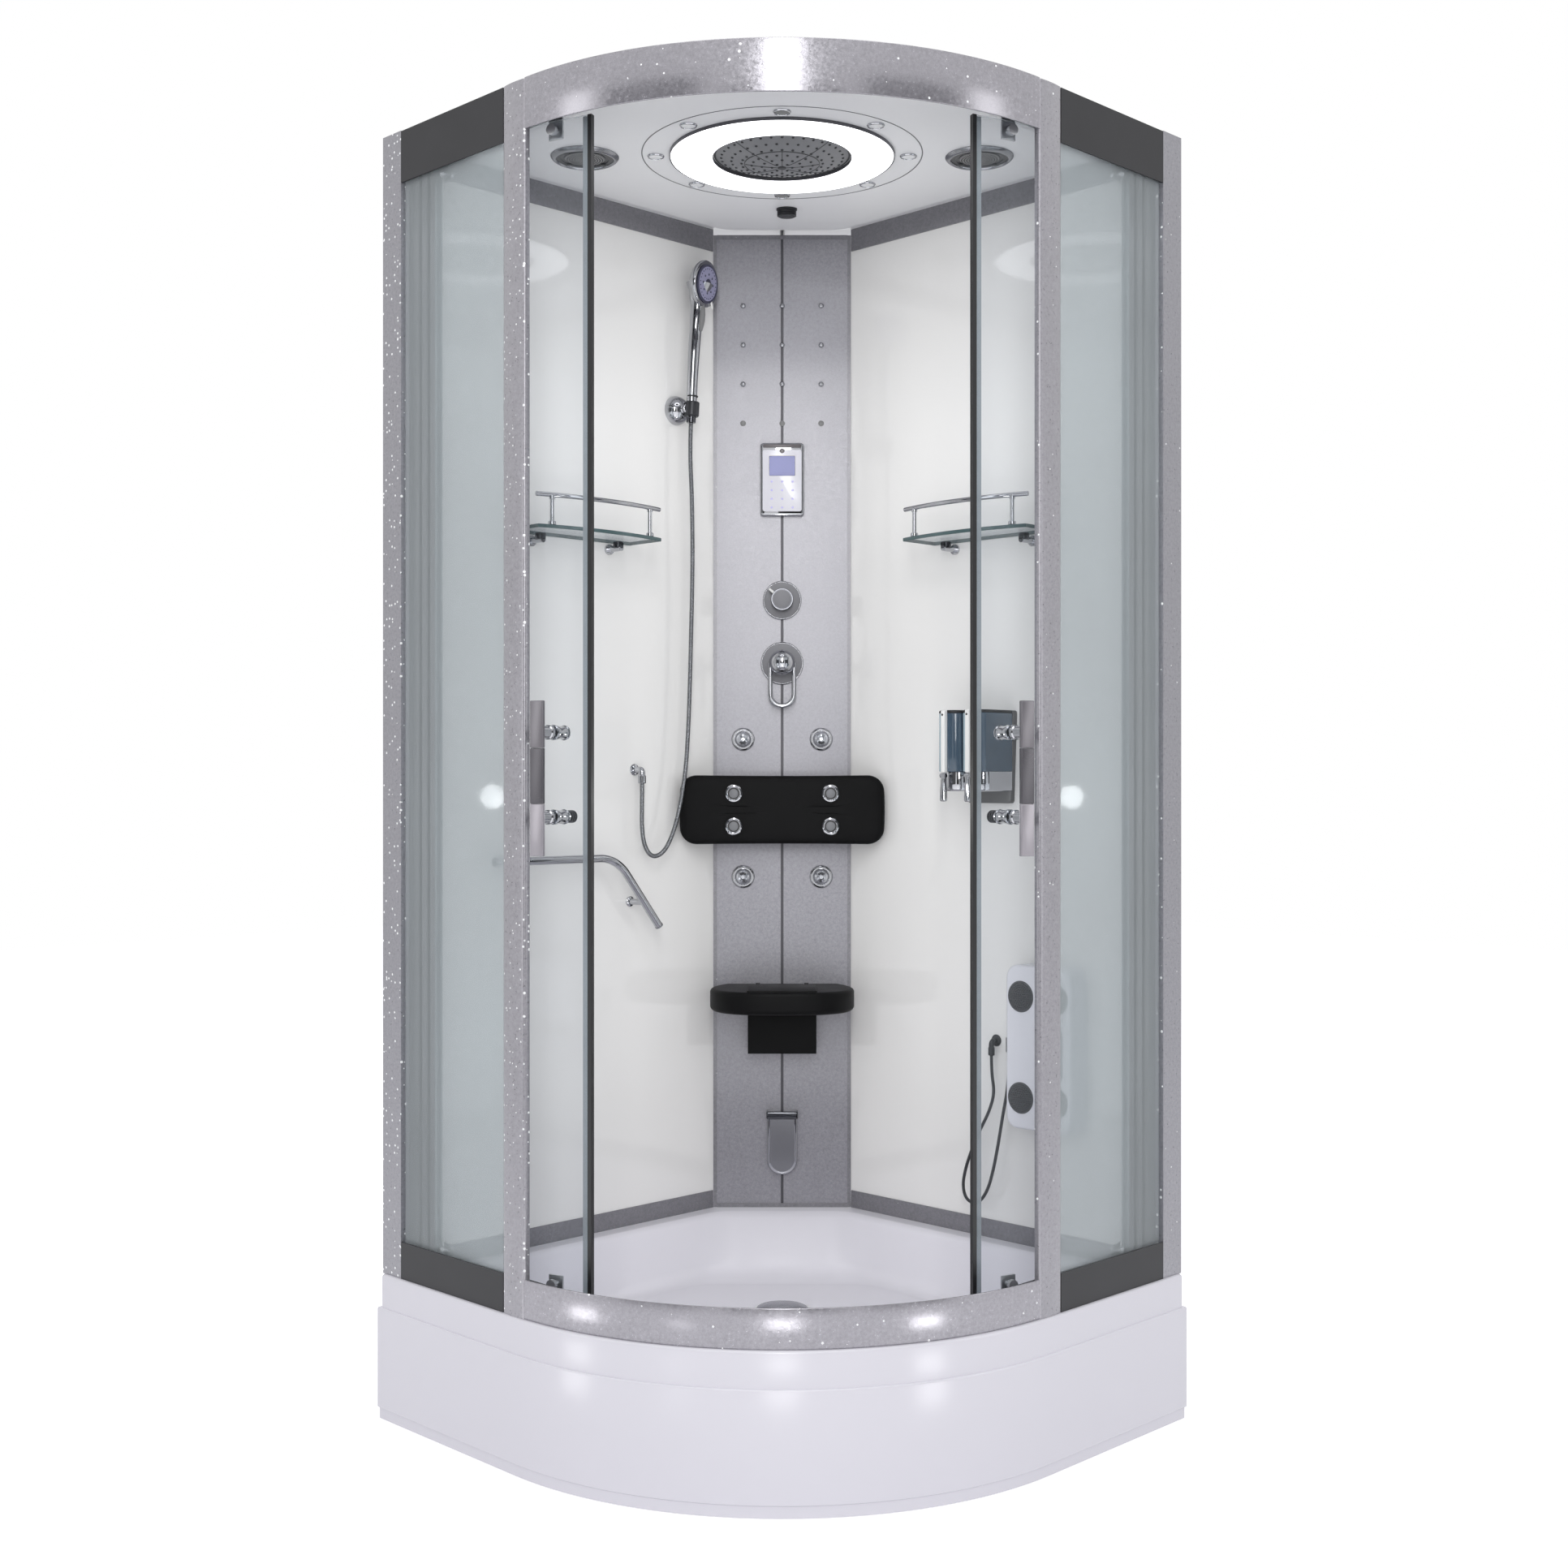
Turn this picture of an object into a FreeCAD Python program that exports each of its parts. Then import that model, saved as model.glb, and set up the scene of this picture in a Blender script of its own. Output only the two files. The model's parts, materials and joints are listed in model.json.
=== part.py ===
import FreeCAD, Part
import math
import os
import Sketcher

# Steam shower cabin for a room corner, in millimetres, +Z up.
# The origin is on the floor, at the centre of the square that the tray fills. The room corner is at
# (-half, +half). The right wall is the plane y = +half, and the left wall is the plane x = -half.
# Pieces on a wall or on the column are drawn as seen from inside the cabin: "along" runs to the
# right, "out" runs away from the wall (on the column: away from the room corner), "up" is height.

SIZES = {
    # tray
    "tray_side": 900, "tray_radius": 550, "rim_height": 227, "skirt_step": 175.5, "skirt_inset": 4,
    "plinth_height": 17.5, "tray_wall": 5, "apron_wall": 4, "apron_lip": 14, "lip_thick": 4,
    "basin_floor": 125, "basin_ledge": 66, "basin_front": 78, "basin_back": 293, "basin_slope": 40,
    "floor_back": 424, "drain_out": 470, "drain_bore": 38, "flange_radius": 46, "flange_thick": 1.5,
    "waste_wall": 3, "outlet_radius": 20, "outlet_height": 66, "outlet_end": 12, "outlet_free": 40,
    "collar_radius": 23.5, "collar_wide": 5, "cover_radius": 42,
    "cover_thick": 6,
    # support frame and feet
    "tube_size": 30, "bar_near": 150, "bar_far": 560, "bar_start": 120, "bar_end": 730,
    "foot_radius": 25, "foot_thick": 10, "rod_radius": 6, "nut_radius": 11, "nut_thick": 8,
    # posts and rails
    "cabin_height": 2017, "drawn_height": 2017, "frame_inset": 10, "post_drop": 1, "post_width": 50,
    "post_depth": 24, "channel_width": 44,
    "channel_depth": 46, "flute_width": 8, "flute_depth": 4, "door_post_setback": 36,
    "door_post_width": 51, "door_post_thick": 10, "post_bulge": 2, "post_wall": 2.5, "web_thick": 3,
    "rail_depth": 58,
    "side_rail_drop": 2, "side_rail_tall": 80, "curved_rail_tall": 74, "top_lip_drop": 45,
    "low_rail_tall": 57, "low_lip_tall": 35, "pane_thick": 5, "pane_rise": 23, "pane_drop": 60,
    "track_drop": 57, "guide_rise": 17, "track_thick": 3, "track_gap": 3,
    # doors
    "door_inset": 34, "glass_thick": 6, "glass_rise": 29, "glass_drop": 61, "lead_open": 33.95, "tail_clear": 37,
    "lead_reach": 58.5, "roller_span": 270.3, "tail_reach": 31, "seal_width": 6, "seal_thick": 9,
    "door_gap": 1, "bolt_radius": 5, "bolt_head": 8, "bolt_head_thick": 6, "bolt_drop": 75,
    "guide_bolt_rise": 49, "wheel_radius": 10, "wheel_thick": 5.5, "wheel_offset": 3.5,
    "hanger_width": 24, "hanger_thick": 3, "hanger_below": 12, "hanger_above": 6, "axle_radius": 3,
    "axle_proud": 2, "axle_tip": 1, "guide_width": 10, "runner_below": 6, "runner_long": 10,
    "runner_radius": 5,
    "runner_in": 2.4, "runner_clear": 1, "handle_reach": 64, "handle_width": 23,
    "handle_thick": 6, "handle_low": 895, "handle_high": 1118, "handle_off": 30, "post_pin": 6,
    "standoff_high": 1073, "standoff_low": 950.5, "standoff_radius": 11, "standoff_inner": 31,
    "knob_radius": 9.5, "knob_long": 19,
    # back walls
    "panel_face": 31, "panel_thick": 6, "panel_start": 150, "trim_face": 33, "trim_start": 210,
    "low_trim_tall": 31, "top_trim_tall": 40, "ceiling_drop": 12, "ceiling_deep": 15,
    "ceiling_thick": 5, "drop_inset": 50, "drop_back": 188, "drop_gap": 12, "feed_bore_long": 40,
    # column
    "column_face": 169, "column_thick": 12, "column_drop": 22, "groove_width": 5, "groove_depth": 5,
    "strip_width": 6, "strip_thick": 1.5, "cap_height": 7, "cap_thick": 3,
    "nozzle_along": 71, "nozzle_first": 1653, "nozzle_pitch": 71.3, "nozzle_radius": 5,
    "panel_width": 80, "control_low": 1483, "control_high": 1616, "control_thick": 14,
    "screen_width": 46, "screen_low": 1556, "screen_high": 1591, "face_thick": 1.5,
    "control_corner": 7, "control_lip": 2, "control_bevel": 8, "face_gap": 0.2, "screen_deep": 0.6,
    "diverter_height": 1330.6, "diverter_plate": 35.5, "diverter_knob_radius": 20,
    "diverter_knob_long": 20, "knob_edge": 3, "pointer_long": 32, "pointer_root": 6,
    "pointer_tip": 4,
    "pointer_thick": 5, "pointer_out": 8,
    "mixer_height": 1216, "mixer_plate": 39, "plate_thick": 6, "ball_radius": 23,
    "ball_wall": 4.5, "ball_mouth": 10.8, "ball_centre": 26, "stem_knuckle": 15, "stem_neck": 8,
    "mixer_pin": 2.5, "lever_width": 51, "lever_drop": 82, "lever_rod": 4.5, "lever_out": 18,
    "jet_along": 71, "jet_high": 1078, "jet_low": 828, "jet_ring": 21, "jet_ball": 14.5,
    "jet_centre": 4, "jet_gap": 0.4,
    "cushion_long": 366, "cushion_tall": 124, "cushion_height": 951, "cushion_back": 229,
    "cushion_thick": 24, "cushion_crown": 5, "cushion_draw": 1.5, "cushion_bulge": 3,
    "cushion_corner": 26,
    "cushion_edge": 16, "cushion_jet_along": 86,
    "cushion_jet_up": 29, "cushion_jet_ring": 16, "stem_radius": 9,
    "seat_width": 256, "seat_low": 595, "seat_top": 635, "seat_back": 178, "seat_front": 336,
    "seat_waist": 250, "seat_nose": 158.7, "seat_bow": 18, "seat_flank": 150, "seat_raise": 3,
    "seat_raise_in": 6, "ear_room": 38, "bracket_width": 123, "bracket_low": 513,
    "bracket_front": 220, "ear_in": 40, "ear_thick": 8, "pin_out": 182, "pin_height": 627,
    "pin_radius": 4, "spout_width": 55, "spout_low": 288, "spout_high": 404, "spout_thick": 14,
    "spout_cap": 14, "steam_height": 360, "steam_pipe": 12,
    # behind the column
    "boiler_width": 110, "boiler_low": 320, "boiler_high": 600, "boiler_depth": 95,
    "block_width": 110, "block_depth": 34, "block_low": 1190, "block_high": 1360,
    "pipe_radius": 8, "riser_along": 30, "feed_radius": 4.3, "tail_radius": 10.5, "tail_long": 30,
    "tail_elbow": 14, "tail_elbow_long": 18, "tail_rise": 60, "block_overlap": 5,
    # ceiling fittings
    "light_out": 624, "light_radius": 178, "light_thick": 6, "rain_radius": 108, "rain_drop": 20,
    "rain_neck": 15, "spot_radius": 13.5, "spot_circle": 199.5, "spot_thick": 3,
    "speaker_along": 312, "speaker_out": 620, "speaker_radius": 54, "speaker_ring": 9,
    "speaker_thick": 7, "vent_out": 347, "vent_along": 8, "vent_radius": 18, "vent_drop": 15,
    # hand shower on the left wall
    "holder_along": 300, "holder_height": 1663, "holder_radius": 26, "holder_out": 24,
    "holder_tip": 8,
    "hand_out": 62, "hand_aside": 9, "hand_low": 1640, "head_out": 46, "grip_radius": 9,
    "grip_long": 190, "grip_swell": 2, "neck_radius": 14, "nut_long": 14, "nut_round": 8,
    "cradle_radius": 13, "cradle_long": 26,
    "head_radius": 41, "head_thick": 24, "head_height": 1886, "head_along": 274, "spray_radius": 34,
    "spray_thick": 3, "spray_lever_long": 13, "spray_lever_wide": 3.4,
    "hose_radius": 4, "hose_end": 35, "elbow_along": 397, "elbow_height": 1022, "elbow_out": 52,
    "elbow_radius": 7,
    "elbow_flange": 10, "elbow_drop": 24,
    # shelves, grab bar, dispenser, foot massager
    "shelf_centre": 539, "shelf_long": 264, "shelf_height": 1413, "shelf_glass": 6,
    "shelf_out": 114, "shelf_bow": 18, "shelf_rail_up": 55, "shelf_rod": 4.5, "shelf_post": 4,
    "shelf_post_along": 105, "bracket_along": 84, "bracket_radius": 9,
    "bracket_rod": 5, "bracket_reach": 34, "puck_out": 26, "puck_tall": 11, "shelf_rail_in": 6,
    "shelf_collar": 6.5,
    "bar_out": 70, "bar_radius": 7, "bar_height": 871, "bar_left": 725, "bar_bend": 470,
    "bar_tip_along": 374, "bar_tip_drop": 121, "bar_bend_radius": 75, "bar_foot_radius": 5,
    "bar_flange": 8, "flange_deep": 4,
    "bar_foot_left": 690, "bar_foot_drop": 79,
    "soap_centre": 536, "soap_width": 106, "soap_plate": 10, "soap_low": 965, "soap_split": 1018,
    "soap_high": 1121, "soap_depth": 84, "tank_width": 48, "rib_width": 9, "rib_thick": 7,
    "lever_low": 968, "lever_high": 1016, "lever_wide": 12, "lever_gap": 0.5, "lever_travel": 9,
    "foot_setback": 236, "foot_width": 133, "foot_long": 270, "foot_height": 564, "foot_depth": 43,
    "foot_round": 20, "disc_radius": 26, "disc_along": 34.6, "disc_up": 83.5, "disc_proud": 3,
    "slot_along": 43, "slot_width": 14, "slot_tall": 79, "notch_depth": 16, "notch_tall": 73,
    "inlet_setback": 355, "inlet_height": 563, "inlet_out": 45, "foot_hose_radius": 3,
    "fit": 0.3, "running": 0.05,
}

doc = FreeCAD.newDocument("SteamShowerCabin")
sheet = doc.addObject("Spreadsheet::Sheet", "Dims")
for row, (alias, number) in enumerate(SIZES.items(), start=1):
    sheet.set("A%d" % row, alias)
    sheet.set("B%d" % row, str(number))
    sheet.setAlias("B%d" % row, alias)
doc.recompute()


class Size:
    """A number with the rule that gives it, so that a drawing and its expression say the same."""

    def __init__(self, value, rule):
        self.value = float(value)
        self.rule = rule

    def joined(self, sign, other, value, turned=False):
        first, last = (size_of(other), self) if turned else (self, size_of(other))
        return Size(value, "(%s %s %s)" % (first.rule, sign, last.rule))

    def __add__(self, other):
        return self.joined("+", other, self.value + float(other))

    def __radd__(self, other):
        return self.joined("+", other, self.value + float(other), turned=True)

    def __sub__(self, other):
        return self.joined("-", other, self.value - float(other))

    def __rsub__(self, other):
        return self.joined("-", other, float(other) - self.value, turned=True)

    def __mul__(self, other):
        return self.joined("*", other, self.value * float(other))

    def __rmul__(self, other):
        return self.joined("*", other, self.value * float(other), turned=True)

    def __truediv__(self, other):
        return self.joined("/", other, self.value / float(other))

    def __neg__(self):
        return 0 - self

    def __float__(self):
        return self.value


def size_of(number):
    return number if isinstance(number, Size) else Size(number, "(%r)" % float(number))


def root(size):
    return Size(math.sqrt(float(size)), "sqrt(%s)" % size.rule)


class Sheet:
    """Each alias of the spreadsheet as an attribute."""

    def __getattr__(self, alias):
        return Size(sheet.get(alias), "Dims." + alias)


d = Sheet()
ROOT2 = 2 ** 0.5
half = d.tray_side / 2
straight = d.tray_side - d.tray_radius          # length of a straight side, and the arc's centre
# heights of the top pieces below the cabin's height, and of the low pieces above the tray's rim
post_top = d.cabin_height - d.post_drop
curved_rail_low = d.cabin_height - d.curved_rail_tall
side_rail_top = d.cabin_height - d.side_rail_drop
side_rail_low = side_rail_top - d.side_rail_tall
top_lip_low = d.cabin_height - d.top_lip_drop
track_height = d.cabin_height - d.track_drop
glass_top = d.cabin_height - d.glass_drop
bolt_height = d.cabin_height - d.bolt_drop
pane_top = d.cabin_height - d.pane_drop
ceiling_edge = d.cabin_height - d.ceiling_drop
ceiling_low = ceiling_edge - d.ceiling_deep
top_trim_low = ceiling_edge - d.top_trim_tall
column_top = d.cabin_height - d.column_drop
low_rail_top = d.rim_height + d.low_rail_tall
low_lip_top = d.rim_height + d.low_lip_tall
low_trim_top = d.rim_height + d.low_trim_tall
pane_low = d.rim_height + d.pane_rise
guide_height = d.rim_height + d.guide_rise
glass_low = d.rim_height + d.glass_rise
guide_bolt_height = d.rim_height + d.guide_bolt_rise
frame_side = d.tray_side - d.frame_inset        # outer face of the posts and rails
frame_radius = d.tray_radius - d.frame_inset
channel_start = frame_side - d.post_depth - d.channel_depth
lip_side = frame_side - d.rail_depth            # inner edge of the rails
lip_radius = frame_radius - d.rail_depth
door_post_start = straight - d.door_post_setback
door_radius = frame_radius - d.door_inset
foot_centre = d.tray_side - d.foot_setback
inlet_along = d.tray_side - d.inlet_setback
post_end = door_post_start + d.door_post_width


def level(height):
    """A fitting's height, kept in step with the wall between the tray's rim and the cabin's top."""
    wall, drawn = d.cabin_height - d.rim_height, d.drawn_height - d.rim_height
    return d.rim_height + (height - d.rim_height) * (wall / drawn)


nozzle_first = level(d.nozzle_first)
control_low = level(d.control_low)
control_high = level(d.control_high)
screen_low = level(d.screen_low)
screen_high = level(d.screen_high)
diverter_height = level(d.diverter_height)
mixer_height = level(d.mixer_height)
jet_high = level(d.jet_high)
jet_low = level(d.jet_low)
cushion_height = level(d.cushion_height)
block_low = level(d.block_low)
block_high = level(d.block_high)
holder_height = level(d.holder_height)
hand_low = level(d.hand_low)
head_height = level(d.head_height)
column_half = d.column_face - d.panel_face * ROOT2
RIGHT, COLUMN, LEFT = 0, 45, 90                 # turn of a wall's drawing about the room corner
POINTER_TURN = 140                              # the diverter's pointer at rest, from the right
LEVER_WAY = (0.55, 0.1, -0.83)                  # and where its selector's lever points
SPRAY_WAY = (0.30, -1, -0.12)                   # where the hand shower's face looks, on its wall

nodes = {}


def node(piece, name):
    piece.Label = name
    nodes[name] = piece
    return piece


def bind(piece, prop, size):
    piece.setExpression(prop, size_of(size).rule)


def place(piece, spin, along=0, out=0, up=0):
    """Set a piece on the right wall, the column or the left wall, by the turn of its drawing."""
    cos, sin = round(math.cos(math.radians(spin)), 12), round(math.sin(math.radians(spin)), 12)
    turn = FreeCAD.Rotation(FreeCAD.Vector(0, 0, 1), spin)
    piece.Placement = FreeCAD.Placement(FreeCAD.Vector(0, 0, 0), turn)
    along, out = size_of(along), size_of(out)
    bind(piece, "Placement.Base.x", along * cos + out * sin - half)
    bind(piece, "Placement.Base.y", along * sin - out * cos + half)
    bind(piece, "Placement.Base.z", up)
    return piece


# ---- drawing helpers ------------------------------------------------------------------------

def new_body(name):
    return doc.addObject("PartDesign::Body", name)


def new_sketch(body, plane, name, offset=0):
    sketch = body.newObject("Sketcher::SketchObject", name)
    support = [f for f in body.Origin.OriginFeatures if f.Role == plane + "_Plane"][0]
    sketch.AttachmentSupport = (support, [""])
    sketch.MapMode = "FlatFace"
    bind(sketch, "AttachmentOffset.Base.z", offset)
    return sketch


def lock(sketch, kind, size, *where):
    index = sketch.addConstraint(Sketcher.Constraint(kind, *where, float(size)))
    if isinstance(size, Size):
        sketch.setExpression("Constraints[%d]" % index, size.rule)


def add_loop(sketch, corners, arcs=None):
    """Draw a closed loop. arcs gives the radius of the edge after a corner: + bulges outwards
    on a loop drawn anticlockwise, - bulges inwards."""
    arcs = arcs or {}
    points = [FreeCAD.Vector(float(x), float(y), 0) for x, y in corners]
    count, ends = len(points), []
    for i, start in enumerate(points):
        end = points[(i + 1) % count]
        if i not in arcs:
            ends.append((sketch.addGeometry(Part.LineSegment(start, end), False), 1, 2))
            continue
        radius, span = abs(float(arcs[i])), end - start
        side = 1 if float(arcs[i]) > 0 else -1
        across = FreeCAD.Vector(-span.y, span.x, 0).normalize() * side
        middle = (start + end) / 2 + across * math.sqrt(max(radius ** 2 - (span.Length / 2) ** 2, 0))
        first, last = (start, end) if side > 0 else (end, start)
        a0 = math.atan2(first.y - middle.y, first.x - middle.x)
        a1 = math.atan2(last.y - middle.y, last.x - middle.x)
        a1 = a1 if a1 > a0 else a1 + 2 * math.pi
        curve = Part.ArcOfCircle(Part.Circle(middle, FreeCAD.Vector(0, 0, 1), radius), a0, a1)
        ends.append((sketch.addGeometry(curve, False),) + ((1, 2) if side > 0 else (2, 1)))
    for i, (edge, _, tail) in enumerate(ends):
        following, head, _ = ends[(i + 1) % count]
        sketch.addConstraint(Sketcher.Constraint("Coincident", edge, tail, following, head))
    for i, (edge, head, _) in enumerate(ends):
        lock(sketch, "DistanceX", corners[i][0], -1, 1, edge, head)
        lock(sketch, "DistanceY", corners[i][1], -1, 1, edge, head)
        if i in arcs:
            lock(sketch, "Radius", arcs[i] if float(arcs[i]) > 0 else -arcs[i], edge)


def add_circle(sketch, radius, x=0, y=0):
    centre = FreeCAD.Vector(float(x), float(y), 0)
    circle = Part.Circle(centre, FreeCAD.Vector(0, 0, 1), float(radius))
    edge = sketch.addGeometry(circle, False)
    lock(sketch, "DistanceX", x, -1, 1, edge, 3)
    lock(sketch, "DistanceY", y, -1, 1, edge, 3)
    lock(sketch, "Radius", radius, edge)


def feature(body, kind, sketch, name, **sizes):
    step = body.newObject("PartDesign::" + kind, name)
    step.Profile = sketch
    for prop, size in sizes.items():
        bind(step, prop, size)
    return step


def pad(body, plane, corners, length, arcs=None, offset=0):
    """Draw a loop and give it thickness along its plane's normal."""
    sketch = new_sketch(body, plane, body.Name + "_outline", offset)
    add_loop(sketch, corners, arcs)
    return feature(body, "Pad", sketch, body.Name + "_pad", Length=length)


def cut(body, plane, corners, depth, arcs=None, offset=0):
    """Draw a loop and cut it away against its plane's normal."""
    sketch = new_sketch(body, plane, body.Name + "_cutout", offset)
    add_loop(sketch, corners, arcs)
    return feature(body, "Pocket", sketch, body.Name + "_pocket", Length=depth)


def bore(body, plane, holes, depth, offset=0):
    """Cut round holes (x, y, radius) against the plane's normal."""
    sketch = new_sketch(body, plane, body.Name + "_holes", offset)
    for x, y, radius in holes:
        add_circle(sketch, radius, x, y)
    return feature(body, "Pocket", sketch, body.Name + "_bore", Length=depth)


def box_loop(x0, y0, x1, y1):
    return [(x0, y0), (x1, y0), (x1, y1), (x0, y1)]


def soften(body, step, radius, direction, choose=lambda point: True):
    """Fillet the straight edges of a step that run in one direction."""
    doc.recompute()
    names = []
    for index, edge in enumerate(step.Shape.Edges, start=1):
        if edge.Curve.TypeId != "Part::GeomLine":
            continue
        along = (edge.Vertexes[-1].Point - edge.Vertexes[0].Point).normalize()
        if abs(abs(along.dot(direction)) - 1) < 1e-6 and choose(edge.CenterOfMass):
            names.append("Edge%d" % index)
    fillet = body.newObject("PartDesign::Fillet", body.Name + "_fillet")
    fillet.Base = (step, names)
    bind(fillet, "Radius", radius)
    return fillet


def turned(name, profile, arcs=None, upright=False):
    """Turn a profile of (radius, height) round: height is out of the wall, or up if upright."""
    body = new_body(name)
    sketch = new_sketch(body, "XZ" if upright else "XY", name + "_profile")
    sign = 1 if upright else -1
    corners = [(radius, size_of(height) * sign) for radius, height in profile]
    arcs = {i: r * sign for i, r in (arcs or {}).items()}
    add_loop(sketch, corners, arcs)
    step = feature(body, "Revolution", sketch, name + "_turn")
    step.ReferenceAxis = (sketch, ["V_Axis"])
    step.Angle = 360
    return body


def block(name, x, y, z, long, deep, tall):
    piece = doc.addObject("Part::Box", name)
    for prop, size in (("Length", long), ("Width", deep), ("Height", tall)):
        bind(piece, prop, size)
    for axis, size in zip("xyz", (x, y, z)):
        bind(piece, "Placement.Base." + axis, size)
    return piece


def rod(name, x, y, z, radius, tall, lean=None):
    """A round bar that rises from a point, or leans: "y" lays it along +Y, "x" along +X."""
    piece = doc.addObject("Part::Cylinder", name)
    bind(piece, "Radius", radius)
    bind(piece, "Height", tall)
    if lean == "y":
        piece.Placement.Rotation = FreeCAD.Rotation(FreeCAD.Vector(1, 0, 0), -90)
    if lean == "x":
        piece.Placement.Rotation = FreeCAD.Rotation(FreeCAD.Vector(0, 1, 0), 90)
    for axis, size in zip("xyz", (x, y, z)):
        bind(piece, "Placement.Base." + axis, size)
    return piece


def fused(name, pieces):
    whole = doc.addObject("Part::MultiFuse", name)
    whole.Shapes = pieces
    whole.Refine = True
    return whole


def grouped(name, pieces):
    group = doc.addObject("Part::Compound", name)
    group.Links = pieces
    return group


def less(name, base, tool):
    rest = doc.addObject("Part::Cut", name)
    rest.Base = base
    rest.Tool = tool
    return rest


def mirrored(name, source):
    """The same piece on the other side of the cabin's diagonal."""
    twin = doc.addObject("Part::Mirroring", name)
    twin.Source = source
    twin.Base = FreeCAD.Vector(0, 0, 0)
    twin.Normal = FreeCAD.Vector(1, 1, 0)
    return twin


def copies(name, source, spin, places):
    """Copies of a piece at places (along, out, up) on a wall or on the column."""
    links = []
    for number, (along, out, up) in enumerate(places, start=1):
        link = doc.addObject("App::Link", "%s_%d" % (name, number))
        link.LinkedObject = source
        links.append(place(link, spin, along, out, up))
    return grouped(name, links)


def shaped(name, shape, placement=None):
    """A piece whose shape is worked out below from the sheet's sizes."""
    piece = doc.addObject("Part::Feature", name)
    piece.Shape = shape
    if placement:
        piece.Placement = placement
    return piece


def quadrant(inset, start=0):
    """Corners and arc of the cabin's outline in the room corner's drawing, inset on its front."""
    side = d.tray_side - inset
    corners = [(start, -start), (start, -side), (straight, -side), (side, -straight), (side, -start)]
    return corners, {2: d.tray_radius - inset}


def at_corner(body):
    return place(body, RIGHT)


# ---- tray -----------------------------------------------------------------------------------

def basin_loop(ledge, front, back):
    """The basin's outline: ledge from the walls, front inside the tray side, back chamfer."""
    side = d.tray_side - front
    turn = back - ledge
    corners = [(ledge, -turn), (ledge, -side), (straight, -side), (side, -straight), (side, -ledge),
               (turn, -ledge)]
    return corners, {2: d.tray_radius - front}


def make_tray():
    body = at_corner(new_body("tray"))
    corners, arcs = quadrant(d.skirt_inset)
    pad(body, "XY", corners, d.rim_height - d.skirt_step, arcs, d.skirt_step)
    wall = d.tray_wall
    slopes = []
    for grow, top, bottom in ((wall, d.rim_height, d.basin_floor - wall),
                              (0, d.rim_height, d.basin_floor)):
        upper = new_sketch(body, "XY", "basin_rim", top)
        add_loop(upper, *basin_loop(d.basin_ledge - grow, d.basin_front - grow,
                                    d.basin_back - grow * ROOT2))
        lower = new_sketch(body, "XY", "basin_base", bottom)
        add_loop(lower, *basin_loop(d.basin_ledge + d.basin_slope - grow,
                                    d.basin_front + d.basin_slope - grow,
                                    d.floor_back - grow * ROOT2))
        slopes.append((upper, lower))
    outside = body.newObject("PartDesign::AdditiveLoft", "basin_outside")
    outside.Profile = slopes[0][1]
    outside.Sections = [slopes[0][0]]
    outside.Ruled = True
    inside = body.newObject("PartDesign::SubtractiveLoft", "basin_inside")
    inside.Profile = slopes[1][1]
    inside.Sections = [slopes[1][0]]
    inside.Ruled = True
    # the hollow under the rim, between the band's wall and the basin's wall
    under = new_sketch(body, "XY", "rim_hollow", d.skirt_step)
    add_loop(under, *quadrant(d.skirt_inset + wall, start=wall))
    add_loop(under, *basin_loop(d.basin_ledge - wall, d.basin_front - wall,
                                d.basin_back - wall * ROOT2))
    hollow = feature(body, "Pocket", under, "rim_pocket", Length=d.rim_height - wall - d.skirt_step)
    hollow.Reversed = True
    drain = d.drain_out / ROOT2
    bore(body, "XY", [(drain, -drain, d.drain_bore)], wall + 1, d.basin_floor + 0.5)
    node(body, "tray_shell")

    apron = at_corner(new_body("apron"))
    for inset, thick, low, high in ((0, d.apron_wall, d.plinth_height, d.skirt_step),
                                    (d.skirt_inset, d.apron_wall, 0, d.plinth_height),
                                    (d.apron_wall, d.apron_lip, d.skirt_step - d.lip_thick,
                                     d.skirt_step),
                                    (d.apron_wall, d.apron_wall, d.plinth_height,
                                     d.plinth_height + d.lip_thick)):
        outer, inner = d.tray_side - inset, d.tray_side - inset - thick
        corners = [(0, -outer), (straight, -outer), (outer, -straight), (outer, 0), (inner, 0),
                   (inner, -straight), (straight, -inner), (0, -inner)]
        arcs = {1: d.tray_radius - inset, 5: -(d.tray_radius - inset - thick)}
        pad(apron, "XY", corners, high - low, arcs, low)
    node(apron, "tray_apron")


def make_support():
    top = d.basin_floor - d.tray_wall
    base = top - d.tube_size
    bars = []
    for number, row in enumerate((d.bar_near, d.bar_far)):
        reach = d.bar_end - d.bar_start if number == 0 else d.bar_far + 2 * d.tube_size - d.bar_start
        bars.append(block("bar_along_%d" % number, d.bar_start, -row - d.tube_size / 2, base,
                          reach, d.tube_size, d.tube_size))
        bars.append(block("bar_across_%d" % number, row - d.tube_size / 2, -d.bar_far, base,
                          d.tube_size, d.bar_far - d.bar_near, d.tube_size))
    node(at_corner(fused("frame", bars)), "tray_frame")

    foot = turned("foot", [(0, 0), (d.foot_radius, 0), (d.foot_radius, d.foot_thick / 2),
                           (d.nut_radius, d.foot_thick), (d.nut_radius, d.foot_thick + d.nut_thick),
                           (d.rod_radius, d.foot_thick + d.nut_thick),
                           (d.rod_radius, base - d.nut_thick), (d.nut_radius, base - d.nut_thick),
                           (d.nut_radius, base), (0, base)], upright=True)
    spots = [(x, y, 0) for x in (d.bar_near, d.bar_far) for y in (d.bar_near, d.bar_far)]
    spots.append((d.bar_end - d.foot_radius, d.bar_near, 0))
    place(foot, RIGHT, *spots[0])
    node(copies("feet", foot, RIGHT, spots), "tray_feet")


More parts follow.
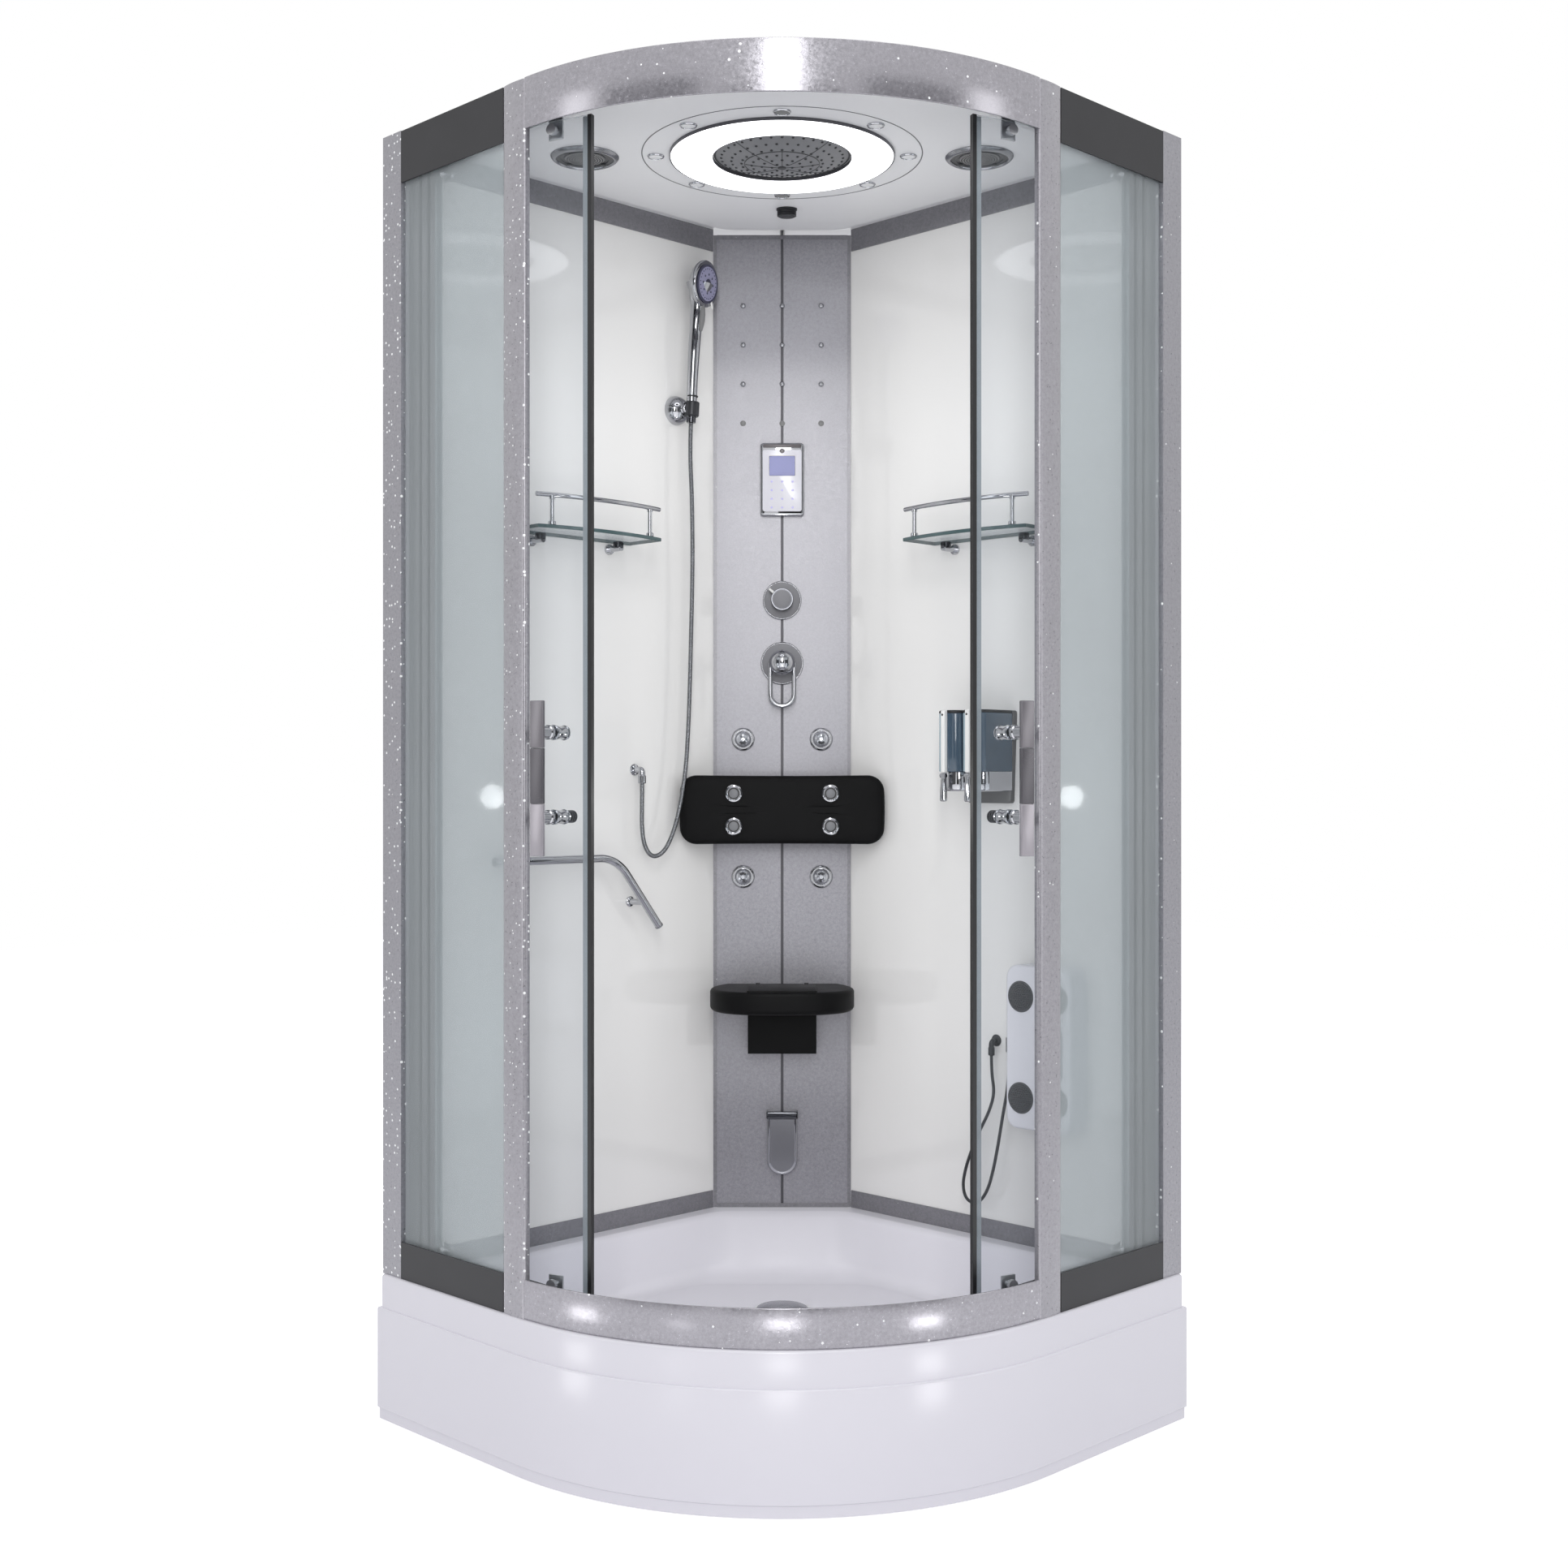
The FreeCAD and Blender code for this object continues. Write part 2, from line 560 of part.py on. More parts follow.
def make_drain():
    top = d.basin_floor + d.flange_thick
    throat = d.drain_bore - d.fit
    low = d.outlet_height - d.outlet_radius - d.waste_wall
    waste = turned("waste", [(0, low), (throat - d.waste_wall, low),
                             (throat - d.waste_wall, d.basin_floor - d.tray_wall - 14),
                             (throat, d.basin_floor - d.tray_wall), (throat, d.basin_floor),
                             (d.flange_radius, d.basin_floor), (d.flange_radius, top), (0, top)],
                   upright=True)
    place(waste, COLUMN, 0, d.drain_out, 0)
    # the outlet runs to the right wall below the frame's bars
    centre = d.drain_out / ROOT2
    x, y, reach = centre - half, half - centre, centre - d.outlet_end
    pipe = rod("outlet", x, y, d.outlet_height, d.outlet_radius, reach, "y")
    hollow = d.outlet_radius - d.waste_wall
    well = rod("waste_well", x, y, low + d.waste_wall, throat - 2 * d.waste_wall,
               top - low)
    way = rod("outlet_bore", x, y, d.outlet_height, hollow, reach + 1, "y")
    # the socket of the house's waste pipe goes on as far as this collar
    collar = rod("outlet_collar", x, half - d.outlet_end - d.outlet_free - d.collar_wide,
                 d.outlet_height, d.collar_radius, d.collar_wide, "y")
    node(less("waste_whole", fused("waste_outside", [waste, pipe, collar]),
              fused("waste_inside", [well, way])), "drain_waste")

    cover = turned("cover", [(0, top), (d.cover_radius, top), (d.cover_radius, top + 1.5),
                             (d.cover_radius * 0.6, top + d.cover_thick * 0.85),
                             (0, top + d.cover_thick)], upright=True)
    node(place(cover, COLUMN, 0, d.drain_out, 0), "drain_cover")


# ---- posts, rails and fixed panes -----------------------------------------------------------

def make_posts():
    wall_post = at_corner(new_body("wall_post"))
    inner = channel_start
    corners = [(inner, 0), (frame_side, 0), (frame_side, -d.post_width),
               (frame_side - d.post_depth, -d.post_width),
               (frame_side - d.post_depth, -d.channel_width)]
    # two flutes along the channel's flank
    for step in (1, 2):
        start = frame_side - d.post_depth - step * (d.channel_depth / 3) + d.flute_width / 2
        corners += [(start, -d.channel_width), (start, -d.channel_width + d.flute_depth),
                    (start - d.flute_width, -d.channel_width + d.flute_depth),
                    (start - d.flute_width, -d.channel_width)]
    corners.append((inner, -d.channel_width))
    pad(wall_post, "XY", corners, post_top - d.rim_height, offset=d.rim_height)
    # hollow from below, closed by a cap at the top
    wall, cap = d.post_wall, post_top - d.post_wall
    cut(wall_post, "XY", box_loop(inner + wall, d.flute_depth + wall - d.channel_width,
                                  frame_side - wall, -wall), cap - d.rim_height, offset=cap)
    node(grouped("wall_posts_pair", [wall_post, mirrored("wall_post_twin", wall_post)]), "wall_posts")

    door_post = at_corner(new_body("door_post"))
    back = frame_side - d.door_post_thick
    start, end = -door_post_start, -post_end
    middle = d.door_post_width / 2
    bulge = (middle * middle + d.post_bulge * d.post_bulge) / (2 * d.post_bulge)
    pad(door_post, "XY", [(back, end), (frame_side, end), (frame_side, start), (back, start)],
        post_top - d.rim_height, {1: bulge}, d.rim_height)
    cut(door_post, "XY", box_loop(back + wall, end + wall, frame_side - wall, start - wall),
        cap - d.rim_height, offset=cap)
    node(grouped("door_posts_pair", [door_post, mirrored("door_post_twin", door_post)]),
         "door_posts")


def rail_profile(outer, inner, low, high, lip_low, lip_high, shelf):
    """Closed C of a rail: web, shelf and lip. shelf is +1 if it joins them at the top."""
    web, lip, plate = outer - d.web_thick, inner + d.web_thick, d.web_thick
    if shelf > 0:
        return [(inner, lip_low), (lip, lip_low), (lip, high - plate), (web, high - plate),
                (web, low), (outer, low), (outer, high), (inner, high)]
    return [(inner, low), (outer, low), (outer, high), (web, high), (web, low + plate),
            (lip, low + plate), (lip, lip_high), (inner, lip_high)]


def make_rails():
    for name, low, high, shelf in (("top_rail_front", curved_rail_low, d.cabin_height, 1),
                                   ("bottom_rail_front", d.rim_height, low_rail_top, -1)):
        body = new_body(name + "_body")
        corner = straight - half
        bind(body, "Placement.Base.x", corner)
        bind(body, "Placement.Base.y", -corner)
        sketch = new_sketch(body, "XZ", name + "_section")
        add_loop(sketch, rail_profile(frame_radius, lip_radius, low, high, top_lip_low,
                                      low_lip_top, shelf))
        ring = feature(body, "Revolution", sketch, name + "_ring")
        ring.ReferenceAxis = (sketch, ["V_Axis"])
        ring.Angle = 90
        ring.Reversed = True
        # square ends beside the door posts
        trim = post_end - straight
        cut(body, "XY", box_loop(0, -trim, frame_radius + 20, 20), high - low, offset=high)
        cut(body, "XY", box_loop(-20, -frame_radius - 20, trim, 0), high - low, offset=high)
        node(body, name)

    sides = []
    reach = door_post_start - d.post_width
    for name, low, high, lip_low, lip_high, shelf in (
            ("top_side_rail", side_rail_low, side_rail_top, top_lip_low, side_rail_top, 1),
            ("bottom_side_rail", d.rim_height, low_rail_top, d.rim_height, low_lip_top, -1)):
        body = at_corner(new_body(name))
        sketch = new_sketch(body, "XZ", name + "_section", d.post_width)
        add_loop(sketch, rail_profile(frame_side, lip_side, low, high, lip_low, lip_high, shelf))
        feature(body, "Pad", sketch, name + "_run", Length=reach)
        # behind the door post only the shelf and the lip go on
        back = frame_side - d.door_post_thick - d.fit
        plate, lip = d.web_thick, lip_side + d.web_thick
        if shelf > 0:
            run = [(lip_side, lip_low), (lip, lip_low), (lip, high - plate), (back, high - plate),
                   (back, high), (lip_side, high)]
        else:
            run = [(lip_side, low), (back, low), (back, low + plate), (lip, low + plate),
                   (lip, lip_high), (lip_side, lip_high)]
        behind = new_sketch(body, "XZ", name + "_behind", d.post_width + reach)
        add_loop(behind, run)
        feature(body, "Pad", behind, name + "_link", Length=d.door_post_width)
        sides += [body, mirrored(name + "_twin", body)]
    node(grouped("side_rails_set", sides), "side_rails")


def make_panes():
    outer = frame_side - d.web_thick - d.fit
    pane = block("pane", outer - d.pane_thick, -door_post_start, pane_low, d.pane_thick,
                 door_post_start - d.post_width, pane_top - pane_low)
    holder = at_corner(grouped("pane_right", [pane]))
    node(grouped("panes", [holder, mirrored("pane_left", holder)]), "side_panes")


# ---- doors ----------------------------------------------------------------------------------
# Each curved door hangs on two rollers. Open, the rear roller has run on to the straight side.
# The two roller places, open and closed, give the one upright axis that the door turns about,
# and the tracks are arcs about that axis.

def door_setting():
    """Places in the room corner's drawing (x right, y towards the wall) of the right door."""
    rest = {}
    radius, centre = float(door_radius), FreeCAD.Vector(float(straight), -float(straight), 0)

    def on_arc(angle):
        turn = math.radians(-angle)
        return centre + FreeCAD.Vector(math.cos(turn), math.sin(turn), 0) * radius

    lead = math.degrees(float(d.lead_reach) / radius)
    span = math.degrees(2 * math.asin(float(d.roller_span) / 2 / radius))
    tail = math.degrees(float(d.tail_reach) / radius)
    reach, side = float(d.roller_span), float(straight) + radius
    front_open = on_arc(45 - float(d.lead_open) - lead)
    drop = math.sqrt(reach ** 2 - (side - front_open.x) ** 2)
    rear_open = FreeCAD.Vector(side, front_open.y + drop, 0)
    nearest = -float(d.post_width + d.tail_clear + d.tail_reach)
    if rear_open.y > nearest:
        # on a short side the door opens until its tail is this near the wall post
        rear_open.y = nearest
        away = centre - rear_open
        ahead = (away.Length + (reach ** 2 - radius ** 2) / away.Length) / 2
        away.normalize()
        aside = FreeCAD.Vector(-away.y, away.x, 0) * math.sqrt(reach ** 2 - ahead ** 2)
        front_open = rear_open + away * ahead + aside
    shut = math.degrees((float(d.seal_width) + float(d.door_gap)) / radius)
    front_shut = on_arc(45 - shut - lead)
    rear_shut = on_arc(45 - shut - lead - span)
    before, after = rear_open - front_open, rear_shut - front_shut
    turn = math.atan2(after.y, after.x) - math.atan2(before.y, before.x)
    move = front_shut - front_open
    middle = (front_open + front_shut) / 2
    pole = middle + FreeCAD.Vector(-move.y, move.x, 0) / (2 * math.tan(turn / 2))
    across = FreeCAD.Vector(before.y, -before.x, 0).normalize()
    hub = (front_open + rear_open) / 2 - across * math.sqrt(radius ** 2 - float(d.roller_span) ** 2 / 4)
    if hub.x > front_open.x:
        hub = (front_open + rear_open) / 2 + across * math.sqrt(
            radius ** 2 - float(d.roller_span) ** 2 / 4)
    rest["hub"] = hub
    rest["front"] = math.degrees(math.atan2(front_open.y - hub.y, front_open.x - hub.x))
    rest["rear"] = math.degrees(math.atan2(rear_open.y - hub.y, rear_open.x - hub.x))
    rest["lead"], rest["tail"] = rest["front"] - lead, rest["rear"] + tail
    rest["pole"], rest["turn"] = pole, math.degrees(turn)
    rest["track"] = max((front_open - pole).Length, (rear_open - pole).Length)
    return rest


def sector(hub, inner, outer, low, high, start, end):
    """Part of an upright ring between two angles, about a hub."""
    base = FreeCAD.Vector(hub.x, hub.y, low)
    up = FreeCAD.Vector(0, 0, 1)
    ring = Part.makeCylinder(outer, high - low, base, up, end - start).cut(
        Part.makeCylinder(inner, high - low, base, up, end - start))
    ring.rotate(base, up, start)
    return ring


def radial(hub, angle, distance, height):
    turn = math.radians(angle)
    return FreeCAD.Vector(hub.x + distance * math.cos(turn), hub.y + distance * math.sin(turn), height)


def round_bar(hub, angle, start, end, height, radius):
    """A bar through the glass, square to it, between two distances from the hub."""
    foot = radial(hub, angle, start, height)
    return Part.makeCylinder(radius, end - start, foot, radial(hub, angle, end, height) - foot)


def slab(hub, angle, start, end, width, low, high):
    """A flat plate square to the radius at an angle."""
    plate = Part.makeBox(end - start, width, high - low, FreeCAD.Vector(start, -width / 2, low))
    plate.rotate(FreeCAD.Vector(0, 0, 0), FreeCAD.Vector(0, 0, 1), angle)
    plate.translate(FreeCAD.Vector(hub.x, hub.y, 0))
    return plate


def make_doors(rest):
    to_corner = FreeCAD.Placement(FreeCAD.Vector(-float(half), float(half), 0), FreeCAD.Rotation())
    hub, radius, gap = rest["hub"], float(door_radius), float(d.fit)
    inner, outer = radius - float(d.glass_thick) / 2, radius + float(d.glass_thick) / 2
    low, high = float(glass_low), float(glass_top)
    rollers = (rest["front"], rest["rear"])
    handle = rest["lead"] + math.degrees(float(d.handle_reach) / radius)
    pin, sleeve = float(d.post_pin), float(d.standoff_radius)

    glass = sector(hub, inner, outer, low, high, rest["lead"], rest["tail"])
    for height in (float(bolt_height), float(guide_bolt_height)):
        for angle in rollers:
            glass = glass.cut(round_bar(hub, angle, inner - 5, outer + 5, height,
                                        float(d.bolt_radius) + gap))
    for height in (float(d.standoff_high), float(d.standoff_low)):
        glass = glass.cut(round_bar(hub, handle, inner - 5, outer + 5, height, pin + gap))

    half_seal = float(d.seal_thick) / 2
    strip = math.degrees(float(d.seal_width) / radius)
    seals = Part.makeCompound([
        sector(hub, radius - half_seal, radius + half_seal, low, high, rest["lead"] - strip,
               rest["lead"]),
        sector(hub, radius - half_seal, radius + half_seal, low, high, rest["tail"],
               rest["tail"] + strip)])

    plate_in = radius + float(d.handle_off)
    plate_out = plate_in + float(d.handle_thick)
    grip = slab(hub, handle, plate_in, plate_out, float(d.handle_width), float(d.handle_low),
                float(d.handle_high))
    for height in (float(d.standoff_high), float(d.standoff_low)):
        grip = grip.fuse(round_bar(hub, handle, inner - gap, plate_in, height, pin))
        grip = grip.fuse(round_bar(hub, handle, outer + gap, plate_in, height, sleeve))
        grip = grip.fuse(round_bar(hub, handle, inner - float(d.standoff_inner), inner - gap, height,
                                   sleeve))
    knob_in = inner - float(d.standoff_inner) - float(d.knob_long)
    grip = grip.fuse(round_bar(hub, handle, knob_in, inner - float(d.standoff_inner),
                               float(d.standoff_low), float(d.knob_radius)))

    wheel, head = float(d.wheel_radius), float(d.bolt_head)
    depth, ledge = float(d.bolt_head_thick), float(d.track_thick)
    ride = float(track_height) + ledge + gap + wheel
    plate = inner - gap - float(d.hanger_thick)
    offset, thick = radius + float(d.wheel_offset), float(d.wheel_thick)
    trolleys = []
    for angle in rollers:
        hanger = slab(hub, angle, plate, inner - gap, float(d.hanger_width),
                      float(bolt_height - d.hanger_below), ride + float(d.hanger_above))
        hanger = hanger.fuse(round_bar(hub, angle, plate - float(d.axle_proud),
                                       offset + thick + float(d.axle_tip), ride,
                                       float(d.axle_radius)))
        hanger = hanger.fuse(round_bar(hub, angle, offset, offset + thick, ride, wheel))
        hanger = hanger.fuse(round_bar(hub, angle, plate - depth, outer + gap + depth,
                                       float(bolt_height), float(d.bolt_radius)))
        for start in (plate - depth, outer + gap):
            hanger = hanger.fuse(round_bar(hub, angle, start, start + depth,
                                           float(bolt_height), head))
        trolleys.append(hanger)
        base = float(guide_bolt_height)
        lowest = float(guide_height - d.runner_below)
        guide = slab(hub, angle, plate, inner - gap, float(d.hanger_width), lowest,
                     base + float(d.hanger_below))
        guide = guide.fuse(round_bar(hub, angle, plate - depth, outer + gap + depth, base,
                                     float(d.bolt_radius)))
        for start in (plate - depth, outer + gap):
            guide = guide.fuse(round_bar(hub, angle, start, start + depth, base, head))
        turned_in = float(d.track_gap - d.runner_clear)
        runner = Part.makeCylinder(float(d.runner_radius), float(d.runner_long),
                                   radial(hub, angle, radius - float(d.runner_in), lowest))
        arm = slab(hub, angle, plate, radius - turned_in, float(d.guide_width), lowest,
                   float(guide_height) - turned_in / 2)
        trolleys.append(guide.fuse(runner).fuse(arm))

    pieces = {"door_glass": glass, "door_seals": seals, "door_handle": grip,
              "door_rollers": Part.makeCompound(trolleys)}
    for name, shape in pieces.items():
        right = node(shaped(name + "_r", shape, to_corner), name + "_right")
        node(mirrored(name + "_l", right), name + "_left")


def make_tracks(rest):
    """Top tracks that the wheels ride on and bottom guides, from the rails' webs to the arcs."""
    inner = float(d.track_gap) + rest["track"]
    web_side = float(frame_side - d.web_thick)
    web_radius = float(frame_radius - d.web_thick)
    mid = float(straight)
    pieces = []
    to_corner = FreeCAD.Placement(FreeCAD.Vector(-float(half), float(half), 0), FreeCAD.Rotation())
    for name, low in (("top_track", float(track_height)), ("bottom_guide", float(guide_height))):
        thick = float(d.track_thick)
        base = FreeCAD.Vector(mid, -mid, low)
        up = FreeCAD.Vector(0, 0, 1)
        arc = Part.makeCylinder(web_radius, thick, base, up, 45)
        arc.rotate(base, up, -45)
        run = Part.makeBox(web_side - mid, mid - float(d.post_width), thick,
                           FreeCAD.Vector(mid, -mid, low))
        post = Part.makeBox(float(d.rail_depth), float(d.door_post_width) + 2 * float(d.fit), thick,
                            FreeCAD.Vector(float(frame_side - d.door_post_thick - d.fit),
                                           -float(post_end) - float(d.fit), low))
        lip = Part.makeBox(float(lip_side + d.web_thick + d.fit), mid, thick,
                           FreeCAD.Vector(0, -mid, low))
        pole = FreeCAD.Vector(rest["pole"].x, rest["pole"].y, low)
        disc = Part.makeCylinder(inner, thick, pole)
        track = arc.fuse(run).removeSplitter().cut(post).cut(lip).cut(disc)
        piece = shaped(name, largest(track), to_corner)
        pieces += [piece, mirrored(name + "_twin", piece)]
    node(grouped("tracks", pieces), "door_tracks")


def largest(shape):
    return max(shape.Solids, key=lambda solid: solid.Volume)


# ---- back walls, column and ceiling ---------------------------------------------------------

def make_walls():
    panel = at_corner(new_body("panel"))
    pad(panel, "XZ", box_loop(d.panel_start, low_trim_top, channel_start, top_trim_low),
        d.panel_thick, offset=d.panel_face - d.panel_thick)
    node(grouped("panels", [panel, mirrored("panel_twin", panel)]), "back_panels")

    pieces = []
    for name, low, high in (("low_trim", d.rim_height, low_trim_top),
                            ("top_trim", top_trim_low, ceiling_edge)):
        trim = at_corner(new_body(name))
        pad(trim, "XZ", box_loop(d.trim_start, low, channel_start, high), d.trim_face)
        pieces += [trim, mirrored(name + "_twin", trim)]
    edge = column_half - 0.5
    for name, loop, thick in (
            ("strip_left", box_loop(-edge, d.rim_height, d.strip_width - edge, column_top),
             d.strip_thick),
            ("strip_right", box_loop(edge - d.strip_width, d.rim_height, edge, column_top),
             d.strip_thick),
            ("cap_low", box_loop(d.strip_width - edge, d.rim_height, edge - d.strip_width,
                                 d.rim_height + d.cap_height), d.cap_thick),
            ("cap_top", box_loop(d.strip_width - edge, column_top - d.cap_height,
                                 edge - d.strip_width, column_top), d.cap_thick)):
        strip = new_body(name)
        pad(strip, "XZ", loop, thick, offset=d.column_face)
        pieces.append(place(strip, COLUMN))
    node(grouped("trims", pieces), "panel_trims")


def make_column():
    body = place(new_body("column"), COLUMN)
    back = d.column_face - d.column_thick
    groove = d.groove_width / 2
    floor = d.groove_depth - d.column_face
    corners = [(-column_half, -d.column_face), (-groove, -d.column_face), (-groove, floor),
               (groove, floor), (groove, -d.column_face), (column_half, -d.column_face),
               (column_half - d.column_thick, -back), (d.column_thick - column_half, -back)]
    pad(body, "XY", corners, column_top - d.rim_height, offset=d.rim_height)
    holes = [(side * d.jet_along, up, d.jet_ball + d.jet_gap)
             for side in (-1, 1) for up in (jet_high, jet_low)]
    holes.append((0, d.steam_height, d.steam_pipe + d.fit))
    bore(body, "XZ", holes, d.column_thick + 2, offset=d.column_face + 1)
    node(body, "column_panel")


def make_ceiling():
    body = at_corner(new_body("ceiling"))
    gap = d.fit
    side, radius = lip_side - gap, lip_radius - gap
    notch, post = channel_start - gap, d.post_width + gap
    corners = [(0, 0), (0, -notch), (post, -notch), (post, -side), (straight, -side),
               (side, -straight), (side, -post), (notch, -post), (notch, 0)]
    pad(body, "XY", corners, d.ceiling_thick, {4: radius}, ceiling_edge)

    def drop_loop(grow):
        ledge, edge = d.drop_inset + grow, side - d.drop_gap - grow
        turn = d.drop_back * ROOT2 - ledge + grow * ROOT2
        return ([(ledge, -turn), (ledge, -edge), (straight, -edge), (edge, -straight),
                 (edge, -ledge), (turn, -ledge)], {2: radius - d.drop_gap - grow})

    pad(body, "XY", drop_loop(0)[0], ceiling_edge - ceiling_low, drop_loop(0)[1], ceiling_low)
    top = ceiling_edge + d.ceiling_thick
    cut(body, "XY", drop_loop(d.ceiling_thick)[0], top - ceiling_low - d.ceiling_thick,
        drop_loop(d.ceiling_thick)[1], top)
    centre = d.light_out / ROOT2
    bore(body, "XY", [(centre, -centre, d.rain_neck + gap)], d.ceiling_thick + 2,
         ceiling_low + d.ceiling_thick + 1)
    # the feed pipe passes through the drop's wall above the column
    feed = rod("feed_bore", 0, 0, 0, d.feed_radius + gap, d.feed_bore_long, "y")
    place(feed, COLUMN, 0, d.drop_back + d.feed_bore_long / 2, feed_height())
    turn = FreeCAD.Rotation(FreeCAD.Vector(0, 0, 1), COLUMN)
    feed.Placement.Rotation = turn.multiply(FreeCAD.Rotation(FreeCAD.Vector(1, 0, 0), -90))
    node(less("ceiling_cut", body, feed), "ceiling_panel")


def feed_height():
    return ceiling_low + d.ceiling_thick + d.feed_radius + 0.5


def make_ceiling_fittings():
    low = ceiling_low
    light = turned("light", [(d.rain_radius + 0.5, low), (d.rain_radius + 0.5, low - d.light_thick),
                             (d.light_radius - 2, low - d.light_thick),
                             (d.light_radius, low - d.light_thick + 2), (d.light_radius, low)],
                   upright=True)
    node(place(light, COLUMN, 0, d.light_out, 0), "light_ring")

    r, drop = d.rain_radius, d.rain_drop
    dome = (r * r + drop * drop) / (2 * drop)
    rain = turned("rain", [(0, low - drop), (r, low), (d.rain_neck, low),
                           (d.rain_neck, low + 20), (0, low + 20)], {0: dome}, upright=True)
    node(place(rain, COLUMN, 0, d.light_out, 0), "rain_head")

    spot = turned("spot", [(0, low), (0, low - d.spot_thick), (d.spot_radius * 0.8,
                           low - d.spot_thick), (d.spot_radius, low - 1), (d.spot_radius, low)],
                  upright=True)
    spots = []
    for step in range(8):
        turn = math.radians(45 * step)
        spots.append((d.spot_circle * round(math.sin(turn), 12),
                      d.light_out + d.spot_circle * round(math.cos(turn), 12), 0))
    place(spot, COLUMN, *spots[0])
    vent = turned("vent", [(0, low), (0, low - d.vent_drop), (d.vent_radius * 0.7,
                           low - d.vent_drop), (d.vent_radius, low - 4), (d.vent_radius, low)],
                  upright=True)
    place(vent, COLUMN, d.vent_along, d.vent_out, 0)
    node(grouped("spot_set", [copies("spots", spot, COLUMN, spots), vent]), "ceiling_spots")

    ring, edge = d.speaker_ring, d.speaker_radius
    speaker = turned("speaker", [(0, low), (0, low - d.speaker_thick + 3), (edge - ring,
                                 low - d.speaker_thick + 3), (edge - ring, low - d.speaker_thick),
                                 (edge - 3, low - d.speaker_thick), (edge, low - 2), (edge, low)],
                     upright=True)
    places = [(side * d.speaker_along, d.speaker_out, 0) for side in (-1, 1)]
    place(speaker, COLUMN, *places[0])
    node(copies("speaker_pair", speaker, COLUMN, places), "speakers")


# ---- controls and water fittings on the column ----------------------------------------------

def make_nozzles():
    r = d.nozzle_radius
    nozzle = turned("nozzle", [(0, 0), (r, 0), (r, 1), (r * 0.75, r * 0.8), (0, r)])
    places = [(side * d.nozzle_along, d.column_face, nozzle_first + d.nozzle_pitch * row)
              for row in (1, 2, 3) for side in (-1, 0, 1)]
    flush = turned("plug", [(0, 0), (r, 0), (r, 0.6), (0, 0.8)])
    low = [(side * d.nozzle_along, d.column_face, nozzle_first) for side in (-1, 0, 1)]
    place(nozzle, COLUMN, *places[0])
    place(flush, COLUMN, *low[0])
    node(grouped("nozzle_set", [copies("nozzles", nozzle, COLUMN, places),
                                copies("plugs", flush, COLUMN, low)]), "mini_nozzles")


def make_control():
    body = place(new_body("control"), COLUMN, 0, d.column_face, 0)
    wide = d.panel_width / 2
    step = pad(body, "XZ", box_loop(-wide, control_low, wide, control_high), d.control_thick)
    soften(body, step, d.control_corner, FreeCAD.Vector(0, 1, 0))
    # a shallow seat for the face plate and one for the screen
    lip, bevel, gap = d.control_lip, d.control_bevel, d.face_gap
    cut(body, "XZ", box_loop(lip - wide, control_low + bevel, wide - lip, control_high - bevel),
        d.face_thick, offset=d.control_thick)
    screen = d.screen_width / 2
    face = new_body("face")
    pad(face, "XZ", box_loop(lip + gap - wide, control_low + bevel + gap, wide - lip - gap,
                             control_high - bevel - gap),
        d.face_thick, offset=d.control_thick - d.face_thick)
    cut(face, "XZ", box_loop(-screen, screen_low, screen, screen_high), d.screen_deep,
        offset=d.control_thick)
    place(face, COLUMN, 0, d.column_face, 0)
    node(grouped("control_set", [body, face]), "control_panel")


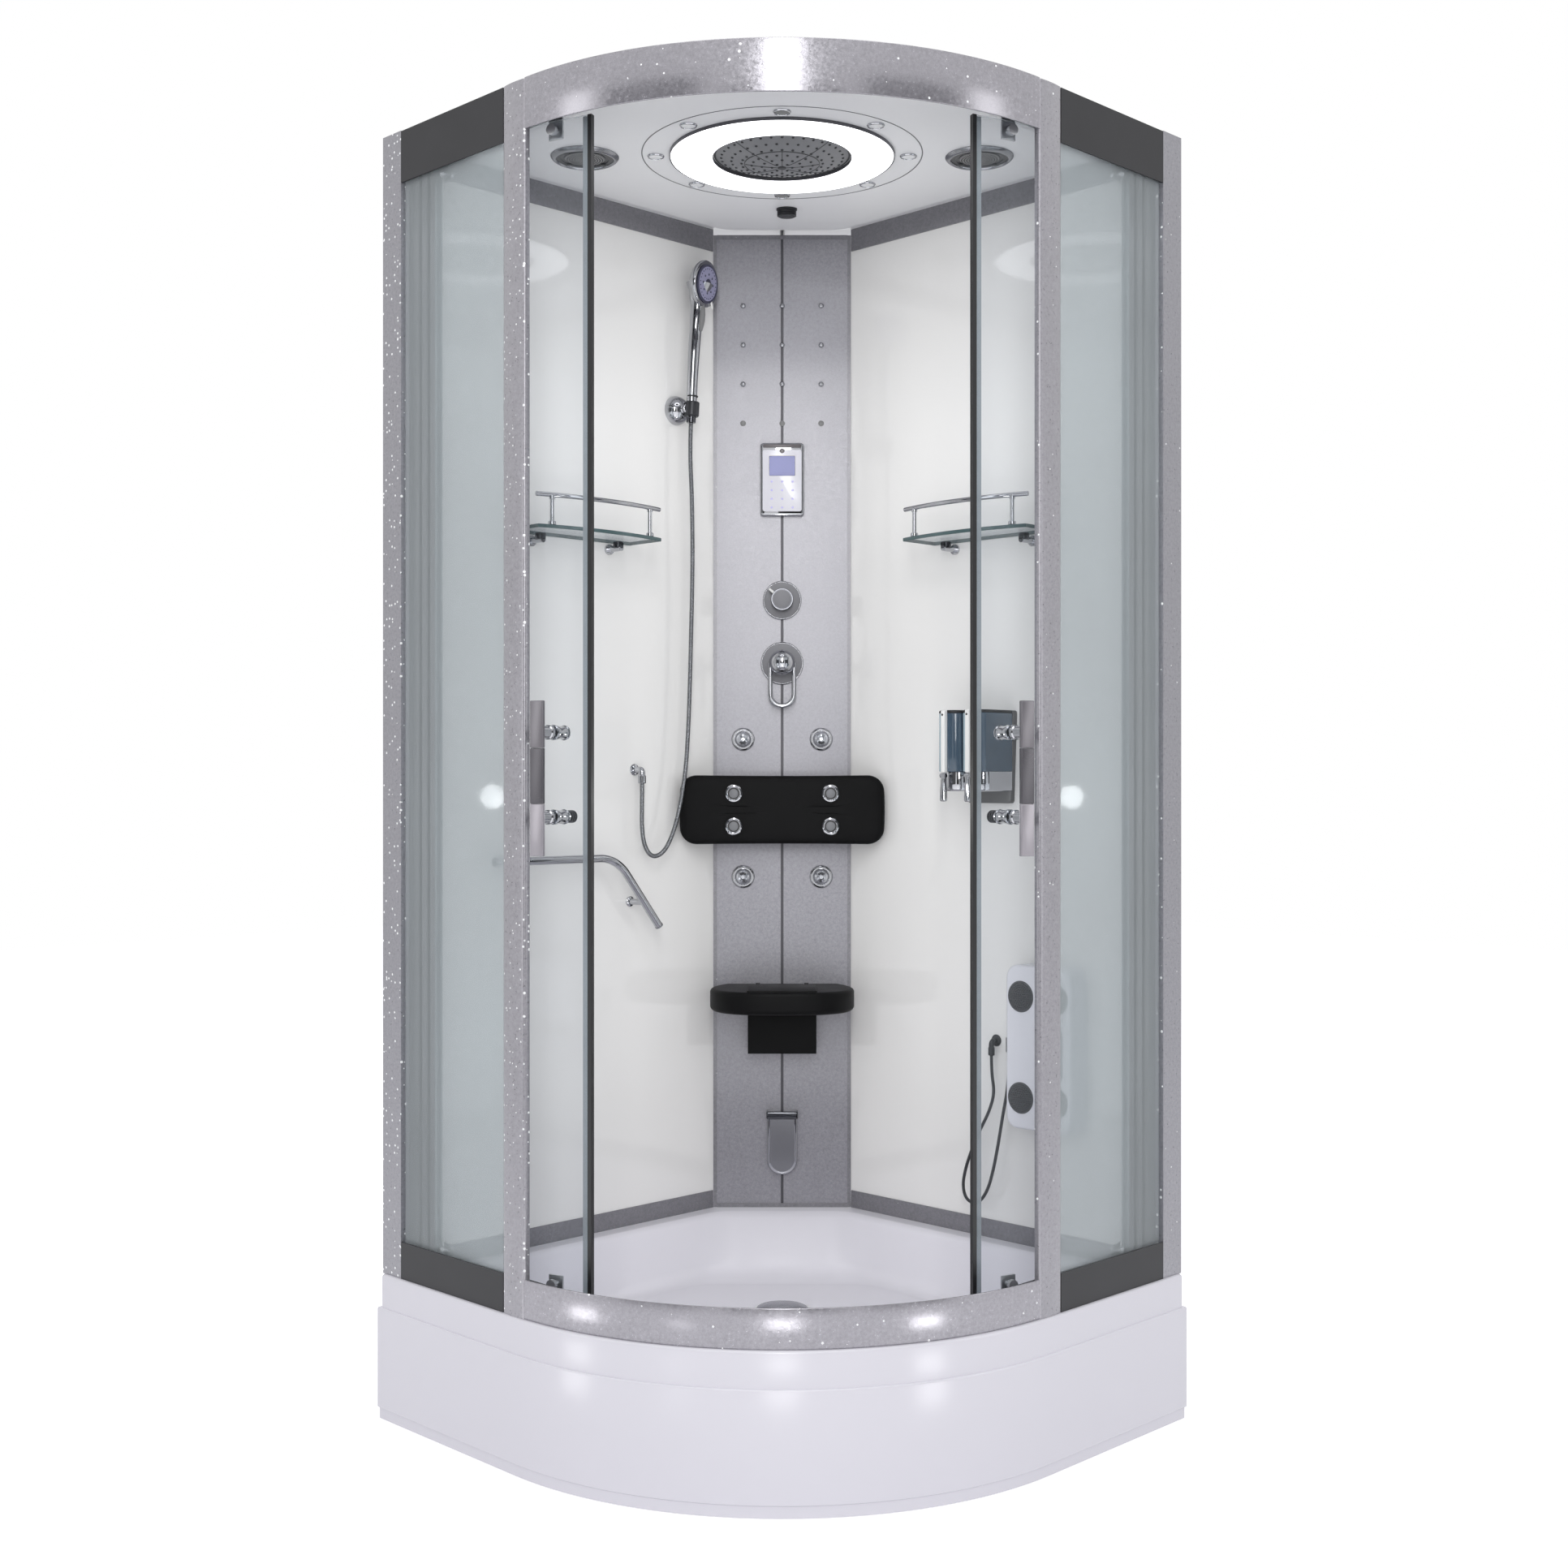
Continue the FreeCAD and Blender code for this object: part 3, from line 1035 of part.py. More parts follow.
def make_valves():
    plates = []
    for name, radius, up in (("diverter_plate", d.diverter_plate, diverter_height),
                             ("mixer_plate", d.mixer_plate, mixer_height)):
        plate = turned(name, [(0, 0), (radius, 0), (radius, d.plate_thick - 3),
                              (radius - 5, d.plate_thick), (0, d.plate_thick)])
        plates.append(place(plate, COLUMN, 0, d.column_face, up))
    node(grouped("plates", plates), "valve_plates")

    r = d.diverter_knob_radius
    long, edge = d.diverter_knob_long, d.knob_edge
    knob = turned("knob", [(0, 0), (r, 0), (r, long - edge), (r - edge, long), (0, long)])
    place(knob, COLUMN, 0, d.column_face + d.plate_thick + d.fit, diverter_height)
    pointer = new_body("pointer")
    root_half, tip_half = d.pointer_root / 2, d.pointer_tip / 2
    pad(pointer, "XZ", [(0, -root_half), (d.pointer_long, -tip_half), (d.pointer_long, tip_half),
                        (0, root_half)], d.pointer_thick, offset=d.pointer_out)
    place(pointer, COLUMN, 0, d.column_face + d.plate_thick + d.fit, diverter_height)
    lean = FreeCAD.Rotation(FreeCAD.Vector(0, 1, 0), -POINTER_TURN)
    pointer.Placement.Rotation = pointer.Placement.Rotation.multiply(lean)
    node(fused("knob_whole", [knob, pointer]), "diverter_knob")

    # the stem turns on its plate, and the handle, a hollow ball with a loop, tilts on the stem
    seat, centre, pin = d.column_face + d.plate_thick + d.fit, d.ball_centre, d.mixer_pin
    knuckle, neck = d.stem_knuckle, d.stem_neck
    stem = turned("stem", [(0, 0), (neck + 6, 0), (neck + 6, 3), (neck, 6),
                           (neck, centre - root(knuckle * knuckle - neck * neck)),
                           (0, centre + knuckle)], {4: knuckle})
    cross = new_sketch(stem, "YZ", "stem_bore", knuckle + 5)
    add_circle(cross, pin + d.running, -centre, 0)
    feature(stem, "Pocket", cross, "stem_hole", Length=knuckle * 2 + 10)
    node(place(stem, COLUMN, 0, seat, mixer_height), "mixer_stem")

    outer, mouth = d.ball_radius, d.ball_mouth
    inner = outer - d.ball_wall
    ball = turned("ball", [(root(inner * inner - mouth * mouth), centre - mouth),
                           (root(outer * outer - mouth * mouth), centre - mouth),
                           (0, centre + outer), (0, centre + inner)], {1: outer, 3: -inner})
    across = d.lever_width / 2 - d.lever_rod
    place(ball, COLUMN, 0, seat, mixer_height)
    loop = place(shaped("lever_loop", lever_shape(float(across), float(d.lever_rod),
                                                  float(d.lever_drop))),
                 COLUMN, 0, seat + d.lever_out, mixer_height)
    shaft = place(grouped("mixer_shaft", [rod("mixer_axle", -inner - 1, -centre, 0, pin,
                                              (inner + 1) * 2, "x")]),
                  COLUMN, 0, seat, mixer_height)
    node(fused("mixer_whole", [ball, loop, shaft]), "mixer_handle")


def lever_shape(across, rod_radius, drop):
    """A loop of round bar that hangs from the ball's two sides."""
    low = across - drop + rod_radius
    top_left, low_left = FreeCAD.Vector(-across, 0, 0), FreeCAD.Vector(-across, 0, low)
    low_right, top_right = FreeCAD.Vector(across, 0, low), FreeCAD.Vector(across, 0, 0)
    wire = Part.Wire([Part.LineSegment(top_left, low_left).toShape(),
                      Part.Arc(low_left, FreeCAD.Vector(0, 0, low - across), low_right).toShape(),
                      Part.LineSegment(low_right, top_right).toShape()])
    return pipe_along(wire, rod_radius)


def pipe_along(wire, radius):
    """A solid round pipe along a wire of straight and round edges."""
    start = wire.Edges[0]
    point = start.valueAt(start.FirstParameter)
    tangent = start.tangentAt(start.FirstParameter)
    section = Part.Wire([Part.makeCircle(radius, point, tangent)])
    return wire.makePipeShell([section], True, False)


def make_jets():
    r = d.jet_ring
    hole = d.jet_ball + d.jet_gap
    ring = turned("jet_ring", [(hole, 0), (r, 0), (r, 2), (r - 3, 5), (hole, 5)])
    places = [(side * d.jet_along, d.column_face, up)
              for up in (jet_high, jet_low) for side in (-1, 1)]
    place(ring, COLUMN, *places[0])
    node(copies("jet_rings", ring, COLUMN, places), "body_jet_rings")

    ball, out = d.jet_ball, d.jet_centre
    tip = root(ball * ball - 36)
    jet = turned("jet", [(0, out - ball), (6, out + tip), (4, out + tip + 3), (0, out + tip + 3)],
                 {0: ball})
    for name, (along, base, up) in zip(("body_jet_upper_left", "body_jet_upper_right",
                                        "body_jet_lower_left", "body_jet_lower_right"), places):
        link = doc.addObject("App::Link", name + "_link")
        link.LinkedObject = jet
        node(grouped(name, [place(link, COLUMN, along, base, up)]), name)
    place(jet, COLUMN, *places[0])


def make_cushion():
    """Padded backrest: crowned front, rounded ends and sides drawn in between the corners."""
    bulge = float(d.cushion_bulge)
    long, tall = float(d.cushion_long) / 2 - bulge, float(d.cushion_tall) / 2
    thick, crown, draw = float(d.cushion_thick), float(d.cushion_crown), float(d.cushion_draw)
    sections = []
    for depth, inset in ((0, crown), (thick * 0.3, 0), (thick * 0.7, 0), (thick - crown, crown),
                         (thick, float(d.cushion_edge))):
        x, y, pull, r = long - inset, tall - inset, draw, float(d.cushion_corner) - inset * 0.6
        level = -depth
        edges = []
        straights = [(FreeCAD.Vector(sx * x, level, sy * (y - r)),
                      FreeCAD.Vector(sx * (x - r), level, sy * y))
                     for sx, sy in ((1, -1), (1, 1), (-1, 1), (-1, -1))]
        (a1, a2), (b1, b2), (c1, c2), (e1, e2) = straights
        bend = r * (1 - math.sqrt(0.5))

        def corner_arc(start, end, sx, sy):
            middle = FreeCAD.Vector(sx * (x - bend), level, sy * (y - bend))
            return Part.Arc(start, middle, end).toShape()

        edges.append(Part.Arc(a1, FreeCAD.Vector(x + bulge, level, 0), b1).toShape())
        edges.append(corner_arc(b1, b2, 1, 1))
        edges.append(Part.Arc(b2, FreeCAD.Vector(0, level, y - pull), c2).toShape())
        edges.append(corner_arc(c2, c1, -1, 1))
        edges.append(Part.Arc(c1, FreeCAD.Vector(-x - bulge, level, 0), e1).toShape())
        edges.append(corner_arc(e1, e2, -1, -1))
        edges.append(Part.Arc(e2, FreeCAD.Vector(0, level, -y + pull), a2).toShape())
        edges.append(corner_arc(a2, a1, 1, -1))
        sections.append(Part.Wire(edges))
    pillow = Part.makeLoft(sections, True, True)
    for side in (-1, 1):
        for up in (-1, 1):
            foot = FreeCAD.Vector(side * float(d.cushion_jet_along), 5, up * float(d.cushion_jet_up))
            pillow = pillow.cut(Part.makeCylinder(float(d.stem_radius + d.fit), thick + 10, foot,
                                                  FreeCAD.Vector(0, -1, 0)))
    cushion = shaped("cushion", pillow)
    node(place(cushion, COLUMN, 0, d.cushion_back, cushion_height), "backrest_cushion")

    stem, ring = d.stem_radius, d.cushion_jet_ring
    reach = d.cushion_back - d.column_face + d.cushion_thick + d.fit
    jet = turned("cushion_jet", [(0, 0), (stem + 3, 0), (stem + 3, 4), (stem, 4), (stem, reach),
                                 (ring, reach), (ring, reach + 2), (ring - 4, reach + 5),
                                 (6, reach + 5), (6, reach + 3), (0, reach + 3)])
    places = [(side * d.cushion_jet_along, d.column_face, cushion_height + up * d.cushion_jet_up)
              for side in (-1, 1) for up in (-1, 1)]
    place(jet, COLUMN, *places[0])
    node(copies("cushion_jet_set", jet, COLUMN, places), "cushion_jets")


def make_seat():
    wide, waist = d.seat_width / 2, d.seat_waist
    body = place(new_body("seat"), COLUMN)
    nose, bow = d.seat_nose / 2, d.seat_bow
    corners = [(-wide * 0.8, -d.seat_back), (-wide, -waist), (-nose, bow - d.seat_front),
               (nose, bow - d.seat_front), (wide, -waist), (wide * 0.8, -d.seat_back)]
    rise = (nose * nose + bow * bow) / (2 * bow)
    pad(body, "XY", corners, d.seat_top - d.seat_low,
        {1: d.seat_flank, 2: rise, 3: d.seat_flank}, d.seat_low)
    mid = d.bracket_width / 2
    pad(body, "XY", box_loop(-mid, d.seat_raise_in - d.seat_front, mid, -d.seat_back), d.seat_raise,
        offset=d.seat_top)
    # room for the bracket's ears, also when the seat is folded up
    ear_in, ear_out = d.ear_in - 1, d.ear_in + d.ear_thick + 1
    top = d.seat_top + d.seat_raise
    for side in (-1, 1):
        cut(body, "XY", box_loop(side * ear_in if side > 0 else -ear_out, -d.pin_out - d.ear_room,
                                 side * ear_out if side > 0 else -ear_in, -d.seat_back + 5),
            top - d.seat_low + 2, offset=top + 1)
    sketch = new_sketch(body, "YZ", "pin_bore", -wide - 5)
    add_circle(sketch, d.pin_radius + d.fit / 3, -d.pin_out, d.pin_height)
    hole = feature(body, "Pocket", sketch, "pin_hole", Length=d.seat_width + 10)
    hole.Reversed = True
    node(body, "seat_board")

    bracket = place(new_body("bracket"), COLUMN)
    pad(bracket, "XY", box_loop(-mid, -d.bracket_front, mid, -d.column_face),
        d.seat_low - d.fit - d.bracket_low, offset=d.bracket_low)
    for side in (-1, 1):
        inner, outer = side * d.ear_in, side * (d.ear_in + d.ear_thick)
        first, last = (inner, outer) if side > 0 else (outer, inner)
        pad(bracket, "XY", box_loop(first, -d.pin_out - 10, last, -d.column_face),
            d.pin_height + 8 - d.seat_low + d.fit, offset=d.seat_low - d.fit)
    pin = rod("seat_pin", -d.ear_in - d.ear_thick - 10, -d.pin_out, d.pin_height, d.pin_radius,
              (d.ear_in + d.ear_thick + 10) * 2, "x")
    node(fused("bracket_whole", [bracket, on_column("pin_group", pin)]), "seat_bracket")


def on_column(name, piece):
    return place(grouped(name, [piece]), COLUMN)


def make_spout():
    wide = d.spout_width / 2
    body = place(new_body("spout"), COLUMN, 0, d.column_face, 0)
    pad(body, "XZ", [(-wide, d.spout_low + wide), (wide, d.spout_low + wide),
                     (wide, d.spout_high - d.spout_cap), (-wide, d.spout_high - d.spout_cap)],
        d.spout_thick, {0: wide * 1.0001})
    cap = place(new_body("spout_cap"), COLUMN, 0, d.column_face, 0)
    pad(cap, "XZ", box_loop(-wide - 1, d.spout_high - d.spout_cap, wide + 1, d.spout_high),
        d.spout_thick + 8)
    stub = rod("spout_stub", 0, -d.column_face, d.steam_height, d.steam_pipe, d.column_thick, "y")
    node(fused("spout_whole", [body, cap, on_column("stub_group", stub)]), "steam_outlet")


# ---- behind the column ----------------------------------------------------------------------

def make_services():
    back = d.column_face - d.column_thick
    wide = d.boiler_width / 2
    boiler = place(new_body("boiler"), COLUMN)
    step = pad(boiler, "XY", box_loop(-wide, -back, wide, d.boiler_depth - back),
               d.boiler_high - d.boiler_low, offset=d.boiler_low)
    soften(boiler, step, 4, FreeCAD.Vector(0, 0, 1), lambda p: p.y > float(-back) + 10)
    node(boiler, "steam_generator")

    side = d.block_width / 2
    block_mid = back - d.block_depth / 2
    parts = [block("valve_block", -side, -back, block_low, d.block_width, d.block_depth,
                   block_high - block_low)]
    riser_top = feed_height()
    parts.append(rod("riser", 0, -block_mid, block_high - d.block_overlap, d.feed_radius,
                     riser_top + d.feed_radius - block_high + d.block_overlap))
    parts.append(rod("feed", 0, -(d.light_out - d.rain_neck - d.fit), riser_top, d.feed_radius,
                     d.light_out - d.rain_neck - d.fit - block_mid, "y"))
    # the supplies come down beside each other and end in elbows and tails to the room corner
    low = d.boiler_high + d.tail_rise
    for turn, name in ((-1, "hot"), (1, "cold")):
        parts.append(rod("supply_" + name, turn * d.riser_along, -block_mid, low, d.pipe_radius,
                         block_low + d.block_overlap - low))
        parts.append(rod("elbow_" + name, turn * d.riser_along, -block_mid - d.tail_elbow_long / 2,
                         low, d.tail_elbow, d.tail_elbow_long, "y"))
        parts.append(rod("tail_" + name, turn * d.riser_along, d.tail_elbow_long / 2 - block_mid,
                         low, d.tail_radius, d.tail_long, "y"))
    parts.append(rod("boiler_feed", 0, -block_mid, d.boiler_high, d.feed_radius,
                     block_low + d.block_overlap - d.boiler_high))
    node(place(fused("pipes", parts), COLUMN), "water_pipes")


# ---- left wall: hand shower, hose, grab bar -------------------------------------------------

def route(points):
    """A wire of straight runs joined by arcs as large as the runs allow, and its radii."""
    vectors = [FreeCAD.Vector(*point) for point in points]
    edges, radii, start = [], [], vectors[0]
    for before, corner, after in zip(vectors, vectors[1:], vectors[2:]):
        back, ahead = before - corner, after - corner
        turn = math.pi - back.getAngle(ahead)
        cut_back = 0.45 * min(back.Length, ahead.Length)
        radius = cut_back / math.tan(turn / 2)
        first = corner + back.normalize() * cut_back
        last = corner + ahead.normalize() * cut_back
        axis = (first + last) / 2 - corner
        middle = corner + axis.normalize() * (radius / math.cos(turn / 2) - radius)
        edges.append(Part.LineSegment(start, first).toShape())
        edges.append(Part.Arc(first, middle, last).toShape())
        radii.append(radius)
        start = last
    edges.append(Part.LineSegment(start, vectors[-1]).toShape())
    return Part.Wire(edges), radii


def hose(name, points, radius):
    wire, radii = route(points)
    tube = pipe_along(wire, radius)
    ratio = tube.Volume / (math.pi * radius ** 2 * wire.Length)
    print("%s: length %.1f, volume over section times length %.4f" % (name, wire.Length, ratio))
    print("%s: arc radii %s" % (name, ", ".join("%.0f" % radius for radius in radii)))
    return node(shaped(name + "_tube", tube), name)


def make_hand_shower():
    along, up = -d.holder_along, holder_height
    r, out = d.holder_radius, d.holder_out
    dome = (r * r + out * out) / (2 * out)
    tip = d.holder_tip
    holder = turned("holder", [(0, 0), (r, 0), (tip, out - 1), (tip, out + tip),
                               (0, out + tip)], {1: dome * 1.02})
    node(place(holder, LEFT, along, d.panel_face, up), "handset_holder")

    low, high = float(hand_low), float(head_height)
    base = FreeCAD.Vector(float(d.hand_aside - d.holder_along), -float(d.hand_out), low)
    head = FreeCAD.Vector(-float(d.head_along), -float(d.panel_face + d.head_out), high)
    face = FreeCAD.Vector(*SPRAY_WAY).normalize()
    thick = float(d.head_thick)
    nape = head - face * thick * 0.45
    axis = (nape - base).normalize()
    reach = (nape - base).Length
    swell = float(d.grip_radius + d.grip_swell)
    grip = Part.makeCone(float(d.grip_radius), swell, float(d.grip_long), base, axis)
    neck = Part.makeCone(swell, float(d.neck_radius), reach - float(d.grip_long),
                         base + axis * float(d.grip_long), axis)
    nut = Part.makeCylinder(float(d.nut_round), float(d.nut_long), base - axis, axis)
    disc = Part.makeCone(float(d.head_radius) * 0.72, float(d.head_radius), thick * 0.6,
                         head - face * thick * 0.6, face)
    rim = Part.makeCylinder(float(d.head_radius), thick * 0.25, head, face)
    # the cradle on the holder's ball that grips the handset
    stop, hold = float(d.panel_face + out + tip + d.fit), float(d.cradle_long)
    ball_tip = FreeCAD.Vector(-float(d.holder_along), -stop, float(up))
    aside = FreeCAD.Vector(float(d.hand_aside), 0, -hold / 2)
    cradle = Part.makeCylinder(float(d.cradle_radius), hold, ball_tip + aside, axis)
    whole = grip.fuse([neck, nut, disc, rim, cradle])
    # nothing reaches behind the holder's tip beside it, or past the face
    behind = Part.makeBox(4 * hold, stop, hold * 3, ball_tip - FreeCAD.Vector(2 * hold, 0, 2 * hold))
    front = Part.makeCylinder(float(d.head_radius) * 2, thick, head + face * thick * 0.25, face)
    whole = whole.cut(behind).cut(front)
    node(place(shaped("handset", whole), LEFT), "hand_shower")

    start = head + face * (thick * 0.25 + float(d.fit))
    plate = Part.makeCylinder(float(d.spray_radius), float(d.spray_thick), start, face)
    side = FreeCAD.Vector(*LEVER_WAY)
    width = float(d.spray_lever_wide)
    lever = Part.makeBox(float(d.spray_lever_long), width, width * 0.7,
                         FreeCAD.Vector(0, -width / 2, float(d.fit)))
    reach_side = (side - face * side.dot(face)).normalize()
    spin = FreeCAD.Rotation(reach_side, face.cross(reach_side), face, "ZXY")
    lever.Placement = FreeCAD.Placement(start + reach_side * (float(d.spray_radius) - 1), spin)
    node(place(shaped("spray", plate.fuse(lever)), LEFT), "spray_selector")

    exit_at, ahead = base - axis, base - axis * 46
    return [wall_point(LEFT, point.x, -point.y, point.z) for point in (exit_at, ahead)]


def make_elbows():
    pieces = []
    for name, spin, along, up, out, r in (
            ("shower_elbow", LEFT, -d.elbow_along, d.elbow_height, d.elbow_out, d.elbow_radius),
            ("foot_elbow", RIGHT, inlet_along, d.inlet_height, d.inlet_out, d.elbow_radius * 0.8)):
        depth = out - d.panel_face
        flange = rod(name + "_flange", 0, -4, 0, d.elbow_flange, 4, "y")
        arm = rod(name + "_arm", 0, -depth, 0, r * 0.8, depth, "y")
        body = rod(name + "_body", 0, -depth, -d.elbow_drop, r, d.elbow_drop + 8)
        whole = fused(name, [flange, arm, body])
        pieces.append(place(whole, spin, along, d.panel_face, up))
    node(grouped("elbows", pieces), "hose_elbows")


def wall_point(spin, along, out, up):
    turn = math.radians(spin)
    cos, sin = math.cos(turn), math.sin(turn)
    return (-float(half) + along * cos + out * sin, float(half) + along * sin - out * cos, up)


def make_hoses(exit_points):
    low = float(d.elbow_height - d.elbow_drop)
    x, y, z = wall_point(LEFT, -float(d.elbow_along), float(d.elbow_out), low)
    # how it hangs: along the wall, out of it, and the share of the way up to the hand shower
    route = [(-292, 66, 0.8422), (-289, 64, 0.6409), (-291, 62, 0.4395), (-295, 62, 0.2382),
             (-303, 63, 0.0537), (-316, 62, -0.0637), (-333, 61, -0.1510), (-354, 60, -0.2047),
             (-379, 58, -0.2181), (-395, 55, -0.1829), (-399, 53, -0.1225)]
    hang = exit_points[-1][2] - low
    points = exit_points + [wall_point(LEFT, along, out, low + share * hang)
                            for along, out, share in route]
    points += [(x, y, z - float(d.hose_end)), (x, y, z)]
    hose("shower_hose", points, float(d.hose_radius))

    inlet = wall_point(RIGHT, float(inlet_along), float(d.inlet_out),
                       float(d.inlet_height - d.elbow_drop))
    left = float(foot_centre - d.foot_width / 2)
    port = wall_point(RIGHT, left - 9, float(d.panel_face) + 22, float(d.foot_height) - 14)
    # how it hangs: back from the side, out of the wall, and the height
    route = [(345, 49, 478), (353, 53, 446), (370, 56, 414), (386, 58, 380),
             (400, 59, 344), (406, 60, 312), (396, 60, 289), (372, 59, 288),
             (353, 58, 312), (341, 57, 350), (332, 55, 396), (323, 54, 446)]
    inlet_drop, port_drop = (inlet[0], inlet[1], 510), (port[0], port[1], 500)
    points = [inlet, inlet_drop] + [wall_point(RIGHT, float(d.tray_side) - back, out, up)
                                    for back, out, up in route] + [port_drop, port]
    hose("massager_hose", points, float(d.foot_hose_radius))


def make_grab_bar():
    out, up = float(d.bar_out), float(d.bar_height)
    left, bend = -float(d.bar_left), -float(d.bar_bend)
    tip = FreeCAD.Vector(-float(d.bar_tip_along), -out, up - float(d.bar_tip_drop))
    corner = FreeCAD.Vector(bend, -out, up)
    start = FreeCAD.Vector(left, -out, up)
    back, ahead = (start - corner).normalize(), (tip - corner).normalize()
    turn = math.pi - back.getAngle(ahead)
    radius = float(d.bar_bend_radius)
    away = radius * math.tan(turn / 2)
    first, last = corner + back * away, corner + ahead * away
    axis = ((first + last) / 2 - corner).normalize()
    middle = corner + axis * (radius / math.cos(turn / 2) - radius)
    wire = Part.Wire([Part.LineSegment(start, first).toShape(),
                      Part.Arc(first, middle, last).toShape(),
                      Part.LineSegment(last, tip).toShape()])
    bar = pipe_along(wire, float(d.bar_radius))
    low = up - float(d.bar_foot_drop)
    share = (up - low) / (up - tip.z)
    feet = [FreeCAD.Vector(-float(d.bar_foot_left), -out, up), corner + (tip - corner) * share]
    face = float(d.panel_face)
    for foot in feet:
        wall = FreeCAD.Vector(foot.x, -face, foot.z)
        bar = bar.fuse(Part.makeCylinder(float(d.bar_foot_radius), out - face, wall,
                                         FreeCAD.Vector(0, -1, 0)))
        bar = bar.fuse(Part.makeCylinder(float(d.bar_flange), float(d.flange_deep), wall,
                                         FreeCAD.Vector(0, -1, 0)))
    node(place(shaped("bar", bar), LEFT), "grab_bar")


# ---- both walls: shelves --------------------------------------------------------------------

def make_shelves():
    middle, reach = d.shelf_centre, d.shelf_long / 2
    out, bow = d.shelf_out, d.shelf_bow
    arch = (reach * reach + bow * bow) / (2 * bow)
    glass = at_corner(new_body("shelf"))
    pad(glass, "XY", [(middle - reach, -d.panel_face), (middle - reach, -out),
                      (middle + reach, -out), (middle + reach, -d.panel_face)],
        d.shelf_glass, {1: arch}, d.shelf_height)
    node(grouped("shelf_pair", [glass, mirrored("shelf_twin", glass)]), "shelf_glasses")

    line = float(out - d.shelf_rail_in)
    x0, x1 = float(middle - reach), float(middle + reach)
    peak = line + float(bow)
    up = float(d.shelf_height + d.shelf_rail_up)
    curve = Part.Arc(FreeCAD.Vector(x0, -line, up), FreeCAD.Vector(float(middle), -peak, up),
                     FreeCAD.Vector(x1, -line, up))
    rail = pipe_along(Part.Wire([curve.toShape()]), float(d.shelf_rod))
    spread = float(d.shelf_post_along)
    radius = ((x1 - x0) ** 2 / 4 + float(bow) ** 2) / (2 * float(bow))
    sag = radius - math.sqrt(radius ** 2 - spread ** 2)
    top = float(d.shelf_height + d.shelf_glass)
    for side in (-1, 1):
        foot = FreeCAD.Vector(float(middle) + side * spread, -(peak - sag), top)
        rail = rail.fuse(Part.makeCylinder(float(d.shelf_post), up - top, foot))
        rail = rail.fuse(Part.makeCylinder(float(d.shelf_collar), float(d.shelf_rail_in), foot))
    brackets = [rail]
    face = float(d.panel_face)
    low, puck = float(d.shelf_height), float(d.puck_tall)
    for side in (-1, 1):
        wall = FreeCAD.Vector(float(middle) + side * float(d.bracket_along), -face, low - puck)
        out_way, wide = FreeCAD.Vector(0, -1, 0), float(d.bracket_radius)
        arm = Part.makeCylinder(wide, float(d.flange_deep), wall, out_way)
        arm = arm.fuse(Part.makeCylinder(float(d.bracket_rod), float(d.bracket_reach), wall, out_way))
        pad_top = wall + out_way * float(d.puck_out)
        arm = arm.fuse(Part.makeCylinder(wide, puck, pad_top))
        brackets.append(arm)
    set_right = place(shaped("shelf_metal", Part.makeCompound(brackets)), RIGHT)
    node(grouped("shelf_metals", [set_right, mirrored("shelf_metal_twin", set_right)]),
         "shelf_rails")


# ---- right wall: dispenser and foot massager ------------------------------------------------

def make_dispenser():
    face, middle = d.panel_face, d.soap_centre
    wide = d.soap_width / 2
    pieces = []
    plate = at_corner(new_body("soap_plate"))
    pad(plate, "XZ", [(middle - wide + 6, d.soap_low), (middle + wide - 6, d.soap_low),
                      (middle + wide, d.soap_high), (middle - wide, d.soap_high)],
        d.soap_plate, offset=face)
    pieces.append(plate)
    tank = d.tank_width / 2
    front = face + d.soap_plate + d.soap_depth
    for side in (-1, 1):
        centre = middle + side * (tank + 2)
        name = "tank_right" if side > 0 else "tank_left"
        body = at_corner(new_body(name))
        back = face + d.soap_plate
        round_out = front - 14
        rise = (tank * tank + 14 * 14) / 28
        pad(body, "XY", [(centre - tank, -back), (centre - tank, -round_out),
                         (centre + tank, -round_out), (centre + tank, -back)],
            d.soap_high - d.soap_split, {1: rise}, d.soap_split)
        recess = round_out - d.lever_travel
        pad(body, "XY", [(centre - tank, -back), (centre - tank, -recess),
                         (centre + tank, -recess), (centre + tank, -back)],
            d.soap_split - d.soap_low - 20, {1: rise}, d.soap_low + 20)
        rib = d.rib_width / 2
        pad(body, "XY", box_loop(centre - rib, -front - d.rib_thick, centre + rib, -front + 4),
            d.soap_high - d.lever_high, offset=d.lever_high)
        pieces.append(body)
        lever = at_corner(new_body("push_" + name))
        lever_side = d.lever_wide / 2
        rear = front + d.lever_gap
        pad(lever, "XZ", box_loop(centre - lever_side, d.lever_low, centre + lever_side,
                                  d.lever_high - d.lever_gap), d.rib_thick, offset=rear)
        node(lever, "dispenser_lever_right" if side > 0 else "dispenser_lever_left")
    node(grouped("soap", pieces), "soap_dispenser")


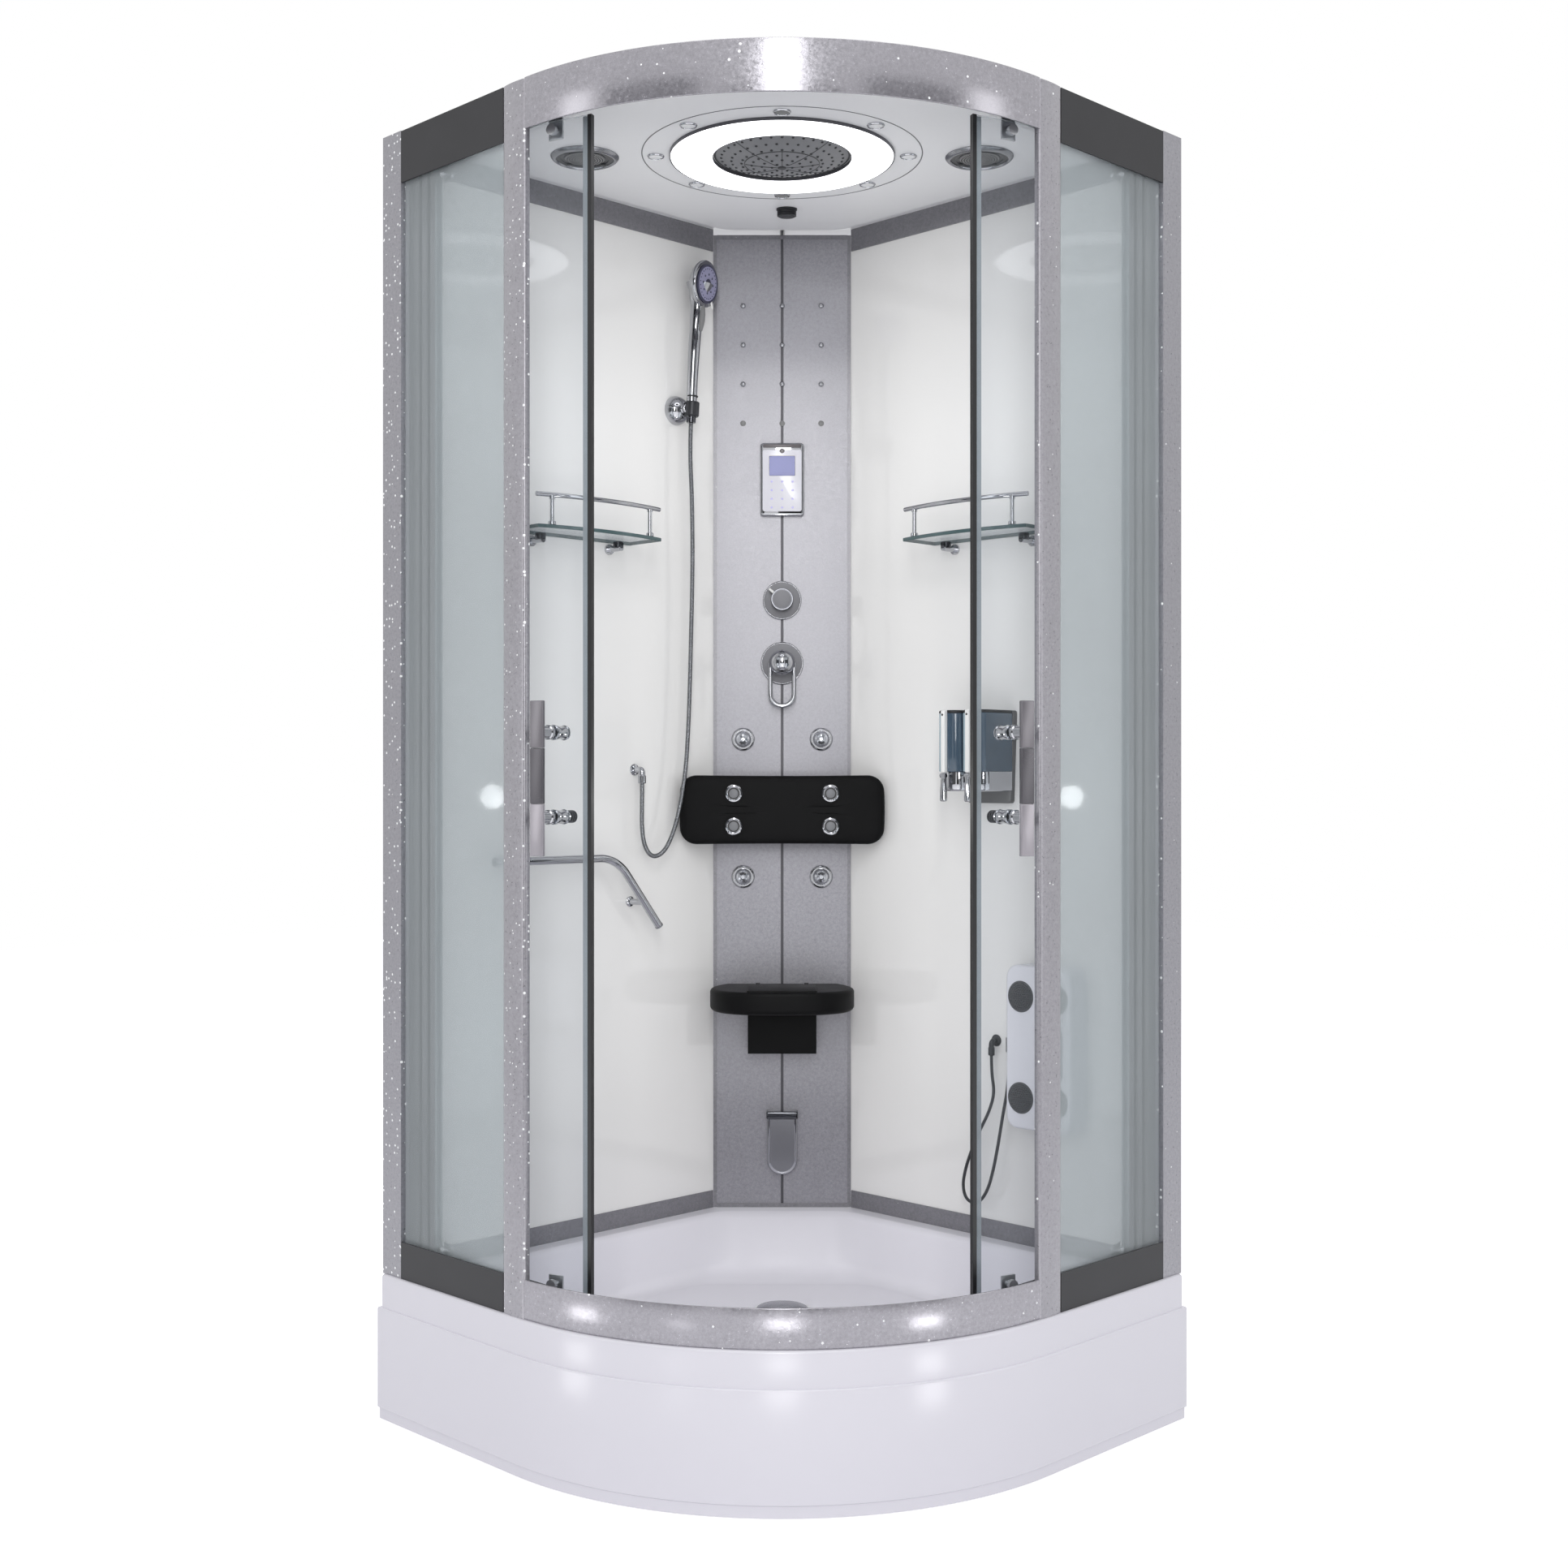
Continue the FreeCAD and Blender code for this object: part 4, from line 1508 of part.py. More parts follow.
def make_massager():
    wide, tall = d.foot_width / 2, d.foot_long / 2
    middle, up = foot_centre, d.foot_height
    body = place(new_body("massager"), RIGHT, middle, d.panel_face, up)
    step = pad(body, "XZ", box_loop(-wide, -tall, wide, tall), d.foot_depth)
    soften(body, step, d.foot_round, FreeCAD.Vector(0, 1, 0))
    slot = d.slot_width / 2
    centre = d.slot_along
    cut(body, "XZ", box_loop(centre - slot, -d.slot_tall / 2 - 7, centre + slot,
                             d.slot_tall / 2 - 7), d.foot_depth + 2, offset=d.foot_depth + 1)
    cut(body, "XZ", box_loop(centre - slot, -d.notch_tall / 2 - 5, wide + 1, d.notch_tall / 2 - 5),
        d.notch_depth + 1, offset=d.notch_depth)
    disc = turned("disc", [(0, 0), (d.disc_radius, 0), (d.disc_radius, 1),
                           (d.disc_radius - 5, d.disc_proud), (0, d.disc_proud)])
    places = [(middle + sx * d.disc_along, d.panel_face + d.foot_depth, up + sz * d.disc_up)
              for sx in (-1, 1) for sz in (-1, 1)]
    place(disc, RIGHT, *places[0])
    port = rod("massager_port", 0, 0, 0, 5, 24)
    bind(port, "Placement.Base.z", up - 14)
    bind(port, "Placement.Base.x", middle - wide - 9 - half)
    bind(port, "Placement.Base.y", half - d.panel_face - 22)
    neck = rod("massager_neck", 0, 0, 0, 3.5, 9, "x")
    bind(neck, "Placement.Base.z", up + 4)
    bind(neck, "Placement.Base.x", middle - wide - 9 - half)
    bind(neck, "Placement.Base.y", half - d.panel_face - 22)
    node(grouped("massager_set", [fused("massager_whole", [body, port, neck]),
                                  copies("discs", disc, RIGHT, places)]), "foot_massager")


# ---- build, check and write -----------------------------------------------------------------

make_tray()
make_support()
make_drain()
make_posts()
make_rails()
make_panes()
setting = door_setting()
make_doors(setting)
make_tracks(setting)
make_walls()
make_column()
make_ceiling()
make_ceiling_fittings()
make_nozzles()
make_control()
make_valves()
make_jets()
make_cushion()
make_seat()
make_spout()
make_services()
exit_points = make_hand_shower()
make_elbows()
make_hoses(exit_points)
make_grab_bar()
make_shelves()
make_dispenser()
make_massager()
doc.recompute()

pole = setting["pole"]
print("door axis at x %.2f, y %.2f, turn %.3f degrees, track radius %.1f" % (
    pole.x - float(half), pole.y + float(half), setting["turn"], setting["track"]))
faulty = [piece.Label for piece in doc.Objects
          if {"Invalid", "Error"} & set(getattr(piece, "State", []))]
if faulty:
    raise RuntimeError("these objects failed: " + ", ".join(faulty))
for name, piece in nodes.items():
    if piece.Shape.isNull() or not piece.Shape.isValid() or not piece.Shape.Solids:
        raise RuntimeError("the shape of %s is null, not valid or holds no solid" % name)
if len(nodes) > 60:
    raise RuntimeError("more than 60 pieces: %d" % len(nodes))
os.makedirs("parts", exist_ok=True)
for name, piece in nodes.items():
    piece.Shape.exportStep("parts/%s.step" % name)
print("%d pieces written" % len(nodes))
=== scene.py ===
import json
import math

import bmesh
import bpy
from mathutils import Matrix, Vector

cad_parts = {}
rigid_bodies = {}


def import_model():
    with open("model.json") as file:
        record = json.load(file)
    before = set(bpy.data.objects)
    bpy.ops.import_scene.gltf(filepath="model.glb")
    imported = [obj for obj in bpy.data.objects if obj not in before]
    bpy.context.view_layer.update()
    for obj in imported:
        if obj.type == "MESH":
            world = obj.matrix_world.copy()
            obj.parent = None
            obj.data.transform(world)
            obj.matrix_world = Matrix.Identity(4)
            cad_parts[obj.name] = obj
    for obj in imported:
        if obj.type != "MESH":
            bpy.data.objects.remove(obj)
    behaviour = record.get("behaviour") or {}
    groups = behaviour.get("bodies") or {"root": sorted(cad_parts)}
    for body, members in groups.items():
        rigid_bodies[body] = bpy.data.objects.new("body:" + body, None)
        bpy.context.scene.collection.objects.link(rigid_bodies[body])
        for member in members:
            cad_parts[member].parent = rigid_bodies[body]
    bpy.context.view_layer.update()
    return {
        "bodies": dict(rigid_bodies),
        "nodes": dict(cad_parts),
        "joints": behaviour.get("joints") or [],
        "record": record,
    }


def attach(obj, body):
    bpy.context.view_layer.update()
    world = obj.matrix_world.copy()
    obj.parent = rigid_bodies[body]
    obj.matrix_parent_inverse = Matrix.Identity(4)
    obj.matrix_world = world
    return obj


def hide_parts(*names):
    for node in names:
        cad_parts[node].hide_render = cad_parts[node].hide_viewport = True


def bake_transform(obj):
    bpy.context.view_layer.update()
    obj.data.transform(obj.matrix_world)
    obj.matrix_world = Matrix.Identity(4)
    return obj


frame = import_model()
nodes = frame["nodes"]
print("frame loaded: %d nodes" % len(nodes))

bpy.context.scene.view_settings.view_transform = "Standard"

# Sizes are in millimetres. Shapes are drawn in millimetres and scaled to metres by their frame.
millimetre = 0.001
cabin = {"half": 450, "trayRadius": 550, "arcCentre": (-100, 100), "panelFace": 31,
         "columnFace": 169}


def wallFrame(turn, along=0, up=0, out=0):
    # x runs to the right on the wall as seen from inside, y is up, z comes out of the wall
    angle = math.radians(turn)
    cos, sin = math.cos(angle), math.sin(angle)
    basis = Matrix(((cos, 0, sin, 0), (sin, 0, -cos, 0), (0, 1, 0, 0), (0, 0, 0, 1)))
    roomCorner = Matrix.Translation((-cabin["half"] * millimetre, cabin["half"] * millimetre, 0))
    return roomCorner @ basis @ Matrix.Scale(millimetre, 4) @ Matrix.Translation((along, up, out))


roomFrame = Matrix.Scale(millimetre, 4)
walls = {"right": 0, "column": 45, "left": 90}


def onWall(wall, along=0, up=0, out=0):
    return wallFrame(walls[wall], along, up, out)


def onColumn(along=0, up=0, out=0):
    # out is counted from the column's face
    return onWall("column", along, up, cabin["columnFace"] + out)


def mirrorFrame(matrix):
    # the other side of the cabin's diagonal
    return Matrix(((0, -1, 0, 0), (-1, 0, 0, 0), (0, 0, 1, 0), (0, 0, 0, 1))) @ matrix


def ceilingFrame(along, out, height):
    # x along the column's face, y away from the room corner, z down from the ceiling
    place = onWall("column", along, height, out)
    return place @ Matrix(((1, 0, 0, 0), (0, 0, -1, 0), (0, 1, 0, 0), (0, 0, 0, 1)))


def quarterTurn(parts):
    return [math.pi / 2 * part / parts for part in range(parts + 1)]


def aroundCorner(corners, i):
    # the corner before, the corner itself and the corner after it
    return [Vector(corners[(i + step) % len(corners)]) for step in (-1, 0, 1)]


def insetLoop(corners, inset):
    area = sum(a[0] * b[1] - b[0] * a[1] for a, b in zip(corners, corners[1:] + corners[:1]))
    side, moved = 1 if area > 0 else -1, []
    for i in range(len(corners)):
        before, here, after = aroundCorner(corners, i)
        first, last = (here - before).normalized(), (after - here).normalized()
        normalA = Vector((-first.y, first.x)) * side
        normalB = Vector((-last.y, last.x)) * side
        shared = normalA + normalB
        moved.append(tuple(here + shared * (inset / max(shared.dot(normalA), 0.2))))
    return moved


def roundLoop(corners, radii, steps=6):
    points = []
    for i in range(len(corners)):
        before, here, after = aroundCorner(corners, i)
        radius, parts = radii[i], steps[i] if isinstance(steps, (list, tuple)) else steps
        back, ahead = (before - here).normalized(), (after - here).normalized()
        opening = back.angle(ahead)
        reach = radius / math.tan(opening / 2)
        centre = here + (back + ahead).normalized() * (radius / math.sin(opening / 2))
        start, end = here + back * reach - centre, here + ahead * reach - centre
        sweep = start.angle_signed(end) if radius > 1e-6 else 0.0
        for part in range(parts + 1):
            turn = Matrix.Rotation(-sweep * part / parts, 2)
            points.append(tuple(centre + turn @ start))
    return points


def rectangle(width, height, x=0, y=0):
    return [(x - width / 2, y - height / 2), (x + width / 2, y - height / 2),
            (x + width / 2, y + height / 2), (x - width / 2, y + height / 2)]


def circle(radius, steps=32, x=0, y=0):
    return [(x + radius * math.cos(math.tau * i / steps),
             y + radius * math.sin(math.tau * i / steps)) for i in range(steps)]


def edgeLevels(low, high, lowRadius, highRadius, parts=3):
    # (inset, height) pairs of a block whose lower and upper edges are rounded
    lower = [(lowRadius * (1 - math.sin(angle)), low + lowRadius * (1 - math.cos(angle)))
             for angle in quarterTurn(parts)]
    upper = [(highRadius * (1 - math.cos(angle)), high - highRadius * (1 - math.sin(angle)))
             for angle in quarterTurn(parts)]
    return lower + upper


def addObject(name, data):
    made = bpy.data.objects.new(name, data)
    bpy.context.scene.collection.objects.link(made)
    return made


class Shape:
    # faces of one piece, in metres once its frame has placed them, each with its finish

    def __init__(self, frame=None):
        self.frame = frame or roomFrame
        self.points, self.faces, self.looks = [], [], []

    def addRings(self, rings, look, wrap=False):
        # a skin over the rings; both ends are closed, or joined to each other with wrap
        base, size = len(self.points), len(rings[0])
        for ring in rings:
            self.points += [self.frame @ Vector(point) for point in ring]
        spans = len(rings) if wrap else len(rings) - 1
        for row in range(spans):
            near, far = base + row * size, base + (row + 1) % len(rings) * size
            for i in range(size):
                j = (i + 1) % size
                self.addFace([near + i, near + j, far + j, far + i], look)
        if not wrap:
            last = base + (len(rings) - 1) * size
            self.addFace(list(range(base, base + size))[::-1], look)
            self.addFace(list(range(last, last + size)), look)
        return self

    def addFace(self, corners, look):
        self.faces.append(corners)
        self.looks.append(look)

    def addBlock(self, corners, radii, levels, look, steps=6, along="z"):
        # an outline with rounded corners, drawn at each (inset, height)
        rings = []
        for inset, height in levels:
            corner = [max(radius - inset, 0.05) for radius in radii]
            rings.append([(x, y, height) if along == "z" else (x, height, -y)
                          for x, y in roundLoop(insetLoop(corners, inset), corner, steps)])
        return self.addRings(rings, look)

    def addTurned(self, profile, look, steps=48, wrap=False):
        # a profile of (radius, height) turned about the frame's z
        rings = [[(x, y, height) for x, y in circle(max(radius, 0.0), steps)]
                 for radius, height in profile]
        return self.addRings(rings, look, wrap)

    def addTube(self, path, radius, look, sides=16):
        # a round bar along points; radius is a number or a function of the share of the way
        points = [Vector(point) for point in path]
        rings, up = [], None
        for i, point in enumerate(points):
            ahead = (points[min(i + 1, len(points) - 1)] - points[max(i - 1, 0)]).normalized()
            if up is None:
                up = ahead.orthogonal().normalized()
            up = (up - ahead * up.dot(ahead)).normalized()
            side = ahead.cross(up)
            size = radius(i / (len(points) - 1)) if callable(radius) else radius
            rings.append([tuple(point + up * across + side * aside)
                          for across, aside in circle(size, sides)])
        return self.addRings(rings, look)

    def build(self, name, sharp=32):
        mesh = bpy.data.meshes.new(name)
        mesh.from_pydata([tuple(point) for point in self.points], [], self.faces)
        looks = list(dict.fromkeys(self.looks))
        for look in looks:
            mesh.materials.append(look)
        mesh.polygons.foreach_set("material_index", [looks.index(look) for look in self.looks])
        return tidyMesh(mesh, name, sharp)


def tidyMesh(mesh, name, sharp=32):
    work = bmesh.new()
    work.from_mesh(mesh)
    bmesh.ops.remove_doubles(work, verts=work.verts, dist=2e-6)
    bmesh.ops.dissolve_degenerate(work, edges=work.edges, dist=1e-7)
    loose = [edge for edge in work.edges if not edge.link_faces]
    bmesh.ops.delete(work, geom=loose, context="EDGES")
    bmesh.ops.recalc_face_normals(work, faces=work.faces)
    work.to_mesh(mesh)
    work.free()
    mesh.polygons.foreach_set("use_smooth", [True] * len(mesh.polygons))
    mesh.set_sharp_from_angle(angle=math.radians(sharp))
    return addObject(name, mesh)


def seat(piece, body, replaced=()):
    # a finished piece rides on its body and stands for the nodes it replaces
    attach(piece, body)
    if replaced:
        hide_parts(*replaced)
    return piece


class Wire:
    # a socket with maths written as Python
    def __init__(self, tree, socket):
        self.tree, self.socket = tree, socket

    def __add__(self, other):
        return self.tree.maths("ADD", self, other)

    def __radd__(self, other):
        return self.tree.maths("ADD", other, self)

    def __sub__(self, other):
        return self.tree.maths("SUBTRACT", self, other)

    def __rsub__(self, other):
        return self.tree.maths("SUBTRACT", other, self)

    def __mul__(self, other):
        return self.tree.maths("MULTIPLY", self, other)

    def __rmul__(self, other):
        return self.tree.maths("MULTIPLY", other, self)

    def __gt__(self, other):
        return self.tree.maths("GREATER_THAN", self, other)

    def __lt__(self, other):
        return self.tree.maths("LESS_THAN", self, other)


class Tree:
    # a node tree with one way to add a node
    def __init__(self, nodeTree):
        self.tree = nodeTree

    def add(self, kind, settings=None, inputs=None, output=0):
        made = self.tree.nodes.new(kind)
        for key, value in (settings or {}).items():
            setattr(made, key, value)
        feed(self, made, inputs or {})
        return Wire(self, made.outputs[output])

    def maths(self, operation, *values):
        return self.add("ShaderNodeMath", {"operation": operation}, dict(enumerate(values)))

    def mixColours(self, share, first, second):
        inputs = {0: share, 6: first, 7: second}
        return self.add("ShaderNodeMix", {"data_type": "RGBA"}, inputs, 2)


def colourOf(red, green, blue):
    # a colour as seen on screen, 0 to 255, as the shader's linear values
    def linear(value):
        value /= 255
        return value / 12.92 if value <= 0.04045 else ((value + 0.055) / 1.055) ** 2.4
    return (linear(red), linear(green), linear(blue), 1.0)


def scaled(colour, factor):
    return tuple(min(value * factor, 1.0) for value in colour[:3]) + (1.0,)


white, black = (1.0, 1.0, 1.0, 1.0), (0.0, 0.0, 0.0, 1.0)


def newFinish(name):
    material = bpy.data.materials.new(name)
    material.use_nodes = True
    tree = Tree(material.node_tree)
    shader = material.node_tree.nodes["Principled BSDF"]
    return material, tree, shader


def feed(tree, node, values):
    for key, value in values.items():
        if isinstance(value, Wire):
            tree.tree.links.new(value.socket, node.inputs[key])
        else:
            node.inputs[key].default_value = value


def objectPlace(tree):
    return tree.add("ShaderNodeTexCoord", output=3)


def axisOf(tree, place, axis):
    return tree.add("ShaderNodeSeparateXYZ", None, {"Vector": place}, axis)


def noise(tree, scale, detail=3.0, roughness=0.55, place=None):
    inputs = {"Vector": place or objectPlace(tree), "Scale": scale, "Detail": detail,
              "Roughness": roughness}
    return tree.add("ShaderNodeTexNoise", {"noise_dimensions": "3D"}, inputs)


def bumpOf(tree, height, strength, distance):
    return tree.add("ShaderNodeBump", None, {"Strength": strength, "Distance": distance,
                                              "Height": height})


def makeFinish(name, colour, roughness, metallic=0.0, shade=0.06, cloud=9.0, grain=900.0,
               bump=0.04, wander=0.05, coat=0.0, gloss=0.5):
    # a plain surface with a little cloudiness, a fine grain and uneven gloss
    material, tree, shader = newFinish(name)
    cloudy = noise(tree, cloud)
    fine = noise(tree, grain, 2.0)
    base = colourOf(*colour)
    dark, pale = scaled(base, 1 - shade), scaled(base, 1 + shade)
    feed(tree, shader, {
        "Base Color": tree.mixColours(cloudy * 0.7 + fine * 0.3, dark, pale),
        "Roughness": roughness + (cloudy - 0.5) * wander + (fine - 0.5) * wander,
        "Metallic": metallic, "Coat Weight": coat, "Coat Roughness": 0.06,
        "Specular IOR Level": gloss, "Normal": bumpOf(tree, fine, bump, 0.0004)})
    return material


def makeGlitter(name, colour, sparkle, amount, roughness=0.36, flakeSize=0.0016, inner=None):
    # grey film with metal flakes: fine mottling, and sparse flakes of uneven size painted white, a
    # painted glint for their sparkle
    material, tree, shader = newFinish(name)
    place = objectPlace(tree)
    mottle = (noise(tree, 200.0, 3.0, 0.7, place) - 0.5) * 2.0 + 0.5
    patch = noise(tree, 14.0, 2.0, 0.5, place)

    def cells(scale, output):
        return tree.add("ShaderNodeTexVoronoi", {"feature": "F1"},
                        {"Vector": place, "Scale": scale}, output)

    reach, lot = cells(sparkle, 0), cells(sparkle, 1)
    chosen = tree.add("ShaderNodeSeparateColor", None, {"Color": lot})
    size = tree.add("ShaderNodeSeparateColor", None, {"Color": lot}, 1)
    glintFlake = (reach < size * (flakeSize * sparkle)) * (chosen > 1 - amount)
    tint = tree.add("ShaderNodeSeparateColor", None, {"Color": cells(1100.0, 1)})
    base = colourOf(*colour)
    grey = tree.mixColours(mottle * 0.6 + tint * 0.28 + patch * 0.12, scaled(base, 0.72),
                           scaled(base, 1.3))
    if inner:
        # painted shade: a plain darker colour without flakes behind the panes, past the given edge,
        # on the left post and on its mirror twin
        x, y = axisOf(tree, place, 0), axisOf(tree, place, 1)
        left = x < 0
        shadedInside = (left * y - (1 - left) * x) > inner["edge"]
        grey = tree.mixColours(shadedInside, grey, colourOf(*inner["colour"]))
        glintFlake = glintFlake * (1 - shadedInside)
    # the flakes are real; their plain white is a painted glint
    feed(tree, shader, {
        "Base Color": tree.mixColours(glintFlake, grey, white),
        "Roughness": roughness + (mottle - 0.5) * 0.2 - glintFlake * 0.1,
        "Metallic": (1 - glintFlake) * 0.5,
        "Coat Weight": 0.35, "Coat Roughness": 0.16,
        "Normal": bumpOf(tree, mottle, 0.12, 0.0003)})
    return material


def makeGlass(name, tint, cover, through):
    # clear glass: mostly see-through, with a reflection that grows towards grazing angles
    material, tree, shader = newFinish(name)
    smear = noise(tree, 3.0, 2.0)
    base = tree.mixColours(smear, colourOf(*tint), colourOf(226, 234, 236))
    feed(tree, shader, {"Base Color": base, "Roughness": 0.02 + smear * 0.03, "Metallic": 0.0})
    facing = tree.add("ShaderNodeLayerWeight", None, {"Blend": 0.25})
    clear = tree.add("ShaderNodeBsdfTransparent", None, {"Color": colourOf(*through)})
    share = cover + facing * 0.4
    solid = Wire(tree, shader.outputs[0])
    mixed = tree.add("ShaderNodeMixShader", None, {0: share, 1: clear, 2: solid})
    output = material.node_tree.nodes["Material Output"]
    tree.tree.links.new(mixed.socket, output.inputs["Surface"])
    return material


def makeLamp(name, colour, strength, grain=60.0):
    material, tree, shader = newFinish(name)
    even = noise(tree, grain, 1.0)
    glow = tree.mixColours(even, colourOf(*colour), colourOf(*[min(c + 6, 255) for c in colour]))
    feed(tree, shader, {"Base Color": glow, "Roughness": 0.35, "Emission Color": glow,
                        "Emission Strength": strength})
    return material


def makeScreen(name, spec):
    # a lit display with cloudy brightness and a fine pixel grid
    material, tree, shader = newFinish(name)
    grid = tree.add("ShaderNodeTexVoronoi", {"feature": "F1", "distance": "CHEBYCHEV"},
                    {"Vector": objectPlace(tree), "Scale": spec["pixels"], "Randomness": 0.0})
    cloud = noise(tree, 22.0, 1.0)
    glow = tree.mixColours(cloud, colourOf(*spec["dark"]), colourOf(*spec["pale"]))
    shown = tree.mixColours(grid * 0.5, glow, colourOf(*spec["dark"]))
    feed(tree, shader, {"Base Color": shown, "Roughness": 0.2, "Emission Color": shown,
                        "Emission Strength": spec["strength"]})
    return material


def makePipeLook(top):
    # brass, with painted shade above the column: dull and dark where the riser's end shows in the gap
    # under the ceiling
    material, tree, shader = newFinish("brass_pipes")
    place = objectPlace(tree)
    height = axisOf(tree, place, 2)
    cloudy = noise(tree, 25.0, place=place)
    brass = tree.mixColours(cloudy, colourOf(178, 146, 88), colourOf(198, 168, 106))
    # above the top height the brass gives way to painted shade
    feed(tree, shader, {"Base Color": tree.mixColours(height > top, brass, colourOf(44, 44, 47)),
                        "Roughness": 0.26 + cloudy * 0.08, "Metallic": (height < top) * 1.0,
                        "Normal": bumpOf(tree, cloudy, 0.1, 0.0004)})
    return material


def makeRailLook(shadedTopColour, lowColour):
    # painted shade: the top rails, one material with the bottom ones, are painted a little darker
    material, tree, shader = newFinish("side_rail_dark")
    place = objectPlace(tree)
    height = axisOf(tree, place, 2)
    fine, cloudy = noise(tree, 1400.0, 2.0, place=place), noise(tree, 9.0, place=place)
    shade = fine * 0.16 + cloudy * 0.06
    darker = tree.mixColours(shade, colourOf(*lowColour), colourOf(130, 130, 134))
    upper = tree.mixColours(shade, colourOf(*shadedTopColour), colourOf(130, 130, 134))
    feed(tree, shader, {"Base Color": tree.mixColours(height > 1.0, darker, upper),
                        "Roughness": 0.4 + fine * 0.08, "Specular IOR Level": 0.25,
                        "Normal": bumpOf(tree, fine, 0.06, 0.0004)})
    return material


screenLook = {"dark": (66, 72, 138), "pale": (80, 86, 158), "pixels": 900.0, "strength": 0.15}

looks = {
    "trayAcrylic": makeFinish("tray_acrylic", (226, 224, 231), 0.2, shade=0.02, cloud=4, bump=0.015,
                              wander=0.04),
    "whitePanel": makeFinish("white_panel", (236, 235, 233), 0.07, shade=0.02, cloud=2.5,
                             bump=0.004, wander=0.02, coat=0.4),
    "ceilingWhite": makeFinish("ceiling_white", (230, 230, 232), 0.3, shade=0.02, cloud=5,
                               bump=0.03),
    "glitterProfile": makeGlitter("glitter_profile", (152, 150, 156), 130.0, 0.42, 0.34, 0.0022),
    # the posts' film carries painted shade on its part behind the panes
    "glitterPost": makeGlitter("glitter_post", (146, 145, 151), 130.0, 0.42, 0.34, 0.0022,
                               {"edge": -0.4255, "colour": (104, 104, 108)}),
    "glitterRail": makeGlitter("glitter_rail", (156, 154, 160), 100.0, 0.26, 0.2, 0.0022),
    "glitterPanel": makeGlitter("glitter_panel", (152, 151, 157), 70.0, 0.06, 0.42),
    "glitterTrim": makeGlitter("glitter_trim", (134, 133, 138), 80.0, 0.12, 0.4, 0.0019),
    # the first colour is the top rails' painted shade
    "railDark": makeRailLook((27, 27, 29), (41, 41, 43)),
    "darkStrip": makeFinish("dark_strip", (84, 83, 88), 0.4, 0.3, shade=0.1, grain=1200),
    "chrome": makeFinish("chrome", (184, 185, 189), 0.05, 1.0, shade=0.03, bump=0.01, wander=0.03),
    "darkChrome": makeFinish("dark_chrome", (88, 89, 93), 0.14, 1.0, shade=0.06, bump=0.02),
    "satinChrome": makeFinish("satin_chrome", (156, 157, 161), 0.24, 1.0, shade=0.05, grain=1600),
    "trackMetal": makeFinish("track_metal", (186, 187, 190), 0.32, 0.9, shade=0.06, grain=1500),
    "clearGlass": makeGlass("clear_glass", (212, 217, 219), 0.01, (249, 250, 251)),
    "paneGlass": makeGlass("pane_glass", (212, 216, 218), 0.01, (251, 252, 252)),
    "glassEdge": makeFinish("glass_edge", (70, 90, 92), 0.15, 0.0, shade=0.15, cloud=30),
    "sealBlack": makeFinish("seal_black", (24, 24, 26), 0.45, 0.0, shade=0.2, bump=0.1),
    "sealClear": makeGlass("seal_clear", (188, 193, 197), 0.5, (206, 210, 214)),
    "padBlack": makeFinish("pad_black", (14, 14, 15), 0.6, 0.0, shade=0.25, cloud=30, grain=1500,
                           bump=0.35, wander=0.1, gloss=0.12),
    "seatBlack": makeFinish("seat_black", (14, 14, 15), 0.5, 0.0, shade=0.2, cloud=20, grain=1300,
                            bump=0.2, wander=0.1, gloss=0.12),
    "steel": makeFinish("galvanised_steel", (150, 154, 158), 0.42, 0.85, shade=0.2, cloud=60,
                        bump=0.2),
    "zinc": makeFinish("zinc_feet", (160, 162, 166), 0.4, 0.85, shade=0.15, cloud=50, bump=0.15),
    "wastePlastic": makeFinish("waste_plastic", (206, 207, 209), 0.42, 0.0, bump=0.08),
    "brass": makePipeLook(1.96),
    "boilerCase": makeFinish("boiler_case", (196, 198, 202), 0.4, 0.6, shade=0.06, bump=0.1),
    "soapPlate": makeFinish("soap_plate", (98, 98, 98), 0.35, 0.3, shade=0.1),
    "controlWhite": makeFinish("control_white", (222, 221, 228), 0.16, 0.0, shade=0.02, bump=0.01),
    "keyLilac": makeFinish("key_lilac", (196, 190, 236), 0.3, 0.0, shade=0.06),
    "sensorGrey": makeFinish("sensor_grey", (92, 88, 90), 0.3, 0.2, shade=0.1),
    "sprayLilac": makeFinish("spray_lilac", (150, 149, 176), 0.45, 0.0, shade=0.06, cloud=40,
                             gloss=0.3),
    "sprayRubber": makeFinish("spray_rubber", (64, 64, 84), 0.5, 0.0, shade=0.1),
    "clipWhite": makeFinish("clip_white", (232, 232, 230), 0.25, 0.0),
    "rainGrey": makeFinish("rain_grey", (122, 123, 126), 0.42, 0.15, shade=0.06, cloud=12,
                           bump=0.08),
    "rainNub": makeFinish("rain_nub", (52, 53, 55), 0.5, 0.0, shade=0.1),
    "plugGrey": makeFinish("plug_grey", (128, 128, 128), 0.45, 0.1, shade=0.1),
    "massagerWhite": makeFinish("massager_white", (228, 228, 234), 0.25, 0.0, shade=0.02,
                                bump=0.03),
    "massagerGrey": makeFinish("massager_grey", (84, 85, 88), 0.5, 0.0, shade=0.12, bump=0.1),
    "elbowGrey": makeFinish("elbow_grey", (58, 59, 62), 0.35, 0.4, shade=0.1),
    "lamp": makeLamp("lamp", (250, 251, 255), 2.2),
    "screen": makeScreen("screen", screenLook),
}


def dress(look, *names):
    for name in names:
        node = nodes[name]
        node.data.materials.clear()
        node.data.materials.append(looks[look])


